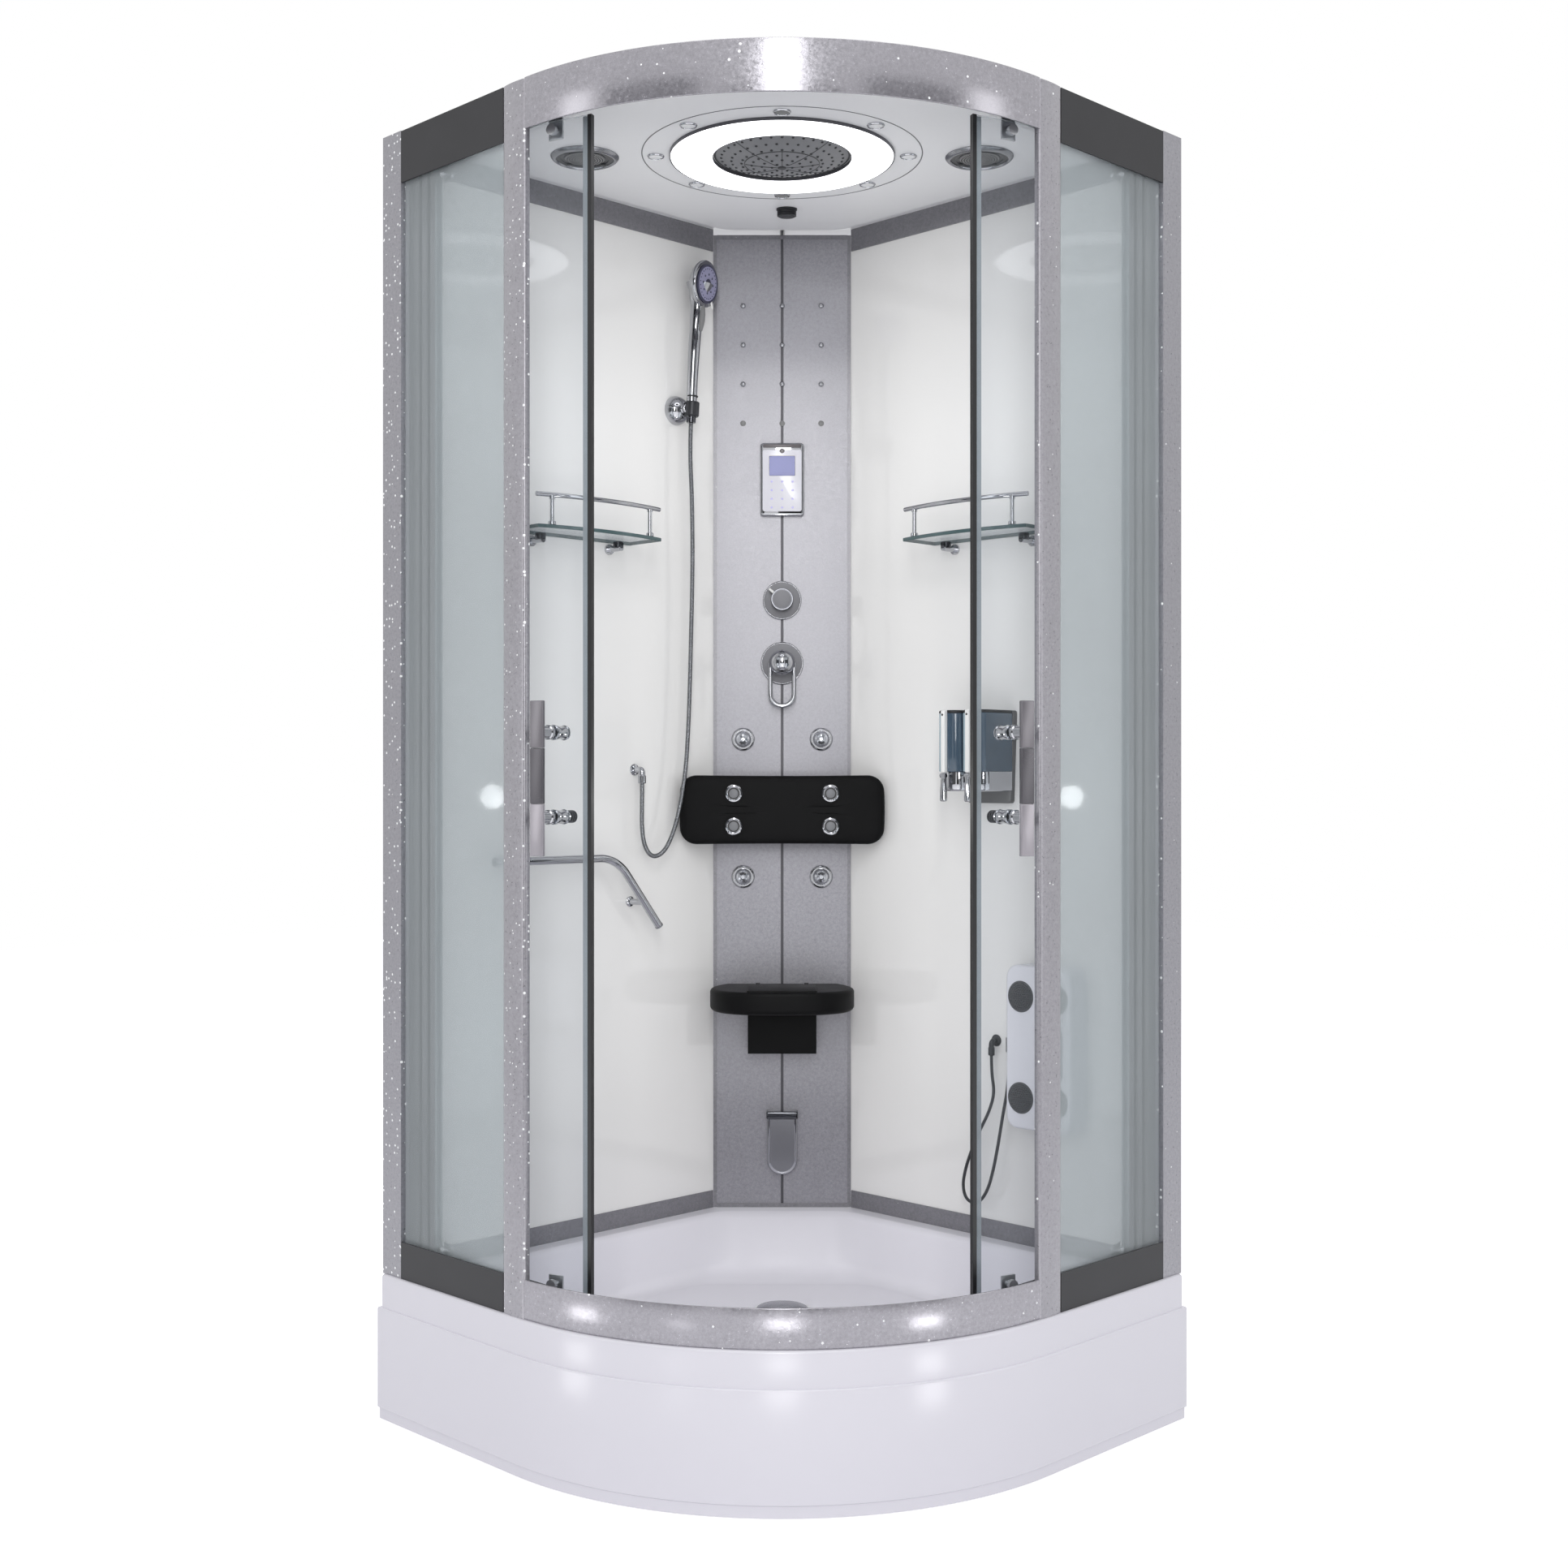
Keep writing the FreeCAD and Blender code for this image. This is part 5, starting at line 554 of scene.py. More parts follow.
dress("whitePanel", "back_panels")
dress("glitterTrim", "panel_trims")
dress("glitterPanel", "column_panel")
dress("glitterPost", "wall_posts")
dress("trackMetal", "door_tracks", "door_rollers_left", "door_rollers_right")
dress("paneGlass", "side_panes")
dress("steel", "tray_frame")
dress("zinc", "tray_feet")
dress("wastePlastic", "drain_waste")
dress("brass", "water_pipes")
dress("boilerCase", "steam_generator")
dress("railDark", "side_rails")
print("finishes made: %d" % len(looks))


cameraSetup = {"place": (2.1041, -2.1041, 1.0051), "lens": 43.43, "sensor": 36.0,
               "shiftX": 0.0012, "shiftY": -0.00295}


def makeCamera(spec):
    data = bpy.data.cameras.new("photo_camera")
    data.lens, data.sensor_width, data.sensor_fit = spec["lens"], spec["sensor"], "HORIZONTAL"
    data.shift_x, data.shift_y = spec["shiftX"], spec["shiftY"]
    camera = addObject("photo_camera", data)
    camera.location = spec["place"]
    camera.rotation_euler = Vector((-1, 1, 0)).to_track_quat("-Z", "Y").to_euler()
    bpy.context.scene.camera = camera


lampSetup = {
    "front": {"place": (3.0, -3.0, 2.9), "target": (0, 0, 1.4), "size": (0.7, 3.4), "power": 72},
    "left": {"place": (-1.6, -4.0, 1.8), "target": (0, 0, 1.0), "size": (0.8, 2.6), "power": 14},
    "right": {"place": (4.0, 1.6, 1.8), "target": (0, 0, 1.0), "size": (0.8, 2.6), "power": 14},
    "above": {"place": (0.6, -0.6, 4.2), "target": (0, 0, 0), "size": (2.4, 2.4), "power": 34},
    "behind": {"place": (-3.0, 3.0, 2.6), "target": (0, 0, 1.0), "size": (2.4, 2.4), "power": 30},
    "floorLeft": {"place": (-0.248, -1.076, 0.03), "target": (0.031, -0.434, 0.25),
                  "size": (0.16, 0.16), "power": 0.35, "diffuse": False},
    "floorWeak": {"place": (0.33, -1.13, 0.03), "target": (0.1, -0.55, 0.25), "size": (0.14, 0.12),
                  "power": 0.07, "diffuse": False},
    "floorMiddle": {"place": (0.93, -0.93, 0.03), "target": (0.3, -0.3, 0.25), "size": (0.2, 0.2),
                    "power": 0.7, "diffuse": False},
    "floorRight": {"place": (1.104, -0.079, 0.03), "target": (0.5, 0.0, 0.25), "size": (0.16, 0.16),
                   "power": 0.45, "diffuse": False},
    "insideUp": {"place": (0.0, 0.0, 1.4), "target": (0.0, 0.0, 2.0), "size": (0.4, 0.4),
                 "power": 0.6, "glossy": False},
    "insideBack": {"place": (0.12, -0.12, 1.02), "target": (-0.45, 0.45, 1.0),
                   "size": (0.5, 1.6), "power": 1.8, "glossy": False},
}
insideLamp = {"place": (-0.033, 0.033, 0.972), "radius": 0.022, "power": 0.5}


def makeLamps():
    for name, spec in lampSetup.items():
        data = bpy.data.lights.new(name, "AREA")
        data.shape, data.size, data.size_y = "RECTANGLE", *spec["size"]
        data.energy = spec["power"]
        lamp = addObject(name, data)
        lamp.location = spec["place"]
        aim = Vector(spec["target"]) - Vector(spec["place"])
        lamp.rotation_euler = aim.to_track_quat("-Z", "Y").to_euler()
        lamp.visible_camera = False
        lamp.visible_diffuse = spec.get("diffuse", True)
        lamp.visible_glossy = spec.get("glossy", True)
    data = bpy.data.lights.new("inside", "POINT")
    data.energy, data.shadow_soft_size = insideLamp["power"], insideLamp["radius"]
    lamp = addObject("inside", data)
    lamp.location = insideLamp["place"]
    lamp.visible_camera = lamp.visible_diffuse = False


worldSetup = {"strength": 0.5, "colour": (250, 251, 255)}
floorSetup = {"size": 9.0, "drop": 0.0012, "colour": (240, 240, 242), "lift": 0.62}
flagSetup = [{"place": (3.4, -5.0, 1.2), "size": (1.5, 3.0), "shade": 20},
             {"place": (5.0, -3.4, 1.2), "size": (1.5, 3.0), "shade": 20},
             {"place": (0.4, -6.4, 1.6), "size": (3.4, 4.0), "shade": 120},
             {"place": (6.4, -0.4, 1.6), "size": (3.4, 4.0), "shade": 120}]


def seenRays(tree):
    # 1 for rays from the camera, from glossy surfaces and through glass
    shown = [tree.add("ShaderNodeLightPath", output=index) for index in (0, 3, 6)]
    return tree.add("ShaderNodeMath", {"operation": "ADD", "use_clamp": True},
                    {0: shown[0] + shown[1], 1: shown[2]})


def addSheet(name, wide, tall, place, look):
    # a flat rectangle of the stage
    mesh = bpy.data.meshes.new(name)
    corners = ((-wide, -tall, 0), (wide, -tall, 0), (wide, tall, 0), (-wide, tall, 0))
    mesh.from_pydata([tuple(place @ Vector(corner)) for corner in corners], [], [(0, 1, 2, 3)])
    mesh.materials.append(look)
    sheet = addObject(name, mesh)
    return sheet


def makeWorld():
    world = bpy.data.worlds.new("studio")
    bpy.context.scene.world = world
    world.use_nodes = True
    tree = Tree(world.node_tree)
    seen = seenRays(tree)
    background = world.node_tree.nodes["Background"]
    strength = seen * (1 - worldSetup["strength"]) + worldSetup["strength"]
    colour = tree.mixColours(seen, colourOf(*worldSetup["colour"]), white)
    tree.tree.links.new(colour.socket, background.inputs["Color"])
    tree.tree.links.new(strength.socket, background.inputs["Strength"])


def makeStage():
    floorLook, tree, shader = newFinish("floor_pale")
    seen = seenRays(tree)
    feed(tree, shader, {"Base Color": colourOf(*floorSetup["colour"]), "Roughness": 0.9,
                        "Specular IOR Level": 0.0,
                        "Emission Color": tree.mixColours(seen, black, white),
                        "Emission Strength": floorSetup["lift"]})
    addSheet("floor", floorSetup["size"], floorSetup["size"],
             Matrix.Translation((0, 0, -floorSetup["drop"])), floorLook)
    for number, spec in enumerate(flagSetup, start=1):
        flagLook, tree, shader = newFinish("flag_shade_%d" % number)
        feed(tree, shader, {"Base Color": colourOf(*[spec["shade"]] * 3), "Roughness": 0.9})
        wide, tall = spec["size"]
        turn = Vector(spec["place"]).to_track_quat("Z", "Y").to_matrix().to_4x4()
        flag = addSheet("flag_%d" % number, wide / 2, tall / 2,
                        Matrix.Translation(spec["place"]) @ turn, flagLook)
        flag.visible_camera = flag.visible_diffuse = flag.visible_shadow = False


makeCamera(cameraSetup)
makeLamps()
makeWorld()
makeStage()
print("camera, lamps and stage made")


hoses = {
    "shower": {"radius": 0.004, "rib": 0.0019, "proud": 0.0005, "length": 0.931, "sides": 14, "route": [
        (-0.388019, 0.158944, 1.639002), (-0.388877, 0.156415, 1.594081), (-0.384, 0.158, 1.5),
        (-0.386, 0.161, 1.38), (-0.388, 0.159, 1.26), (-0.388, 0.155, 1.14), (-0.387, 0.147, 1.03),
        (-0.388, 0.134, 0.96), (-0.389, 0.117, 0.908), (-0.390, 0.096, 0.876), (-0.392, 0.071, 0.868),
        (-0.395, 0.055, 0.889), (-0.397, 0.051, 0.925), (-0.398, 0.053, 0.963), (-0.398, 0.053, 0.998)]},
    "massager": {"radius": 0.003, "rib": 0.0026, "proud": 0.0007, "length": 0.557, "sides": 12, "route": [
        (0.095, 0.405, 0.539), (0.095, 0.405, 0.510), (0.105, 0.401, 0.478), (0.097, 0.397, 0.446),
        (0.080, 0.394, 0.414), (0.064, 0.392, 0.380), (0.050, 0.391, 0.344), (0.044, 0.390, 0.312),
        (0.054, 0.390, 0.289), (0.078, 0.391, 0.288), (0.097, 0.392, 0.312), (0.109, 0.393, 0.350),
        (0.118, 0.395, 0.396), (0.127, 0.396, 0.446), (0.1385, 0.397, 0.5), (0.1385, 0.397, 0.55)]},
}


def smoothRoute(name, points, spacing):
    # points on the smooth line that the route's points steer, evenly spaced
    data = bpy.data.curves.new(name, "CURVE")
    data.dimensions = "3D"
    spline = data.splines.new("NURBS")
    spline.points.add(len(points) - 1)
    for point, place in zip(spline.points, points):
        point.co = (*place, 1.0)
    spline.order_u = 3
    spline.use_endpoint_u = True
    spline.resolution_u = 24
    holder = addObject(name, data)
    bpy.context.view_layer.update()
    depsgraph = bpy.context.evaluated_depsgraph_get()
    line = bpy.data.meshes.new_from_object(holder.evaluated_get(depsgraph))
    dense = [vertex.co.copy() for vertex in line.vertices]
    bpy.data.objects.remove(holder)
    bpy.data.curves.remove(data)
    bpy.data.meshes.remove(line)
    walked, even, left = dense[0], [dense[0].copy()], spacing
    for target in dense[1:]:
        span = (target - walked).length
        while span >= left and span > 0:
            walked = walked.lerp(target, left / span)
            even.append(walked.copy())
            span, left = (target - walked).length, spacing
        left -= span
        walked = target
    if (even[-1] - dense[-1]).length > spacing * 0.2:
        even.append(dense[-1].copy())
    else:
        even[-1] = dense[-1].copy()
    return even


def makeHoseLook(name, dark, pale, rib, metallic, roughness):
    # ribs are in the mesh; the finish paints shade into their grooves, found by the way along the hose
    material, tree, shader = newFinish(name)
    along = tree.add("ShaderNodeAttribute", {"attribute_name": "along"}, None, 2)
    turns = tree.maths("FRACT", along * (1 / rib))
    # painted shade in the grooves
    groove = tree.maths("ABSOLUTE", turns - 0.5) * 2
    wear = noise(tree, 160.0)
    share = groove * 0.75 + wear * 0.25
    feed(tree, shader, {"Base Color": tree.mixColours(share, colourOf(*dark), colourOf(*pale)),
                        "Roughness": roughness + wear * 0.12, "Metallic": metallic})
    return material


def makeHose(name, spec, look):
    parts = 4
    path = smoothRoute(name + "_line", spec["route"], spec["rib"] / parts)
    mid = spec["radius"] - spec["proud"]

    def ribRadius(share):
        step = share * (len(path) - 1)
        return mid + spec["proud"] * (0.5 + 0.5 * math.cos(math.tau * (step / parts + 0.5)))

    shape = Shape(Matrix.Identity(4))
    shape.addTube(path, ribRadius, look, spec["sides"])
    piece = shape.build(name, 80)
    along = piece.data.attributes.new("along", "FLOAT", "POINT")
    rings = [min(index // spec["sides"], len(path) - 1)
             for index in range(len(piece.data.vertices))]
    along.data.foreach_set("value", [ring * spec["rib"] / parts for ring in rings])
    return piece, path


looks["hoseMetal"] = makeHoseLook("hose_metal", (44, 45, 48), (168, 170, 174),
                                  hoses["shower"]["rib"], 1.0, 0.2)
looks["hoseGrey"] = makeHoseLook("hose_grey", (30, 31, 33), (88, 90, 94),
                                 hoses["massager"]["rib"], 0.5, 0.35)
showerHose, showerPath = makeHose("shower_hose_ribbed", hoses["shower"], looks["hoseMetal"])
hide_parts("shower_hose")
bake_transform(showerHose)
massagerHose, massagerPath = makeHose("massager_hose_ribbed", hoses["massager"], looks["hoseGrey"])
seat(massagerHose, "cabin", ["massager_hose"])
print("hoses made")


tray = {"side": 900, "radius": 550, "rim": 227, "step": 175.5, "plinth": 17.5, "inset": 4,
        "wall": 5, "ledge": 66, "front": 78, "slope": 40, "floor": 125, "back": 293,
        "floorBack": 424,
        "drainOut": 470, "drainRadius": 38, "drainCover": 42, "fall": 1.2, "rimRound": 4,
        "edgeRound": 9, "footRound": 26, "points": 360, "apronIn": 4, "apronSoft": 2.6,
        "lipIn": 18}
trayParts = (4, 4, 72, 4)
basinParts = (5, 5, 60, 5, 5)
rootTwo = math.sqrt(2)


def roomPlace(loop, height):
    half = cabin["half"]
    return [(a - half, half - b, height) for a, b in loop]


def trayOutline(inset, back=0.0):
    side = tray["side"] - inset
    corners = [(back, back), (back, side), (side, side), (side, back)]
    small = max(3 - back, 0.5)
    return roundLoop(corners, [small, small, tray["radius"] - inset, small], trayParts)


def basinOutline(share, grow=0.0):
    # the basin's outline, 0 at its rim and 1 at its floor
    ledge = tray["ledge"] + tray["slope"] * share - grow
    side = tray["side"] - tray["front"] - tray["slope"] * share + grow
    chamfer = tray["back"] + (tray["floorBack"] - tray["back"]) * share - grow * rootTwo
    turn = chamfer - ledge
    corners = [(ledge, turn), (ledge, side), (side, side), (side, ledge), (turn, ledge)]
    front = tray["radius"] - tray["front"] - tray["slope"] * share + grow
    return roundLoop(corners, [70, 46, front, 46, 70], basinParts)


def rowsTo(loop, count):
    # the loop with evenly spaced points, starting where it starts
    points = [Vector(p) for p in loop] + [Vector(loop[0])]
    lengths = [0.0]
    for a, b in zip(points, points[1:]):
        lengths.append(lengths[-1] + (b - a).length)
    even, index = [], 0
    for step in range(count):
        target = lengths[-1] * step / count
        while lengths[index + 1] < target:
            index += 1
        span = max(lengths[index + 1] - lengths[index], 1e-9)
        share = (target - lengths[index]) / span
        even.append(tuple(points[index].lerp(points[index + 1], share)))
    return even


def centredLoop(loop, count, centre):
    # the loop's points at even angles about a centre, so that unlike loops can be joined
    points = [Vector(p) - Vector(centre) for p in loop]
    rays = []
    for step in range(count):
        angle = math.tau * step / count
        ray = Vector((math.cos(angle), math.sin(angle)))
        best = None
        for a, b in zip(points, points[1:] + points[:1]):
            edge = b - a
            cross = ray.x * edge.y - ray.y * edge.x
            if abs(cross) < 1e-9:
                continue
            reach = (a.x * edge.y - a.y * edge.x) / cross
            share = (a.x * ray.y - a.y * ray.x) / cross
            if reach > 0 and -1e-6 <= share <= 1 + 1e-6 and (best is None or reach > best):
                best = reach
        rays.append(tuple(Vector(centre) + ray * best))
    return rays


def makeTray():
    drain = tray["drainOut"] / rootTwo
    wall, rim, floor, fall = tray["wall"], tray["rim"], tray["floor"], tray["fall"]
    rings = []

    def ring(loop, height):
        rings.append(roomPlace(centredLoop(loop, tray["points"], (drain, drain)), height))

    ring(trayOutline(tray["inset"]), tray["step"])
    for angle in quarterTurn(4):
        ring(trayOutline(tray["inset"] + tray["rimRound"] * (1 - math.cos(angle))),
             rim - tray["rimRound"] * (1 - math.sin(angle)))
    # the rim turns down into the basin, and the basin's wall turns into its floor
    top, foot = tray["edgeRound"], tray["footRound"]
    depth = rim - floor
    for angle in quarterTurn(6):
        drop = top * (1 - math.cos(angle))
        ring(basinOutline(drop / depth, grow=top * (1 - math.sin(angle)) * 0.9), rim - drop)
    for angle in quarterTurn(6):
        lift = foot * (1 - math.sin(angle))
        share = 1 - lift / depth
        ring(basinOutline(share, grow=-foot * (1 - math.cos(angle)) * 0.55), floor + lift)
    # the fall to the drain, the drain's seat and its hole
    for wider, drop in ((30, fall * 0.4), (9, fall), (8, fall + 1.0), (0, fall + 1.2), (0, wall)):
        ring(circle(tray["drainRadius"] + wider, 96, drain, drain), floor - drop)
    ring(basinOutline(1.0, grow=-10), floor - wall)
    ring(basinOutline(0.75, grow=wall), floor - wall + depth * 0.25)
    ring(basinOutline(0.0, grow=wall), rim - wall)
    ring(trayOutline(tray["inset"] + wall, wall), rim - wall)
    ring(trayOutline(tray["inset"] + wall, wall), tray["step"])
    shape = Shape()
    shape.addRings(rings, looks["trayAcrylic"], wrap=True)
    seat(shape.build("tray_moulded", 40), "cabin", ["tray_shell"])


def frontStations():
    # the tray's front edge from wall to wall: which stretch, then the normal's angle
    arc = [("arc", -90.0 + 90.0 * i / 72) for i in range(73)]
    return [("left", -90.0)] + arc + [("right", 0.0)]


def frontPoint(station, inset, height):
    kind, angle = station
    half, turn = cabin["half"], math.radians(angle)
    if kind == "left":
        return (-half, -half + inset, height)
    if kind == "right":
        return (half - inset, half, height)
    radius = cabin["trayRadius"] - inset
    x, y = cabin["arcCentre"]
    return (x + radius * math.cos(turn), y + radius * math.sin(turn), height)


def makeApron():
    # the skirt's section as (inset, height): plinth, set-back foot, rounded face and top lip
    step, plinth, wall, soft = tray["step"], tray["plinth"], tray["apronIn"], tray["apronSoft"]
    section = [(wall * 2, 0), (wall, 0), (wall, plinth - 1)]
    section += edgeLevels(plinth, step, soft, soft, 4)
    section += [(tray["lipIn"], step), (tray["lipIn"], step - wall), (wall + 1, step - wall),
                (wall + 1, plinth + wall), (wall * 2, plinth + wall)]
    rings = [[frontPoint(station, inset, height) for inset, height in section]
             for station in frontStations()]
    seat(Shape().addRings(rings, looks["trayAcrylic"]).build("apron_moulded"), "cabin",
         ["tray_apron"])


def makeDrainCover():
    drain, radius, top = tray["drainOut"] / rootTwo, tray["drainCover"], tray["floor"] + 1.5
    x, y = (drain - cabin["half"]) * millimetre, (cabin["half"] - drain) * millimetre
    shape = Shape(Matrix.Translation((x, y, 0)) @ roomFrame)
    shape.addTurned([(0, top), (radius, top), (radius, top + 1.2), (radius - 2, top + 2.2),
                     (radius - 17, top + 5.1), (0, top + 6)], looks["satinChrome"], 64)
    seat(shape.build("drain_cover_domed"), "cabin", ["drain_cover"])


makeTray()
makeApron()
makeDrainCover()
print("tray made")


rails = {"outer": 540, "depth": 58, "web": 3, "postReach": 15, "soft": 1.2,
         "top": {"low": 1943, "high": 2017, "lip": 1972},
         "bottom": {"low": 227, "high": 284, "lip": 262}}


def softSection(corners, radius, parts=3):
    return roundLoop(corners, [radius] * len(corners), parts)


def makeCurvedRail(name, node, spec, atTop, look):
    # the rail's closed section as (radius, height), run round the arc between the door posts
    outer, inner, web = rails["outer"], rails["outer"] - rails["depth"], rails["web"]
    low, high, lip = spec["low"], spec["high"], spec["lip"]
    if atTop:
        corners = [(inner, lip), (inner + web, lip), (inner + web, high - web),
                   (outer - web, high - web), (outer - web, low), (outer, low), (outer, high),
                   (inner, high)]
    else:
        corners = [(inner, low), (outer, low), (outer, high), (outer - web, high),
                   (outer - web, low + web), (inner + web, low + web), (inner + web, lip),
                   (inner, lip)]
    section = softSection(corners, rails["soft"])
    x, y = cabin["arcCentre"]
    rings, steps = [], 96
    for step in range(steps + 1):
        ring = []
        for radius, height in section:
            clear = math.asin(rails["postReach"] / radius)
            angle = -clear - (math.pi / 2 - 2 * clear) * step / steps
            ring.append((x + radius * math.cos(angle), y + radius * math.sin(angle), height))
        rings.append(ring)
    seat(Shape().addRings(rings, look).build(name), "cabin", [node])


posts = {"side": 890, "start": 314, "width": 51, "thick": 10, "bulge": 2, "low": 227, "top": 2016}


def makeDoorPosts():
    spec, shapes = posts, Shape()
    base, half, top = spec["side"] - cabin["half"], spec["width"] / 2, spec["top"]
    middle = cabin["half"] - spec["start"] - half
    crown = [(base + spec["bulge"] * (1 - (2 * i / 8 - 1) ** 2),
              middle - half + spec["width"] * i / 8) for i in range(1, 8)]
    corners = [(base - spec["thick"], middle - half), (base, middle - half)] + crown
    corners += [(base, middle + half), (base - spec["thick"], middle + half)]
    radii = [1.0, 3.5] + [0.3] * 7 + [3.5, 1.0]
    levels = [(0, spec["low"]), (0, top - 1.5), (0.5, top - 0.5), (1.5, top)]
    for flip in (False, True):
        shapes.frame = mirrorFrame(roomFrame) if flip else roomFrame
        shapes.addBlock(corners, radii, levels, looks["glitterProfile"], 3)
    seat(shapes.build("door_posts_crowned"), "cabin", ["door_posts"])


makeCurvedRail("top_rail_curved", "top_rail_front", rails["top"], True, looks["glitterRail"])
makeCurvedRail("bottom_rail_curved", "bottom_rail_front", rails["bottom"], False,
               looks["glitterRail"])
makeDoorPosts()

door = {"hub": (-82.37, 198.79), "radius": 506, "thick": 6, "low": 256, "top": 1956,
        "lead": -22.43, "tail": 18.68, "handle": -15.18, "sealWidth": 6, "sealThick": 9,
        "plateIn": 536, "plateThick": 6, "plateWidth": 23, "plateLow": 895, "plateHigh": 1118,
        "zones": (970, 1050), "standoffs": (1073, 950.5), "inner": 31,
        "knob": 9.5, "knobLong": 19}


def doorSector(shape, inner, outer, start, end, look, soft=0.8, steps=64):
    # part of an upright ring about the door's hub, with softened edges
    low, high = door["low"], door["top"]
    section = softSection([(inner, low), (outer, low), (outer, high), (inner, high)], soft, 2)
    x, y = door["hub"]
    rings = []
    for step in range(steps + 1):
        angle = math.radians(start + (end - start) * step / steps)
        rings.append([(x + r * math.cos(angle), y + r * math.sin(angle), z) for r, z in section])
    shape.addRings(rings, look)


def radialFrame(angle, height):
    # z points away from the door's hub, y is up
    turn = math.radians(angle)
    out, up = Vector((math.cos(turn), math.sin(turn), 0)), Vector((0, 0, 1))
    basis = Matrix((up.cross(out), up, out)).transposed().to_4x4()
    place = Matrix.Translation([value * millimetre for value in (*door["hub"], height)])
    return place @ basis @ roomFrame


def makeDoor(side):
    flip = mirrorFrame if side == "left" else (lambda matrix: matrix)
    radius, lead, tail = door["radius"], door["lead"], door["tail"]
    inner, outer = radius - door["thick"] / 2, radius + door["thick"] / 2
    glass = Shape(flip(roomFrame))
    doorSector(glass, inner, outer, lead, tail, looks["clearGlass"])
    seat(glass.build("door_glass_curved_" + side), "door_" + side, ["door_glass_" + side])

    seals = Shape(flip(roomFrame))
    strip = math.degrees(door["sealWidth"] / radius)
    sealIn, sealOut = radius - door["sealThick"] / 2, radius + door["sealThick"] / 2
    # the leading edge: a black magnet strip in front of a clear lip
    doorSector(seals, sealIn, sealOut, lead - strip, lead - strip * 0.02, looks["sealBlack"],
               0.8, 4)
    for start, wide in ((lead, 1.9), (tail - strip * 1.2, 1.1)):
        doorSector(seals, inner - 1.4, inner - 0.05, start, start + strip * wide,
                   looks["sealClear"], 0.3, 4)
    doorSector(seals, sealIn, sealOut, tail + 0.02, tail + strip, looks["sealClear"], 0.8, 4)
    seat(seals.build("door_seals_" + side + "_strips"), "door_" + side, ["door_seals_" + side])

    grip = Shape(flip(radialFrame(door["handle"], 0)))
    wide, plateIn = door["plateWidth"], door["plateIn"]
    breaks = (door["plateLow"],) + door["zones"] + (door["plateHigh"],)
    for number, (low, high) in enumerate(zip(breaks, breaks[1:])):
        look = looks[("handleLow", "handleDark", "handleHigh")[number]]
        ease = 0.35 if number else 0
        grip.addBlock(rectangle(wide, high - low - ease, 0, (low + high) / 2), [1.2] * 4,
                      edgeLevels(plateIn, plateIn + door["plateThick"], 0.8, 1.4), look, 3)
    for height in door["standoffs"]:
        grip.frame = flip(radialFrame(door["handle"], height))
        grip.addTurned([(0, outer + 0.3), (9.4, outer + 0.3), (10.6, outer + 1.5),
                        (10.6, outer + 6), (9.2, outer + 8), (9.2, plateIn), (0, plateIn)],
                       looks["chrome"], 32)
        sleeveEnd = inner - door["inner"]
        grip.addTurned([(0, inner - 0.3), (9.6, inner - 0.3), (11, inner - 2), (11, inner - 8),
                        (9.8, inner - 10), (9.8, sleeveEnd + 5), (11, sleeveEnd + 3.5),
                        (10.6, sleeveEnd + 1), (8.6, sleeveEnd), (0, sleeveEnd)],
                       looks["chrome"], 32)
    # the lower stand-off ends in a ribbed knob
    profile, start = [(0, inner - door["inner"])], inner - door["inner"]
    ribs, knob = 4, door["knob"]
    for rib in range(ribs):
        near = start - door["knobLong"] * rib / ribs
        far = start - door["knobLong"] * (rib + 1) / ribs
        profile += [(knob * 0.72, near), (knob, near - 0.8), (knob, far + 1.6),
                    (knob * 0.72, far + 0.8)]
    profile.append((0, start - door["knobLong"]))
    grip.addTurned(profile, looks["darkChrome"], 32)
    seat(grip.build("door_handle_" + side + "_finished"), "door_" + side, ["door_handle_" + side])


looks["handleHigh"] = makeFinish("handle_high", (118, 115, 120), 0.24, 0.3, shade=0.05, bump=0.02)
looks["handleDark"] = makeFinish("handle_dark", (88, 86, 91), 0.26, 0.3, shade=0.06, bump=0.02)
looks["handleLow"] = makeFinish("handle_low", (160, 156, 162), 0.24, 0.3, shade=0.05, bump=0.02)
for side in ("right", "left"):
    makeDoor(side)
print("rails, posts and doors made")


ceiling = {"low": 1990, "edge": 2005, "top": 2010, "thick": 5, "lipSide": 832, "fit": 0.3,
           "ledge": 50, "back": 188, "frontGap": 12, "post": 50.3, "notch": 819.7,
           "softWidth": 34, "middle": 430, "middleRadius": 30, "points": 420}


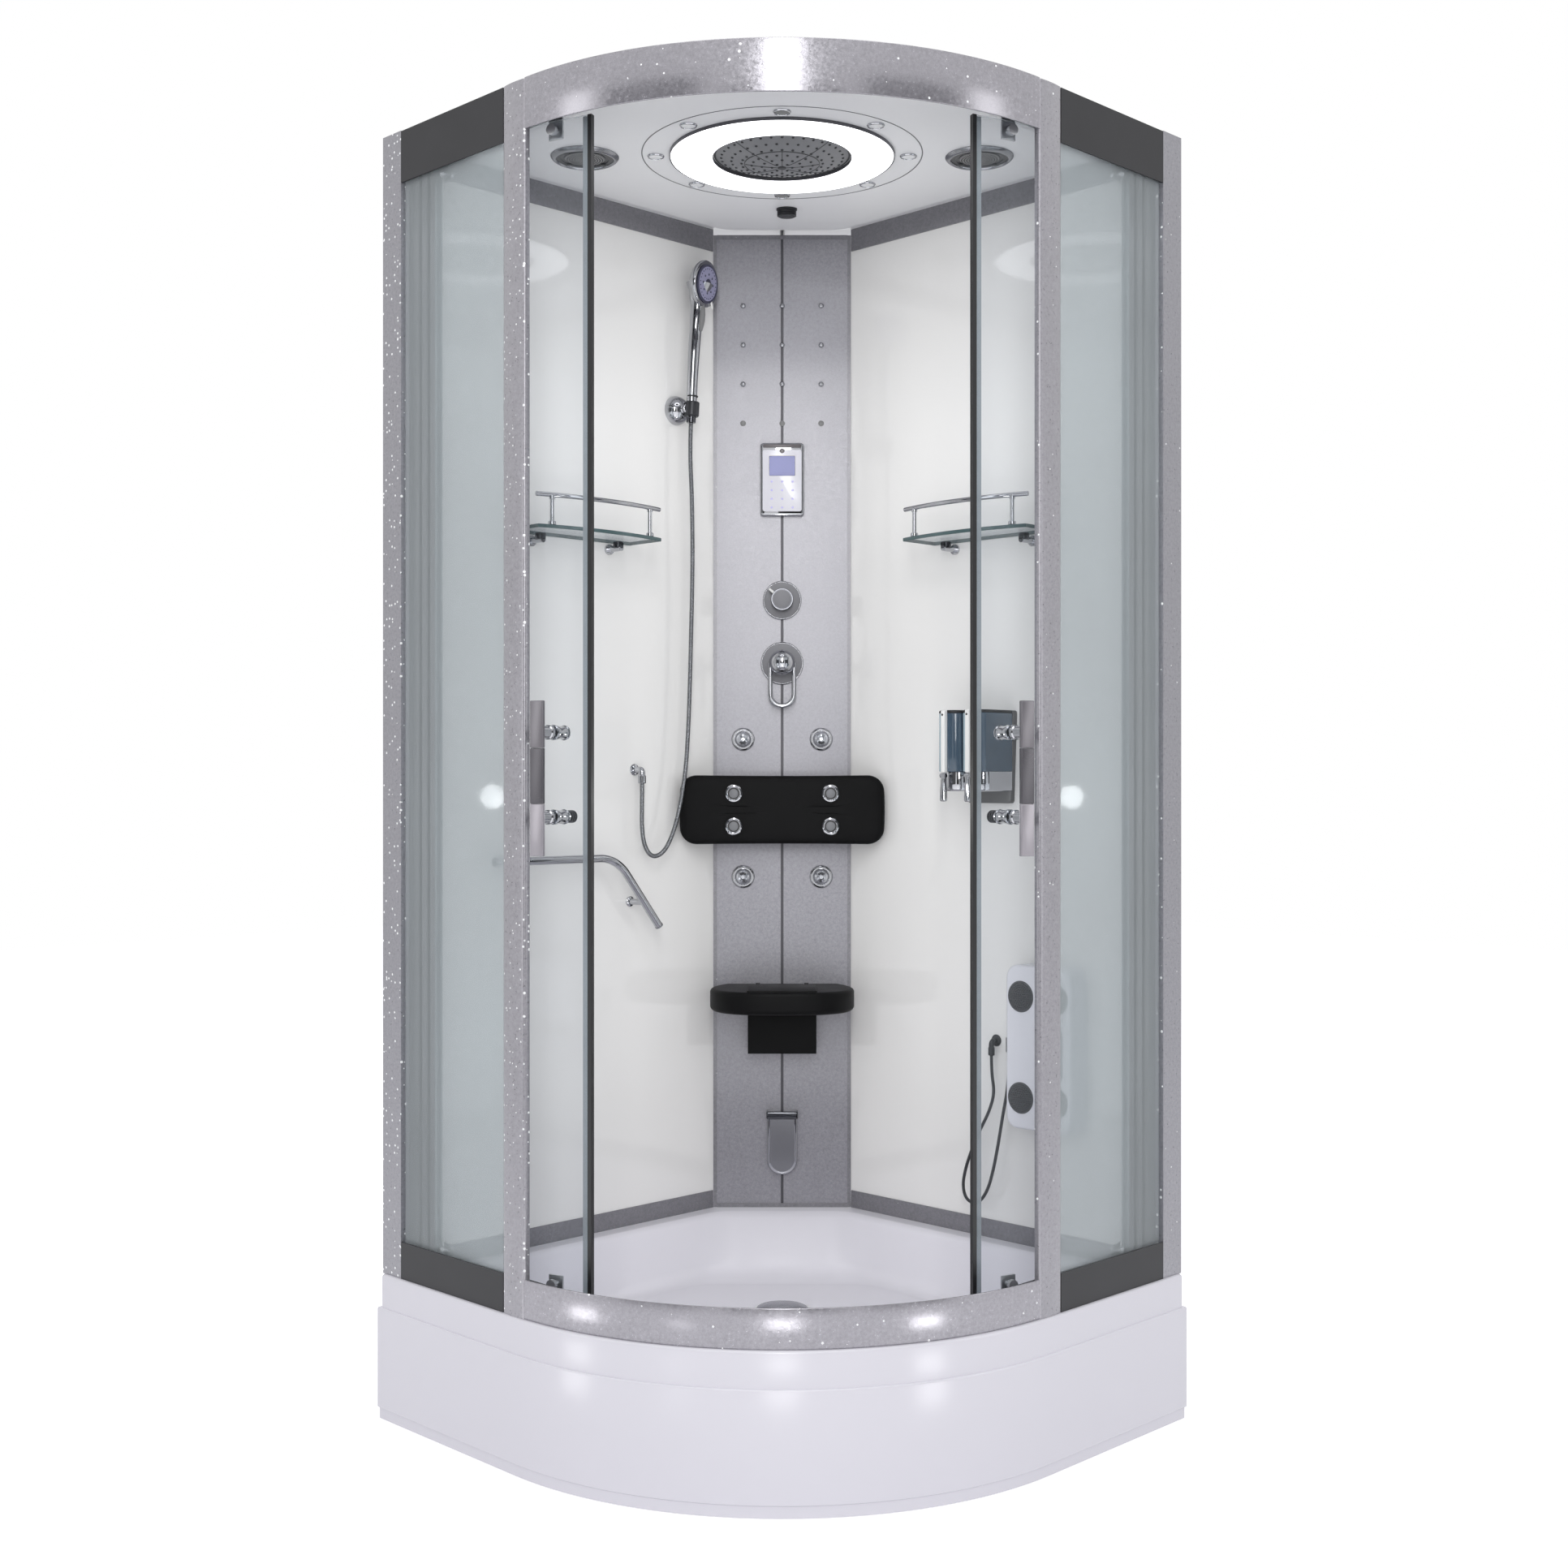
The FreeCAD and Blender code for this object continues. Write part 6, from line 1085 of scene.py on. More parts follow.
def makeCeiling():
    spec, rings = ceiling, []
    side, radius = spec["lipSide"] - spec["fit"], rails["outer"] - rails["depth"] - spec["fit"]
    post, notch, middle = spec["post"], spec["notch"], spec["middle"]
    flange = roundLoop([(0, 0), (0, notch), (post, notch), (post, side), (side, side), (side, post),
                        (notch, post), (notch, 0)], [0.1, 0.1, 0.1, 0.1, radius, 0.1, 0.1, 0.1],
                       [1, 1, 1, 1, 72, 1, 1, 1])

    def dropLoop(inset, round):
        ledge, edge = spec["ledge"] + inset, side - spec["frontGap"] - inset
        turn = spec["back"] * rootTwo - ledge + inset * rootTwo
        front = radius - spec["frontGap"] - inset
        return roundLoop([(ledge, turn), (ledge, edge), (edge, edge), (edge, ledge), (turn, ledge)],
                         [round, round * 0.6, front, round * 0.6, round], [8, 8, 60, 8, 8])

    def ring(loop, height):
        rings.append(roomPlace(centredLoop(loop, spec["points"], (middle, middle)), height))

    parts, rise = 10, spec["edge"] - spec["low"]
    disc = circle(spec["middleRadius"], 96, middle, middle)
    ring(disc, spec["low"])
    for part in range(parts + 1):
        share = 1 - part / parts
        ease = share * share * (3 - 2 * share)
        ring(dropLoop(spec["softWidth"] * share, 40 + 20 * share), spec["edge"] - rise * ease)
    ring(flange, spec["edge"])
    ring(flange, spec["top"])
    ring(dropLoop(4, 40), spec["top"])
    ring(dropLoop(spec["softWidth"], 60), spec["low"] + spec["thick"])
    ring(disc, spec["low"] + spec["thick"])
    shape = Shape()
    shape.addRings(rings, looks["ceilingWhite"])
    seat(shape.build("ceiling_moulded", 50), "cabin", ["ceiling_panel"])


makeCeiling()
print("ceiling made")


def newGrowth(name, inputs):
    group = bpy.data.node_groups.new(name, "GeometryNodeTree")
    group.interface.new_socket("Geometry", in_out="OUTPUT", socket_type="NodeSocketGeometry")
    for label, kind in inputs.items():
        group.interface.new_socket(label, in_out="INPUT", socket_type="NodeSocket" + kind)
    tree = Tree(group)
    entry = group.nodes.new("NodeGroupInput")
    return group, tree, {label: Wire(tree, entry.outputs[label]) for label in inputs}


def domesAt(group, tree, given, points):
    # a small flattened ball on each point, made real and given its finish
    ball = tree.add("GeometryNodeMeshUVSphere", None, {"Segments": 10, "Rings": 6, "Radius": 1.0})
    size = tree.add("ShaderNodeCombineXYZ", None, {0: given["Radius"], 1: given["Radius"],
                                                    2: given["Height"]})
    copies = tree.add("GeometryNodeInstanceOnPoints", None,
                      {"Points": points, "Instance": ball, "Scale": size})
    real = tree.add("GeometryNodeRealizeInstances", None, {0: copies})
    done = tree.add("GeometryNodeSetMaterial", None,
                    {"Geometry": real, "Material": given["Finish"]})
    leave = group.nodes.new("NodeGroupOutput")
    group.links.new(done.socket, leave.inputs[0])
    return group


def makeRingGrowth():
    # domes in concentric rings of 6, 12, 18 ... round a middle one, on a crowned face
    group, tree, given = newGrowth("domesInRings", {
        "Rings": "Int", "Step": "Float", "Crown": "Float", "Edge": "Float", "Radius": "Float",
        "Height": "Float", "Finish": "Material"})
    count = 3 * given["Rings"] * (given["Rings"] + 1) + 1
    index = tree.add("GeometryNodeInputIndex")
    root = tree.maths("SQRT", index * 12 - 3)
    ring = tree.maths("FLOOR", (root + 3.0001) * (1 / 6)) * (index > 0.5)
    turn = (index - 1 - 3 * ring * (ring - 1)) * math.tau
    angle = tree.maths("DIVIDE", turn, tree.maths("MAXIMUM", ring * 6, 1.0))
    reach = ring * given["Step"]
    cos, sin = tree.maths("COSINE", angle), tree.maths("SINE", angle)
    share = tree.maths("DIVIDE", reach, given["Edge"])
    place = tree.add("ShaderNodeCombineXYZ", None, {0: reach * cos, 1: reach * sin,
                                                     2: given["Crown"] * (1 - share * share)})
    points = tree.add("GeometryNodePoints", None, {"Count": count})
    placed = tree.add("GeometryNodeSetPosition", None, {"Geometry": points, "Position": place})
    return domesAt(group, tree, given, placed)


def makeGridGrowth():
    group, tree, given = newGrowth("domesInRows", {
        "Columns": "Int", "Rows": "Int", "Width": "Float", "Tall": "Float", "Radius": "Float",
        "Height": "Float", "Finish": "Material"})
    grid = tree.add("GeometryNodeMeshGrid", None, {
        "Size X": given["Width"], "Size Y": given["Tall"], "Vertices X": given["Columns"],
        "Vertices Y": given["Rows"]})
    return domesAt(group, tree, given, grid)


def makeCircleGrowth():
    group, tree, given = newGrowth("domesInCircle", {"Count": "Int", "Circle": "Float",
                                                       "Radius": "Float", "Height": "Float",
                                                       "Finish": "Material"})
    circleMesh = tree.add("GeometryNodeMeshCircle", None, {"Vertices": given["Count"],
                                                            "Radius": given["Circle"]})
    return domesAt(group, tree, given, circleMesh)


growths = {"rings": makeRingGrowth(), "rows": makeGridGrowth(), "circle": makeCircleGrowth()}


def grow(name, kind, place, values):
    # the grown shape as a plain mesh, set down by its frame
    group = growths[kind]
    holder = addObject(name + "_grower", bpy.data.meshes.new(name + "_seed"))
    modifier = holder.modifiers.new("grow", "NODES")
    modifier.node_group = group
    sockets = {item.name: item.identifier for item in group.interface.items_tree
               if item.in_out == "INPUT"}
    for label, value in values.items():
        modifier[sockets[label]] = value
    depsgraph = bpy.context.evaluated_depsgraph_get()
    mesh = bpy.data.meshes.new_from_object(holder.evaluated_get(depsgraph))
    holder.modifiers.remove(modifier)
    bpy.data.objects.remove(holder)
    mesh.transform(place)
    mesh.name = name
    return tidyMesh(mesh, name, 60)


fittings = {"out": 624, "height": 1990, "lightIn": 108.5, "lightOut": 178, "lightThick": 6,
            "rainRadius": 108, "rainDrop": 20, "spotCircle": 199.5, "spotRadius": 13.5,
            "lineRadius": 221, "greySpots": (0, 4), "speakerAlong": 312, "speakerOut": 620,
            "speakerRadius": 54, "ventAlong": 8, "ventOut": 347, "ventRadius": 18, "ventDrop": 15}


def makeLightRing():
    spec = fittings
    place = ceilingFrame(0, spec["out"], spec["height"])
    light = Shape(place)
    low, high, deep = spec["lightIn"] + 2.2, spec["lightOut"] - 2.4, spec["lightThick"]
    light.addTurned([(low, 0.2), (low, deep - 1.2), (low + 1.4, deep - 0.2),
                     (high - 1.6, deep - 0.2), (high, deep - 1.6), (high, 0.2)], looks["lamp"],
                    128, wrap=True)
    for inner, outer in ((spec["lightIn"], low - 0.3), (high + 0.3, spec["lightOut"])):
        light.addTurned([(inner, 0.05), (inner, deep - 1.6), ((inner + outer) / 2, deep - 0.9),
                         (outer, deep - 1.6), (outer, 0.05)], looks["ringLine"], 128, wrap=True)
    seat(light.build("light_ring_lit"), "cabin", ["light_ring"])
    line = Shape(place)
    near, far = spec["lineRadius"] - 0.9, spec["lineRadius"] + 0.9
    line.addTurned([(near, -0.3), (near, 0.35), (far, 0.35), (far, -0.3)], looks["ringLine"], 160,
                   wrap=True)
    seat(line.build("ceiling_line"), "cabin")


def crownedDisc(radius, drop, rows=14):
    return [(radius * i / rows, drop * (1 - (i / rows) ** 2)) for i in range(rows + 1)]


def makeRainHead():
    spec = fittings
    place = ceilingFrame(0, spec["out"], spec["height"])
    radius, drop = spec["rainRadius"], spec["rainDrop"]
    head = Shape(place)
    head.addTurned([(0, -20), (15, -20), (15, 0.1), (radius - 1.2, 0.1), (radius - 2.2, 0.6)]
                   + crownedDisc(radius - 2.4, drop - 1.2)[::-1], looks["rainGrey"], 96)
    # the dark outer edge and the line at the middle of the face
    for near, far in ((radius - 3.2, radius - 0.2), (58.8, 60.0)):
        lift = drop * (1 - (near / radius) ** 2)
        head.addTurned([(near, lift - 3.0), (near, lift - 0.4), (far, lift - 0.8),
                        (far, lift - 3.4)], looks["rainNub"], 96, wrap=True)
    # eight spokes from the middle to the edge, and the star between them
    for spoke in range(8):
        angle = math.tau * spoke / 8
        way = Vector((math.cos(angle), math.sin(angle), 0))
        reach = radius - 4 if spoke % 2 else 58
        steps = [reach * i / 8 for i in range(1, 9)]
        path = [way * step + Vector((0, 0, (drop - 1.2) * (1 - (step / (radius - 2.4)) ** 2)))
                for step in steps]
        head.addTube(path, 0.7, looks["rainNub"], 6)
    head.addTurned([(0, drop - 3), (7, drop - 3), (7, drop - 0.4), (5.6, drop + 0.6),
                    (0, drop + 0.8)], looks["rainNub"], 24)
    seat(head.build("rain_head_domed"), "cabin", ["rain_head"])
    nubs = grow("rain_head_nubs", "rings", place, {
        "Rings": 6, "Step": 16.0, "Crown": drop - 0.7, "Edge": radius - 2.4, "Radius": 2.3,
        "Height": 1.6, "Finish": looks["rainNub"]})
    seat(nubs, "cabin")


def makeSpots():
    spec = fittings
    spots = Shape()
    for number in range(8):
        angle = math.radians(45 * number)
        spots.frame = ceilingFrame(spec["spotCircle"] * math.sin(angle),
                                   spec["out"] + spec["spotCircle"] * math.cos(angle),
                                   spec["height"])
        radius, grey = spec["spotRadius"], number in spec["greySpots"]
        spots.addTurned([(radius * 0.78, 0.2), (radius, 0.2), (radius, 1.2), (radius - 0.9, 2.6),
                         (radius * 0.84, 3.0), (radius * 0.78, 1.4), (radius * 0.78, 0.2)],
                        looks["chrome"], 32)
        spots.addTurned([(0, 0.1), (radius * 0.8, 0.1), (radius * 0.8, 1.6), (radius * 0.5, 2.3),
                         (0, 2.6)], looks["plugGrey" if grey else "ceilingWhite"], 32)
    # the vent: an oval ribbed neck
    spots.frame = ceilingFrame(spec["ventAlong"], spec["ventOut"], spec["height"])
    spots.frame = spots.frame @ Matrix.Diagonal((1, 0.8, 1, 1))
    radius, drop = spec["ventRadius"], spec["ventDrop"]
    profile = [(0, 0.2), (radius, 0.2), (radius, 2.6)]
    for rib in range(4):
        near = 3 + rib * (drop - 4) / 4
        profile += [(radius * 0.8, near), (radius * 0.92, near + 0.7), (radius * 0.92, near + 1.7),
                    (radius * 0.8, near + 2.4)]
    profile += [(radius * 0.74, drop - 0.4), (radius * 0.5, drop), (0, drop)]
    spots.addTurned(profile, looks["elbowGrey"], 40)
    seat(spots.build("ceiling_spots_finished"), "cabin", ["ceiling_spots"])


def makeSpeakers():
    spec = fittings
    shape = Shape()
    for side in (-1, 1):
        place = ceilingFrame(side * spec["speakerAlong"], spec["speakerOut"], spec["height"])
        shape.frame = place
        radius = spec["speakerRadius"]
        shape.addTurned([(44, 0.2), (radius, 0.2), (radius, 1.4), (radius - 2.4, 4.4),
                         (radius - 6, 6.6), (46.5, 6.8), (45, 5.6), (44, 3.4), (44, 0.2)],
                        looks["satinChrome"], 72)
        shape.addTurned([(0, 0.3), (44.5, 0.3), (44.5, 3.6), (38, 4.2), (37, 3.0), (33, 2.6),
                         (32, 3.6), (16, 4.6), (0, 5.0)], looks["elbowGrey"], 72)
        shape.addTurned([(0, 3.0), (31, 3.0), (31, 4.2), (29, 5.2), (0, 6.4)],
                        looks["plugGrey"], 48)
        for notch in range(4):
            angle = math.radians(45 + 90 * notch)
            middle = Vector((math.cos(angle), math.sin(angle), 0)) * 38
            shape.addBlock(rectangle(8, 8, middle.x, middle.y), [1.5] * 4,
                           [(0, 3.0), (0, 4.8), (0.6, 5.3)], looks["rainNub"], 3)
        grille = grow("speaker_grille_" + ("left", "right")[side > 0], "rings", place, {
            "Rings": 7, "Step": 4.0, "Crown": 6.0, "Edge": 80.0, "Radius": 1.1, "Height": 0.8,
            "Finish": looks["elbowGrey"]})
        seat(grille, "cabin")
    seat(shape.build("speakers_finished"), "cabin", ["speakers"])


looks["ringLine"] = makeFinish("ring_line", (96, 96, 100), 0.3, 0.6)
makeLightRing()
makeRainHead()
makeSpots()
makeSpeakers()
print("ceiling fittings made")


nozzles = {"along": 71, "first": 1653, "pitch": 71.3, "radius": 5.2}
controls = {"width": 80, "low": 1483, "high": 1616, "thick": 14, "corner": 7,
            "screen": (46, 35, 1573.5), "keys": (38, 47, 1521.5), "sensor": 1601}
diverter = {"height": 1330.6, "plate": 35.5, "thick": 6, "knob": 20, "long": 20, "turn": 140,
            "tab": 31}
mixer = {"height": 1216, "plate": 39, "seat": 175.3, "centre": 26, "ball": 23, "wall": 4.5,
         "mouth": 10.8, "loopOut": 18, "across": 21.4, "rod": 4.1, "drop": 82, "stem": 8,
         "knuckle": 15}
jets = {"along": 71, "heights": (1078, 828), "ring": 21, "ball": 14.5, "centre": 4}


def makeNozzles():
    spec, radius = nozzles, nozzles["radius"]
    balls = grow("nozzle_balls", "rows", onColumn(0, spec["first"] + spec["pitch"] * 2), {
        "Columns": 3, "Rows": 3, "Width": 2.0 * spec["along"], "Tall": 2.0 * spec["pitch"],
        "Radius": radius, "Height": radius, "Finish": looks["chrome"]})
    seat(balls, "cabin", ["mini_nozzles"])
    plugs = Shape()
    for side in (-1, 0, 1):
        plugs.frame = onColumn(side * spec["along"], spec["first"])
        plugs.addTurned([(0, -1), (radius, -1), (radius, 0.5), (radius * 0.8, 0.9), (0, 1.0)],
                        looks["plugGrey"], 24)
    seat(plugs.build("nozzle_plugs"), "cabin")


def makeControls():
    spec, panel = controls, Shape(onColumn())
    wide, low, high, thick = spec["width"], spec["low"], spec["high"], spec["thick"]
    middle = (low + high) / 2
    panel.addBlock(rectangle(wide, high - low, 0, middle), [spec["corner"]] * 4,
                   edgeLevels(0, thick - 1.2, 0, 4.5), looks["chrome"], 8)
    panel.addBlock(rectangle(wide - 9, high - low - 21, 0, middle - 2.5), [4] * 4,
                   edgeLevels(thick - 3, thick, 0, 1.2), looks["controlWhite"], 6)
    panel.addBlock(rectangle(wide - 10, 6.5, 0, high - 6.2), [2] * 4,
                   edgeLevels(thick - 3, thick - 0.6, 0, 1.0), looks["sensorGrey"], 4)
    screenWide, screenTall, screenUp = spec["screen"]
    panel.addBlock(rectangle(screenWide + 1.6, screenTall + 1.6, 0, screenUp), [1.5] * 4,
                   edgeLevels(thick - 1, thick + 0.1, 0, 0.2, 1), looks["sensorGrey"], 3)
    panel.addBlock(rectangle(screenWide, screenTall, 0, screenUp), [1.2] * 4,
                   edgeLevels(thick - 1, thick + 0.3, 0, 0.2, 1), looks["screen"], 3)
    panel.frame = onColumn(0, spec["sensor"])
    panel.addTurned([(0, thick - 1), (4.6, thick - 1), (4.6, thick), (3.8, thick + 0.7),
                     (0, thick + 1)], looks["sensorGrey"], 24)
    seat(panel.build("control_panel_finished"), "cabin", ["control_panel"])
    keysWide, keysTall, keysUp = spec["keys"]
    keys = grow("control_keys", "rows", onColumn(0, keysUp, thick), {
        "Columns": 3, "Rows": 4, "Width": float(keysWide), "Tall": float(keysTall), "Radius": 2.1,
        "Height": 0.45, "Finish": looks["keyLilac"]})
    seat(keys, "cabin")


def makeValves():
    plates = Shape()
    for spec in (diverter, mixer):
        plates.frame = onColumn(0, spec["height"])
        radius = spec["plate"]
        plates.addTurned([(0, 0), (radius, 0), (radius, 2.6), (radius - 0.5, 4.6),
                          (radius - 1.3, 5.2), (radius - 2.0, 4.6), (0, 4.6)], looks["chrome"], 64)
        plates.addTurned([(0, 4), (radius - 1.8, 4), (radius - 2.4, 5.2), (radius - 9, 5.9),
                          (0, 5.95)], looks["valveDark"], 64)
    seat(plates.build("valve_plates_finished"), "cabin", ["valve_plates"])

    spec = diverter
    knob = Shape(onColumn(0, spec["height"], spec["thick"] + 0.3))
    radius, long = spec["knob"], spec["long"]
    knob.addTurned([(0, 0), (radius - 2, 0), (radius - 0.6, 1), (radius - 0.6, long - 6),
                    (radius, long - 5), (radius, long - 1.2), (radius - 0.7, long),
                    (radius - 1.8, long), (radius - 2.4, long - 1), (0, long - 1)],
                   looks["darkChrome"], 48)
    knob.addTurned([(0, long - 1.6), (radius - 2.5, long - 1.6), (radius - 3.1, long - 0.6),
                    (radius - 8, long - 0.2), (0, long)], looks["valveDark"], 48)
    knob.frame = knob.frame @ Matrix.Rotation(math.radians(spec["turn"]), 4, "Z")
    tab = [(6, -2.8), (spec["tab"], -2.0), (spec["tab"], 2.0), (6, 2.8)]
    knob.addBlock(tab, [0.4, 1.6, 1.6, 0.4], edgeLevels(8, 13, 0.8, 1.2), looks["clipWhite"], 4)
    seat(knob.build("diverter_knob_finished"), "diverter", ["diverter_knob"])

    spec = mixer
    stem = Shape(onWall("column", 0, spec["height"], spec["seat"]))
    neck, knuckle, centre = spec["stem"], spec["knuckle"], spec["centre"]
    rise = math.sqrt(knuckle ** 2 - neck ** 2)
    ballPart = [(knuckle * math.cos(a), centre + knuckle * math.sin(a)) for a in
                (math.asin(-rise / knuckle) + (math.pi / 2 + math.asin(rise / knuckle)) * i / 12
                 for i in range(13))]
    stem.addTurned([(0, 0), (neck + 6, 0), (neck + 6, 2.4), (neck + 4.6, 3.4), (neck, 6)]
                   + ballPart, looks["satinChrome"], 40)
    seat(stem.build("mixer_stem_finished"), "mixer_core", ["mixer_stem"])

    handle = Shape(onWall("column", 0, spec["height"], spec["seat"]))
    outer, inner, mouth = spec["ball"], spec["ball"] - spec["wall"], spec["mouth"]

    def shell(radius, steps=18):
        first = math.asin(-mouth / radius)
        return [(radius * math.cos(a), centre + radius * math.sin(a)) for a in
                (first + (math.pi / 2 - first) * i / steps for i in range(steps + 1))]

    handle.addTurned(shell(outer) + shell(inner)[::-1], looks["chrome"], 56, wrap=True)
    # the loop: down one side, round the half circle and up the other side
    across, rod = spec["across"], spec["rod"]
    bend = across - spec["drop"] + rod
    loop = [(-across, i * bend / 6) for i in range(7)]
    loop += [(-across * math.cos(math.pi * i / 20), bend - across * math.sin(math.pi * i / 20))
             for i in range(1, 21)]
    loop += [(across, bend - i * bend / 6) for i in range(1, 7)]
    handle.addTube([(x, y, spec["loopOut"]) for x, y in loop], rod, looks["chrome"], 20)
    seat(handle.build("mixer_handle_finished", 50), "mixer_lever", ["mixer_handle"])


def makeBodyJets():
    spec, rings = jets, Shape()
    radius, size, centre = spec["ring"], spec["ball"], spec["centre"]
    hole = size + 0.5
    profile = [(hole, 0.1), (radius, 0.1), (radius, 1.4), (radius - 1.2, 3.4),
               (radius - 3.4, 4.8), (hole + 0.6, 4.8), (hole, 4.0), (hole, 0.1)]
    facets = [(size * math.cos(a), centre + size * math.sin(a)) for a in
              (math.radians(-90 + 160 * i / 9) for i in range(10))]
    facets += [(4.2, centre + size * 0.9), (3.4, centre + size * 0.8), (0, centre + size * 0.8)]
    places = [(height, side) for height in spec["heights"] for side in (-1, 1)]
    names = ["upper_left", "upper_right", "lower_left", "lower_right"]
    for name, (height, side) in zip(names, places):
        rings.frame = onColumn(side * spec["along"], height)
        rings.addTurned(profile, looks["chrome"], 48)
        ball = Shape(rings.frame)
        ball.addTurned(facets, looks["crystal"], 18)
        seat(ball.build("jet_ball_" + name, 8), "jet_" + name, ["body_jet_" + name])
    seat(rings.build("body_jet_rings_finished"), "cabin", ["body_jet_rings"])


looks["valveDark"] = makeFinish("valve_dark", (112, 112, 116), 0.42, 0.35, shade=0.08)
looks["crystal"] = makeFinish("crystal_face", (206, 208, 214), 0.1, 0.85, shade=0.1, cloud=120)
makeNozzles()
makeControls()
makeValves()
makeBodyJets()
groove = {"wide": 4.4, "low": 228, "top": 1994, "deep": 4.6}
lining = Shape(onColumn(0, 0, -groove["deep"]))
lining.addBlock(rectangle(groove["wide"], groove["top"] - groove["low"], 0,
                          (groove["top"] + groove["low"]) / 2), [0.4] * 4,
                edgeLevels(0, groove["deep"] - 0.9, 0, 0.3, 1), looks["darkStrip"], 2)
seat(lining.build("column_groove_lining"), "cabin")
print("column fittings made")


backrest = {"long": 366, "tall": 124, "height": 951, "back": 229, "thick": 24, "corner": 27,
            "bulge": 3, "draw": 1.5, "points": 176, "jetAlong": 86, "jetUp": 29, "jetRing": 16}


def backrestLoop(inset):
    # rounded ends that swell, and long sides drawn in between the corners
    spec = backrest
    half, rise = spec["long"] / 2 - spec["bulge"] - inset, spec["tall"] / 2 - inset
    corner = max(spec["corner"] - inset * 0.6, 1.5)
    loop = rowsTo(roundLoop(rectangle(half * 2, rise * 2), [min(corner, rise * 0.9)] * 4, 10),
                  spec["points"])
    shaped = []
    for x, y in loop:
        aside, above = abs(x) / half, abs(y) / max(rise, 1)
        swell = spec["bulge"] * max(0.0, 1 - above ** 2) * min(1.0, aside ** 8)
        pull = spec["draw"] * max(0.0, 1 - aside ** 2) * above ** 4
        shaped.append((x + math.copysign(swell, x), y - math.copysign(pull, y)))
    return shaped


def makeBackrest():
    spec = backrest
    thick = spec["thick"]
    # (inset, depth) from the flat back round the soft edge and over the crowned front
    levels = [(30, 0), (9, 0), (5.4, 0.5), (3.2, 2.0), (1.2, 5.0), (0.2, 9.0), (0, 12.5),
              (0.7, 15.6), (2.4, 18.2), (5.2, 20.3), (9, 21.7), (14, 22.6), (20, 23.1),
              (26, 23.4), (32, 23.6), (38, 23.8), (44, 23.9), (50, 23.95), (56, thick)]
    rings = [[(x, y, depth) for x, y in backrestLoop(inset)] for inset, depth in levels]
    pad = Shape(onWall("column", 0, spec["height"], spec["back"]))
    pad.addRings(rings, looks["padBlack"])
    piece = pad.build("backrest_pad", 75)
    smooth = piece.modifiers.new("smooth", "SUBSURF")
    smooth.levels = smooth.render_levels = 1
    seat(piece, "cabin", ["backrest_cushion"])

    rings, radius = Shape(), spec["jetRing"]
    reach = spec["back"] - cabin["columnFace"] + thick + 0.3
    for side in (-1, 1):
        for up in (-1, 1):
            rings.frame = onColumn(side * spec["jetAlong"], spec["height"] + up * spec["jetUp"])
            rings.addTurned([(0, 0.1), (12, 0.1), (12, 4), (9, 4), (9, reach - 1),
                             (radius - 0.8, reach - 1), (radius, reach), (radius, reach + 1.8),
                             (radius - 1.4, reach + 3.6), (radius - 3.4, reach + 4.2),
                             (radius - 5.2, reach + 3.0), (0, reach + 3.0)], looks["chrome"], 48)
            # a black disc under the grey middle: painted shade in the gap round it
            rings.addTurned([(0, reach + 2.0), (radius - 5.4, reach + 2.0),
                             (radius - 5.4, reach + 3.1), (0, reach + 3.2)],
                            looks["sealBlack"], 40)
            rings.addTurned([(0, reach + 2.0), (radius - 7.6, reach + 2.0),
                             (radius - 8.0, reach + 3.9), (radius - 10, reach + 4.8),
                             (0, reach + 5.2)], looks["jetGrey"], 40)
    seat(rings.build("cushion_jets_finished"), "cabin", ["cushion_jets"])


seatBoard = {"half": 128, "low": 595, "high": 635, "back": 178, "front": 336, "waist": 250,
             "raise": 3, "raiseWide": 123, "raiseBack": 46, "raiseFront": 7, "earIn": 39,
             "earOut": 49, "earFront": 220}


def makeSeatBoard():
    spec = seatBoard
    half, back, front = spec["half"], spec["back"], spec["front"]
    # the flank from the back corner to the widest place, then round to the nose
    points = [(half * (0.8 + 0.2 * math.sin(i / 12 * math.pi / 2)),
               back + (spec["waist"] - back) * i / 12) for i in range(13)]
    points += [(half * math.cos(angle) ** 0.62,
                spec["waist"] + (front - spec["waist"]) * math.sin(angle) ** 1.05)
               for angle in quarterTurn(24)[1:]]
    near, far, deep = spec["earIn"], spec["earOut"], spec["earFront"]
    notch = [(-far, back), (-far, deep), (-near, deep), (-near, back),
             (near, back), (near, deep), (far, deep), (far, back)]
    outline = points + [(-x, out) for x, out in points[:-1][::-1]] + notch
    board, rings = Shape(onWall("column")), []
    for inset, height in edgeLevels(spec["low"], spec["high"], 9, 7, 5):
        loop = insetLoop(outline, inset * 0.98)
        # the ears' slots keep their width
        loop[-8:] = [(x, max(out, back + (inset if out == back else 0))) for x, out in notch]
        rings.append([(x, height, out) for x, out in loop])
    board.addRings(rings, looks["seatBlack"])
    low, high = spec["high"], spec["high"] + spec["raise"]
    start, end = back + spec["raiseBack"], front - spec["raiseFront"]
    raised = [(x, -out) for x, out in
              rectangle(spec["raiseWide"], end - start, 0, (start + end) / 2)]
    board.addBlock(raised[::-1], [5] * 4,
                   [(0, low - 2), (0, high - 1.6), (0.5, high - 0.5), (1.6, high)],
                   looks["seatBlack"], 5, along="y")
    seat(board.build("seat_board_rounded", 40), "seat", ["seat_board"])


outlet = {"width": 55, "low": 288, "high": 404, "cap": 14, "thick": 14, "capThick": 22}


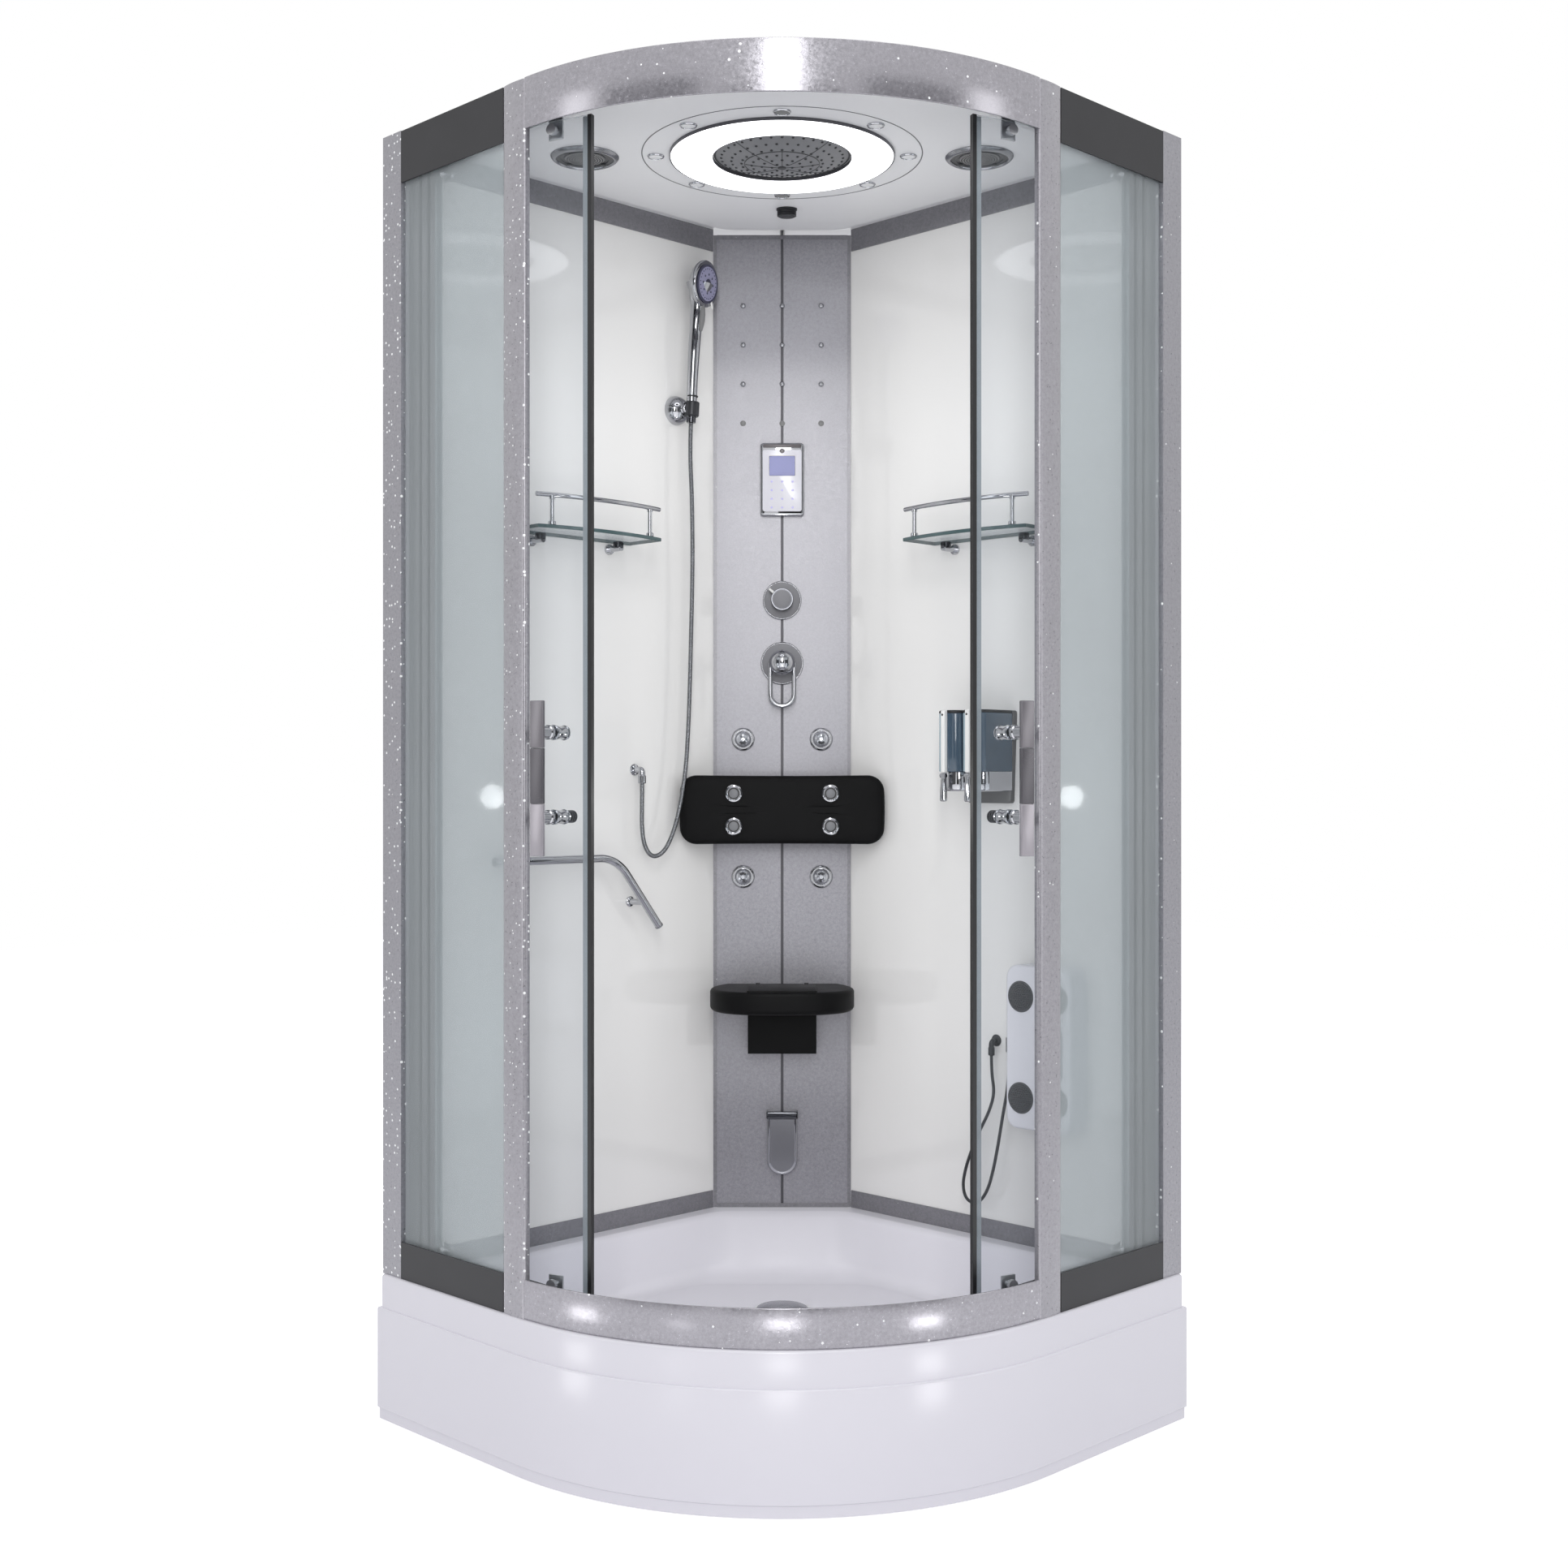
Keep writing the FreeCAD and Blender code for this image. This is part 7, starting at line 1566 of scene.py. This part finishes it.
def makeOutlet():
    spec = outlet
    half, low, split = spec["width"] / 2, spec["low"], spec["high"] - spec["cap"]
    cover = Shape(onColumn())

    def archLoop(inset):
        lower = [(-(half - inset) * math.cos(math.pi * i / 24),
                  low + half - (half - inset) * math.sin(math.pi * i / 24)) for i in range(25)]
        return lower + [(half - inset, split - inset * 0.2), (-half + inset, split - inset * 0.2)]

    def plate(levels, look, grow=0.0):
        cover.addRings([[(x, y, z) for x, y in archLoop(inset + grow)]
                        for inset, z in levels], look)

    plate(edgeLevels(0.1, spec["thick"], 0, 3.4), looks["chrome"])
    plate([(0, spec["thick"] - 2), (0, spec["thick"] + 0.3), (0.8, spec["thick"] + 0.8)],
          looks["satinChrome"], 5.5)
    cover.addBlock(rectangle(spec["width"] + 2, spec["cap"], 0, spec["high"] - spec["cap"] / 2),
                   [2.5] * 4, edgeLevels(0.1, spec["capThick"], 0, 3), looks["darkChrome"], 5)
    seat(cover.build("steam_outlet_finished"), "cabin", ["steam_outlet"])


looks["jetGrey"] = makeFinish("jet_grey", (122, 123, 126), 0.4, 0.0, shade=0.08, gloss=0.3)
makeBackrest()
makeSeatBoard()
makeOutlet()
dress("seatBlack", "seat_bracket")
print("backrest, seat and steam outlet made")


handset = {"holder": (-300, 1663), "holderRadius": 26, "holderOut": 24, "tip": 8,
           "base": (-291, 1640, 62), "head": (-274, 1886, 77), "face": (0.30, -0.12, 1.0),
           "headRadius": 41, "spray": 34, "side": (0.55, -0.83, 0.1), "sag": 3.5,
           # the grip's radius at each share of its length
           "grip": [(0, 7.6), (0.05, 8.2), (0.2, 9.2), (0.62, 10.6), (0.82, 12), (0.93, 17),
                    (1, 24)]}


def aimed(base, place, ahead, up=(0, 1, 0)):
    # a frame at a point of another frame, its z looking ahead
    forward = Vector(ahead).normalized()
    side = Vector(up).cross(forward).normalized()
    above = forward.cross(side)
    turn = Matrix((side, above, forward)).transposed().to_4x4()
    return base @ Matrix.Translation(place) @ turn


def easeBetween(stops, share):
    for (near, low), (far, high) in zip(stops, stops[1:]):
        if share <= far:
            step = (share - near) / (far - near)
            step = step * step * (3 - 2 * step)
            return low + (high - low) * step
    return stops[-1][1]


def makeHandset():
    spec, wall = handset, onWall("left")
    base, head = Vector(spec["base"]), Vector(spec["head"])
    face = Vector(spec["face"]).normalized()
    nape = head - face * 9
    path = [base.lerp(nape, i / 40) + Vector((0, 0, -spec["sag"] * math.sin(math.pi * i / 40)))
            for i in range(41)]
    piece = Shape(wall)
    piece.addTube(path, lambda share: easeBetween(spec["grip"], share), looks["chrome"], 32)
    top = aimed(wall, spec["head"], face)
    piece.frame = top
    radius = spec["headRadius"]
    piece.addTurned([(0, -17), (16, -16.4), (27, -13.6), (35, -8.6), (39.6, -2.4), (radius, 1.2),
                     (radius, 4), (radius - 1, 5.6), (radius - 3.6, 6.1), (0, 6.1)],
                    looks["chrome"], 64)
    # the nut at the hose, the slit above it and the grey tongue below the face
    piece.frame = wall
    axis = (nape - base).normalized()
    piece.addTube([base - axis, base + axis * 12], 8.2, looks["darkChrome"], 12)
    piece.addTube([base + axis * 45, base + axis * 47], 9.75, looks["sealBlack"], 32)
    tongue = [base.lerp(nape, share) + face * (8.5 + 4 * (share - 0.62))
              for share in (0.66, 0.7, 0.74, 0.78, 0.82, 0.86)]
    piece.addTube(tongue, lambda s: 6.2 * math.sin(math.pi * min(max(s, 0.06), 0.94)) ** 0.5,
                  looks["plugGrey"], 20)
    # the swivel that grips it
    tipOut = cabin["panelFace"] + spec["holderOut"] + spec["tip"] + 0.3
    along, up = spec["holder"]
    piece.addTube([Vector((along + 9, up - 13, tipOut)) + axis * h for h in (0, 1.5, 24.5, 26)],
                  lambda s: 12.9 if 0.04 < s < 0.96 else 11.6, looks["elbowGrey"], 32)
    seat(piece.build("hand_shower_finished", 40), "handset", ["hand_shower"])

    plate = Shape(top)
    edge = spec["spray"]
    plate.addTurned([(0, 6.4), (edge - 0.6, 6.4), (edge, 7), (edge, 8.6), (edge - 1.2, 9.4),
                     (edge - 3, 9.3), (edge - 3.6, 8.6), (0, 8.6)], looks["sprayRubber"], 56)
    plate.addTurned([(0, 7.8), (edge - 3.8, 7.8), (edge - 4.4, 8.9), (0, 9.4)],
                    looks["sprayLilac"], 56)
    plate.addTurned([(0, 8.4), (9, 8.4), (8.4, 9.9), (0, 10.2)], looks["sprayRubber"], 24)
    side = Vector(spec["side"])
    way = (side - face * side.dot(face)).normalized()
    plate.frame = aimed(wall, head + face * 7.9 + way * (edge - 2), face, up=face.cross(way))
    plate.addBlock(rectangle(15, 4.6, 6.5, 0), [1.8] * 4, edgeLevels(-1.3, 1.4, 0.5, 0.8),
                   looks["clipWhite"], 5)
    seat(plate.build("spray_selector_finished"), "selector", ["spray_selector"])
    for name, count, reach, size in (("wide", 8, 16.5, 2.1), ("fine", 24, 26.0, 1.15)):
        dots = grow("spray_dots_" + name, "circle", top @ Matrix.Translation((0, 0, 9.1)), {
            "Count": count, "Circle": reach, "Radius": size, "Height": 0.9,
            "Finish": looks["sprayRubber"]})
        seat(dots, "selector")


def makeHolder():
    spec = handset
    along, up = spec["holder"]
    holder = Shape(onWall("left", along, up, cabin["panelFace"]))
    radius, out, tip = spec["holderRadius"], spec["holderOut"], spec["tip"]
    dome = [(radius * math.cos(a) ** 0.9, out * math.sin(a)) for a in
            (math.radians(72) * i / 12 for i in range(13))]
    rod = [(tip + 1, out), (tip, out + 1), (tip, out + tip - 1), (tip - 1, out + tip),
           (0, out + tip)]
    holder.addTurned([(0, 0.1), (radius, 0.1)] + dome + rod, looks["chrome"], 48)
    seat(holder.build("handset_holder_finished"), "cabin", ["handset_holder"])


elbows = {"left": {"along": -397, "up": 1022, "out": 52, "radius": 7},
          "right": {"along": 545, "up": 563, "out": 45, "radius": 5.6}}


def makeElbows():
    pieces = Shape()
    for wall, spec in elbows.items():
        look = looks["chrome" if wall == "left" else "elbowGrey"]
        pieces.frame = onWall(wall, spec["along"], spec["up"], cabin["panelFace"])
        depth, radius = spec["out"] - cabin["panelFace"], spec["radius"]
        neck = radius * 0.8
        pieces.addTurned([(0, 0.1), (10, 0.1), (10, 1.6), (8.6, 3.4), (neck, 4.4), (neck, 6),
                          (0, 6)], look, 32)
        bend = [(0, -6 + 6 * math.cos(angle), depth - 6 + 6 * math.sin(angle))
                for angle in quarterTurn(8)]
        pieces.addTube([(0, 0, 3)] + bend + [(0, -14, depth)], neck, look, 24)
        pieces.addTube([(0, -10, depth), (0, -11, depth), (0, -23, depth), (0, -24, depth)],
                       lambda s: radius if 0.1 < s < 0.9 else radius - 0.8, look, 12)
    seat(pieces.build("hose_elbows_finished"), "cabin", ["hose_elbows"])


grabBar = {"out": 70, "radius": 7, "height": 871, "left": 725, "bend": 470, "tip": (374, 750),
           "bendRadius": 75, "foot": 690, "footDrop": 79, "footRadius": 5.2}


def makeGrabBar():
    spec, bar = grabBar, Shape(onWall("left"))
    out, up, radius = spec["out"], spec["height"], spec["radius"]
    corner, start = Vector((-spec["bend"], up)), Vector((-spec["left"], up))
    tip = Vector((-spec["tip"][0], spec["tip"][1]))
    ahead = (tip - corner).normalized()
    turn = Vector((1, 0)).angle(ahead)
    away = spec["bendRadius"] * math.tan(turn / 2)
    centre = corner + Vector((-away, -spec["bendRadius"]))
    path = [start.lerp(corner - Vector((away, 0)), i / 6) for i in range(7)]
    path += [centre + Vector((math.sin(angle), math.cos(angle))) * spec["bendRadius"]
             for angle in (turn * i / 14 for i in range(1, 15))]
    path += [path[-1].lerp(tip, i / 5) for i in range(1, 6)]
    bar.addTube([(x, y, out) for x, y in path], radius, looks["chrome"], 28)
    drop = spec["footDrop"]
    feet = [Vector((-spec["foot"], up)), corner + (tip - corner) * (drop / (up - tip.y))]
    for foot in feet:
        bar.frame = onWall("left", foot.x, foot.y, 0)
        face, rod = cabin["panelFace"], spec["footRadius"]
        bar.addTurned([(0, face + 0.1), (9, face + 0.1), (9, face + 2), (7.6, face + 3.6),
                       (rod, face + 4.2), (rod, out - 2), (0, out - 2)], looks["chrome"], 32)
    # caps at both ends
    bar.frame = onWall("left")
    for end, way in ((start, Vector((-1, 0))), (tip, ahead)):
        bar.addTube([(*(end + way * reach), out) for reach in (-1.2, 1.2)], radius + 0.5,
                    looks["satinChrome"], 28)
    seat(bar.build("grab_bar_finished", 40), "cabin", ["grab_bar"])


makeHandset()
makeHolder()
makeElbows()
makeGrabBar()
print("left wall made")


shelf = {"centre": 539, "long": 264, "height": 1413, "glass": 6, "out": 114, "bow": 18,
         "railUp": 55, "rod": 4.0, "post": 3.6, "postAlong": 105,
         "puckAlong": 84, "puckRadius": 9, "railIn": 6}


def bowedLine(reach, line, bow, steps=36):
    radius = (reach * reach + bow * bow) / (2 * bow)
    return [(x, line + bow - radius + math.sqrt(radius ** 2 - x ** 2))
            for x in (-reach + 2 * reach * i / steps for i in range(steps + 1))]


def makeShelves():
    spec = shelf
    glass, metal = Shape(), Shape()
    reach, face, low = spec["long"] / 2, cabin["panelFace"], spec["height"]
    front = bowedLine(reach, spec["out"], spec["bow"])
    outline = [(-reach, face + 0.2)] + front + [(reach, face + 0.2)]
    puckUp, puckOut = low - 11, face + 26
    rail = bowedLine(reach, spec["out"] - spec["railIn"], spec["bow"])
    for flip in (False, True):
        base = onWall("right", spec["centre"])
        glass.frame = metal.frame = mirrorFrame(base) if flip else base
        top = low + spec["glass"]
        rings = [[(x, height, out) for x, out in insetLoop(outline, inset)] for inset, height in
                 ((0.7, low), (0, low + 0.7), (0, top - 0.7), (0.7, top))]
        glass.addRings(rings, looks["glassEdge"])
        # the last two faces are the sheet's underside and top
        glass.looks[-2:] = [looks["clearGlass"]] * 2
        up = low + spec["railUp"]
        metal.addTube([(x, up, out) for x, out in rail], spec["rod"], looks["chrome"], 16)
        for side in (-1, 1):
            along = side * spec["postAlong"]
            out = min(rail, key=lambda point: abs(point[0] - along))[1]
            metal.addTube([(along, top + rise, out) for rise in (0, 0.6, 5, 6)],
                          lambda s: 6.4 if 0.05 < s < 0.95 else 5.6, looks["chrome"], 20)
            metal.addTube([(along, top + 5, out), (along, up, out)], spec["post"],
                          looks["chrome"], 16)
            metal.addTube([(along, up - 7, out), (along, up - 3.2, out)], spec["post"] + 1.4,
                          looks["chrome"], 16)
            puck, wide = side * spec["puckAlong"], spec["puckRadius"]
            metal.addTube([(puck, puckUp, face), (puck, puckUp, face + 4)], wide,
                          looks["chrome"], 28)
            metal.addTube([(puck, puckUp, face + 3), (puck, puckUp, face + 34)], 5,
                          looks["chrome"], 20)
            metal.addTube([(puck, low - drop, puckOut) for drop in (11, 10, 1, 0)],
                          lambda s: wide if 0.05 < s < 0.95 else wide - 1, looks["darkChrome"], 28)
    seat(glass.build("shelf_glasses_polished", 20), "cabin", ["shelf_glasses"])
    seat(metal.build("shelf_rails_finished"), "cabin", ["shelf_rails"])


soap = {"centre": 536, "width": 106, "plate": 10, "low": 965, "split": 1018, "high": 1121,
        "depth": 84, "tank": 48, "rib": 9, "ribThick": 7, "leverLow": 968,
        "leverHigh": 1015.5, "leverWide": 12}


def makeTankLook():
    # smoked plastic: a painted reflection makes the near half of each tank pale; the other half keeps the
    # dark smoked tint
    material, tree, shader = newFinish("smoked_tank")
    place = axisOf(tree, objectPlace(tree), 0)
    gap = (soap["tank"] / 2 + 2) * millimetre
    middle = (soap["centre"] - cabin["half"]) * millimetre
    shift = place - (middle - gap) - (place > middle) * (2 * gap)
    # the split between the painted reflection and the smoked tint
    paintedReflectionSplit = tree.add("ShaderNodeMapRange", None, {0: shift, 1: -0.003, 2: 0.003})
    cloud = noise(tree, 30.0)
    pale = tree.mixColours(cloud, colourOf(168, 190, 200), colourOf(188, 206, 214))
    dark = tree.mixColours(cloud, colourOf(56, 72, 88), colourOf(74, 92, 108))
    feed(tree, shader, {"Base Color": tree.mixColours(paintedReflectionSplit, pale, dark),
                        "Roughness": 0.1 + cloud * 0.06, "Coat Weight": 0.4})
    return material


def makeDispenser():
    spec, body = soap, Shape(onWall("right", soap["centre"], 0, cabin["panelFace"]))
    wide, low, high = spec["width"] / 2, spec["low"], spec["high"]
    body.addBlock([(-wide + 6, low), (wide - 6, low), (wide, high), (-wide, high)], [5] * 4,
                  edgeLevels(0.1, spec["plate"], 0, 2.5), looks["soapPlate"], 5)
    tank, front = spec["tank"] / 2, spec["plate"] + spec["depth"]
    back, curve = spec["plate"] + 0.1, 14
    recess = front - curve - 9
    for side in (-1, 1):
        middle = side * (tank + 2)

        def addTank(levels, reach, look):
            rings = []
            for inset, height in levels:
                half = tank - inset
                bow = [(x + middle, y) for x, y in bowedLine(half, reach - inset, curve, 16)]
                loop = [(middle - half, back)] + bow + [(middle + half, back)]
                rings.append([(x, height, out) for x, out in loop])
            body.addRings(rings, look)

        addTank(edgeLevels(spec["split"], high - 5, 1, 1.2), front - curve, looks["smokedTank"])
        addTank([(0, high - 5), (0, high - 2), (0.8, high - 0.6), (2.4, high)], front - curve,
                looks["sealBlack"])
        addTank(edgeLevels(low + 20, spec["split"], 5, 0.4), recess, looks["chrome"])
        ribLow = spec["leverHigh"] + 0.5
        body.addBlock(rectangle(spec["rib"], high - ribLow, middle, (high + ribLow) / 2),
                      [2.5] * 4, edgeLevels(front - 4, front + spec["ribThick"], 0, 2.4),
                      looks["clipWhite"], 5)
        name = "right" if side > 0 else "left"
        body.frame = onWall("right", soap["centre"] + middle, high - 8, cabin["panelFace"])
        body.addTurned([(0, front + 5), (1.9, front + 5), (1.9, front + 7.2), (1.2, front + 7.8),
                        (0, front + 7.8)], looks["sealBlack"], 20)
        body.frame = onWall("right", soap["centre"], 0, cabin["panelFace"])
        lever = Shape(onWall("right", soap["centre"] + middle, 0, cabin["panelFace"]))
        narrow, wideFoot = spec["leverWide"] * 0.36, spec["leverWide"] / 2
        lowEnd, highEnd = spec["leverLow"], spec["leverHigh"]
        flare = [(-wideFoot, lowEnd), (wideFoot, lowEnd), (wideFoot, lowEnd + 16),
                 (narrow, highEnd - 16), (narrow, highEnd), (-narrow, highEnd),
                 (-narrow, highEnd - 16), (-wideFoot, lowEnd + 16)]
        lever.addBlock(flare, [3, 3, 8, 8, 2, 2, 8, 8],
                       edgeLevels(front + 0.6, front + 7.2, 1.6, 2.2), looks["chrome"], 4)
        knuckle = [(x, highEnd - 4, front + 4) for x in (-5.6, 5.6)]
        lever.addTube(knuckle, 3.6, looks["chrome"], 20)
        seat(lever.build("soap_lever_" + name + "_finished"), "soap_lever_" + name,
             ["dispenser_lever_" + name])
    seat(body.build("soap_dispenser_finished"), "cabin", ["soap_dispenser"])


massager = {"centre": 664, "width": 133, "tall": 270, "height": 564, "depth": 43, "round": 21,
            "disc": 26, "discAlong": 34.6, "discUp": 83.5, "slot": (43, -7, 14, 79)}


def makeMassager():
    spec = massager
    wide, tall, depth = spec["width"], spec["tall"], spec["depth"]
    body = Shape(onWall("right", spec["centre"], spec["height"], cabin["panelFace"]))
    along, up, slotWide, slotTall = spec["slot"]
    slot, count, rings = rectangle(slotWide, slotTall, along, up), 200, []

    def ring(corners, radius, steps, inset, height):
        loop = roundLoop(insetLoop(corners, inset), [radius] * 4, steps)
        rings.append([(x, y, height) for x, y in centredLoop(loop, count, (along, up))])

    # the body is a ring round the grip slot: outer outline and slot outline joined at both faces
    for inset, height in [(0, 0.1)] + edgeLevels(0.1, depth, 0, 6, 5)[4:]:
        ring(rectangle(wide, tall), max(spec["round"] - inset, 1), 10, inset, height)
    for inset, height in ((-1.6, depth), (-0.4, depth - 0.5), (0, depth - 1.8), (0, 0.1)):
        ring(slot, 4 - inset, 6, inset, height)
    body.addRings(rings, looks["massagerWhite"], wrap=True)
    # the first two rows are the body's side
    body.looks[:count * 2] = [looks["massagerSide"]] * (count * 2)
    # the hose's port
    body.addTube([(-wide / 2 - 9, -14, 22), (-wide / 2 - 9, 10, 22)], 5, looks["elbowGrey"], 20)
    body.addTube([(-wide / 2 - 9, 4, 22), (-wide / 2 + 3, 4, 22)], 3.5, looks["elbowGrey"], 16)
    places = [onWall("right", spec["centre"] + x, spec["height"] + y, cabin["panelFace"] + depth)
              for x in (-spec["discAlong"], spec["discAlong"])
              for y in (-spec["discUp"], spec["discUp"])]
    radius = spec["disc"]
    for place in places:
        body.frame = place
        body.addTurned([(0, -2), (radius, -2), (radius, 0.4), (radius - 1.4, 1.6),
                        (radius - 3, 2.0), (0, 2.4)], looks["massagerGrey"], 48)
    seat(body.build("foot_massager_finished", 40), "cabin", ["foot_massager"])
    for number, place in enumerate(places, start=1):
        nubs = grow("massager_nubs_%d" % number, "rings", place, {
            "Rings": 6, "Step": 3.7, "Crown": 2.4, "Edge": 60.0, "Radius": 1.25, "Height": 1.6,
            "Finish": looks["massagerNub"]})
        seat(nubs, "cabin")


looks["smokedTank"] = makeTankLook()
looks["massagerSide"] = makeFinish("massager_side", (150, 154, 160), 0.35, 0.1, shade=0.05)
looks["massagerNub"] = makeFinish("massager_nub", (66, 67, 70), 0.5, 0.0, shade=0.1)
makeShelves()
makeDispenser()
makeMassager()
print("shelves and right wall made")
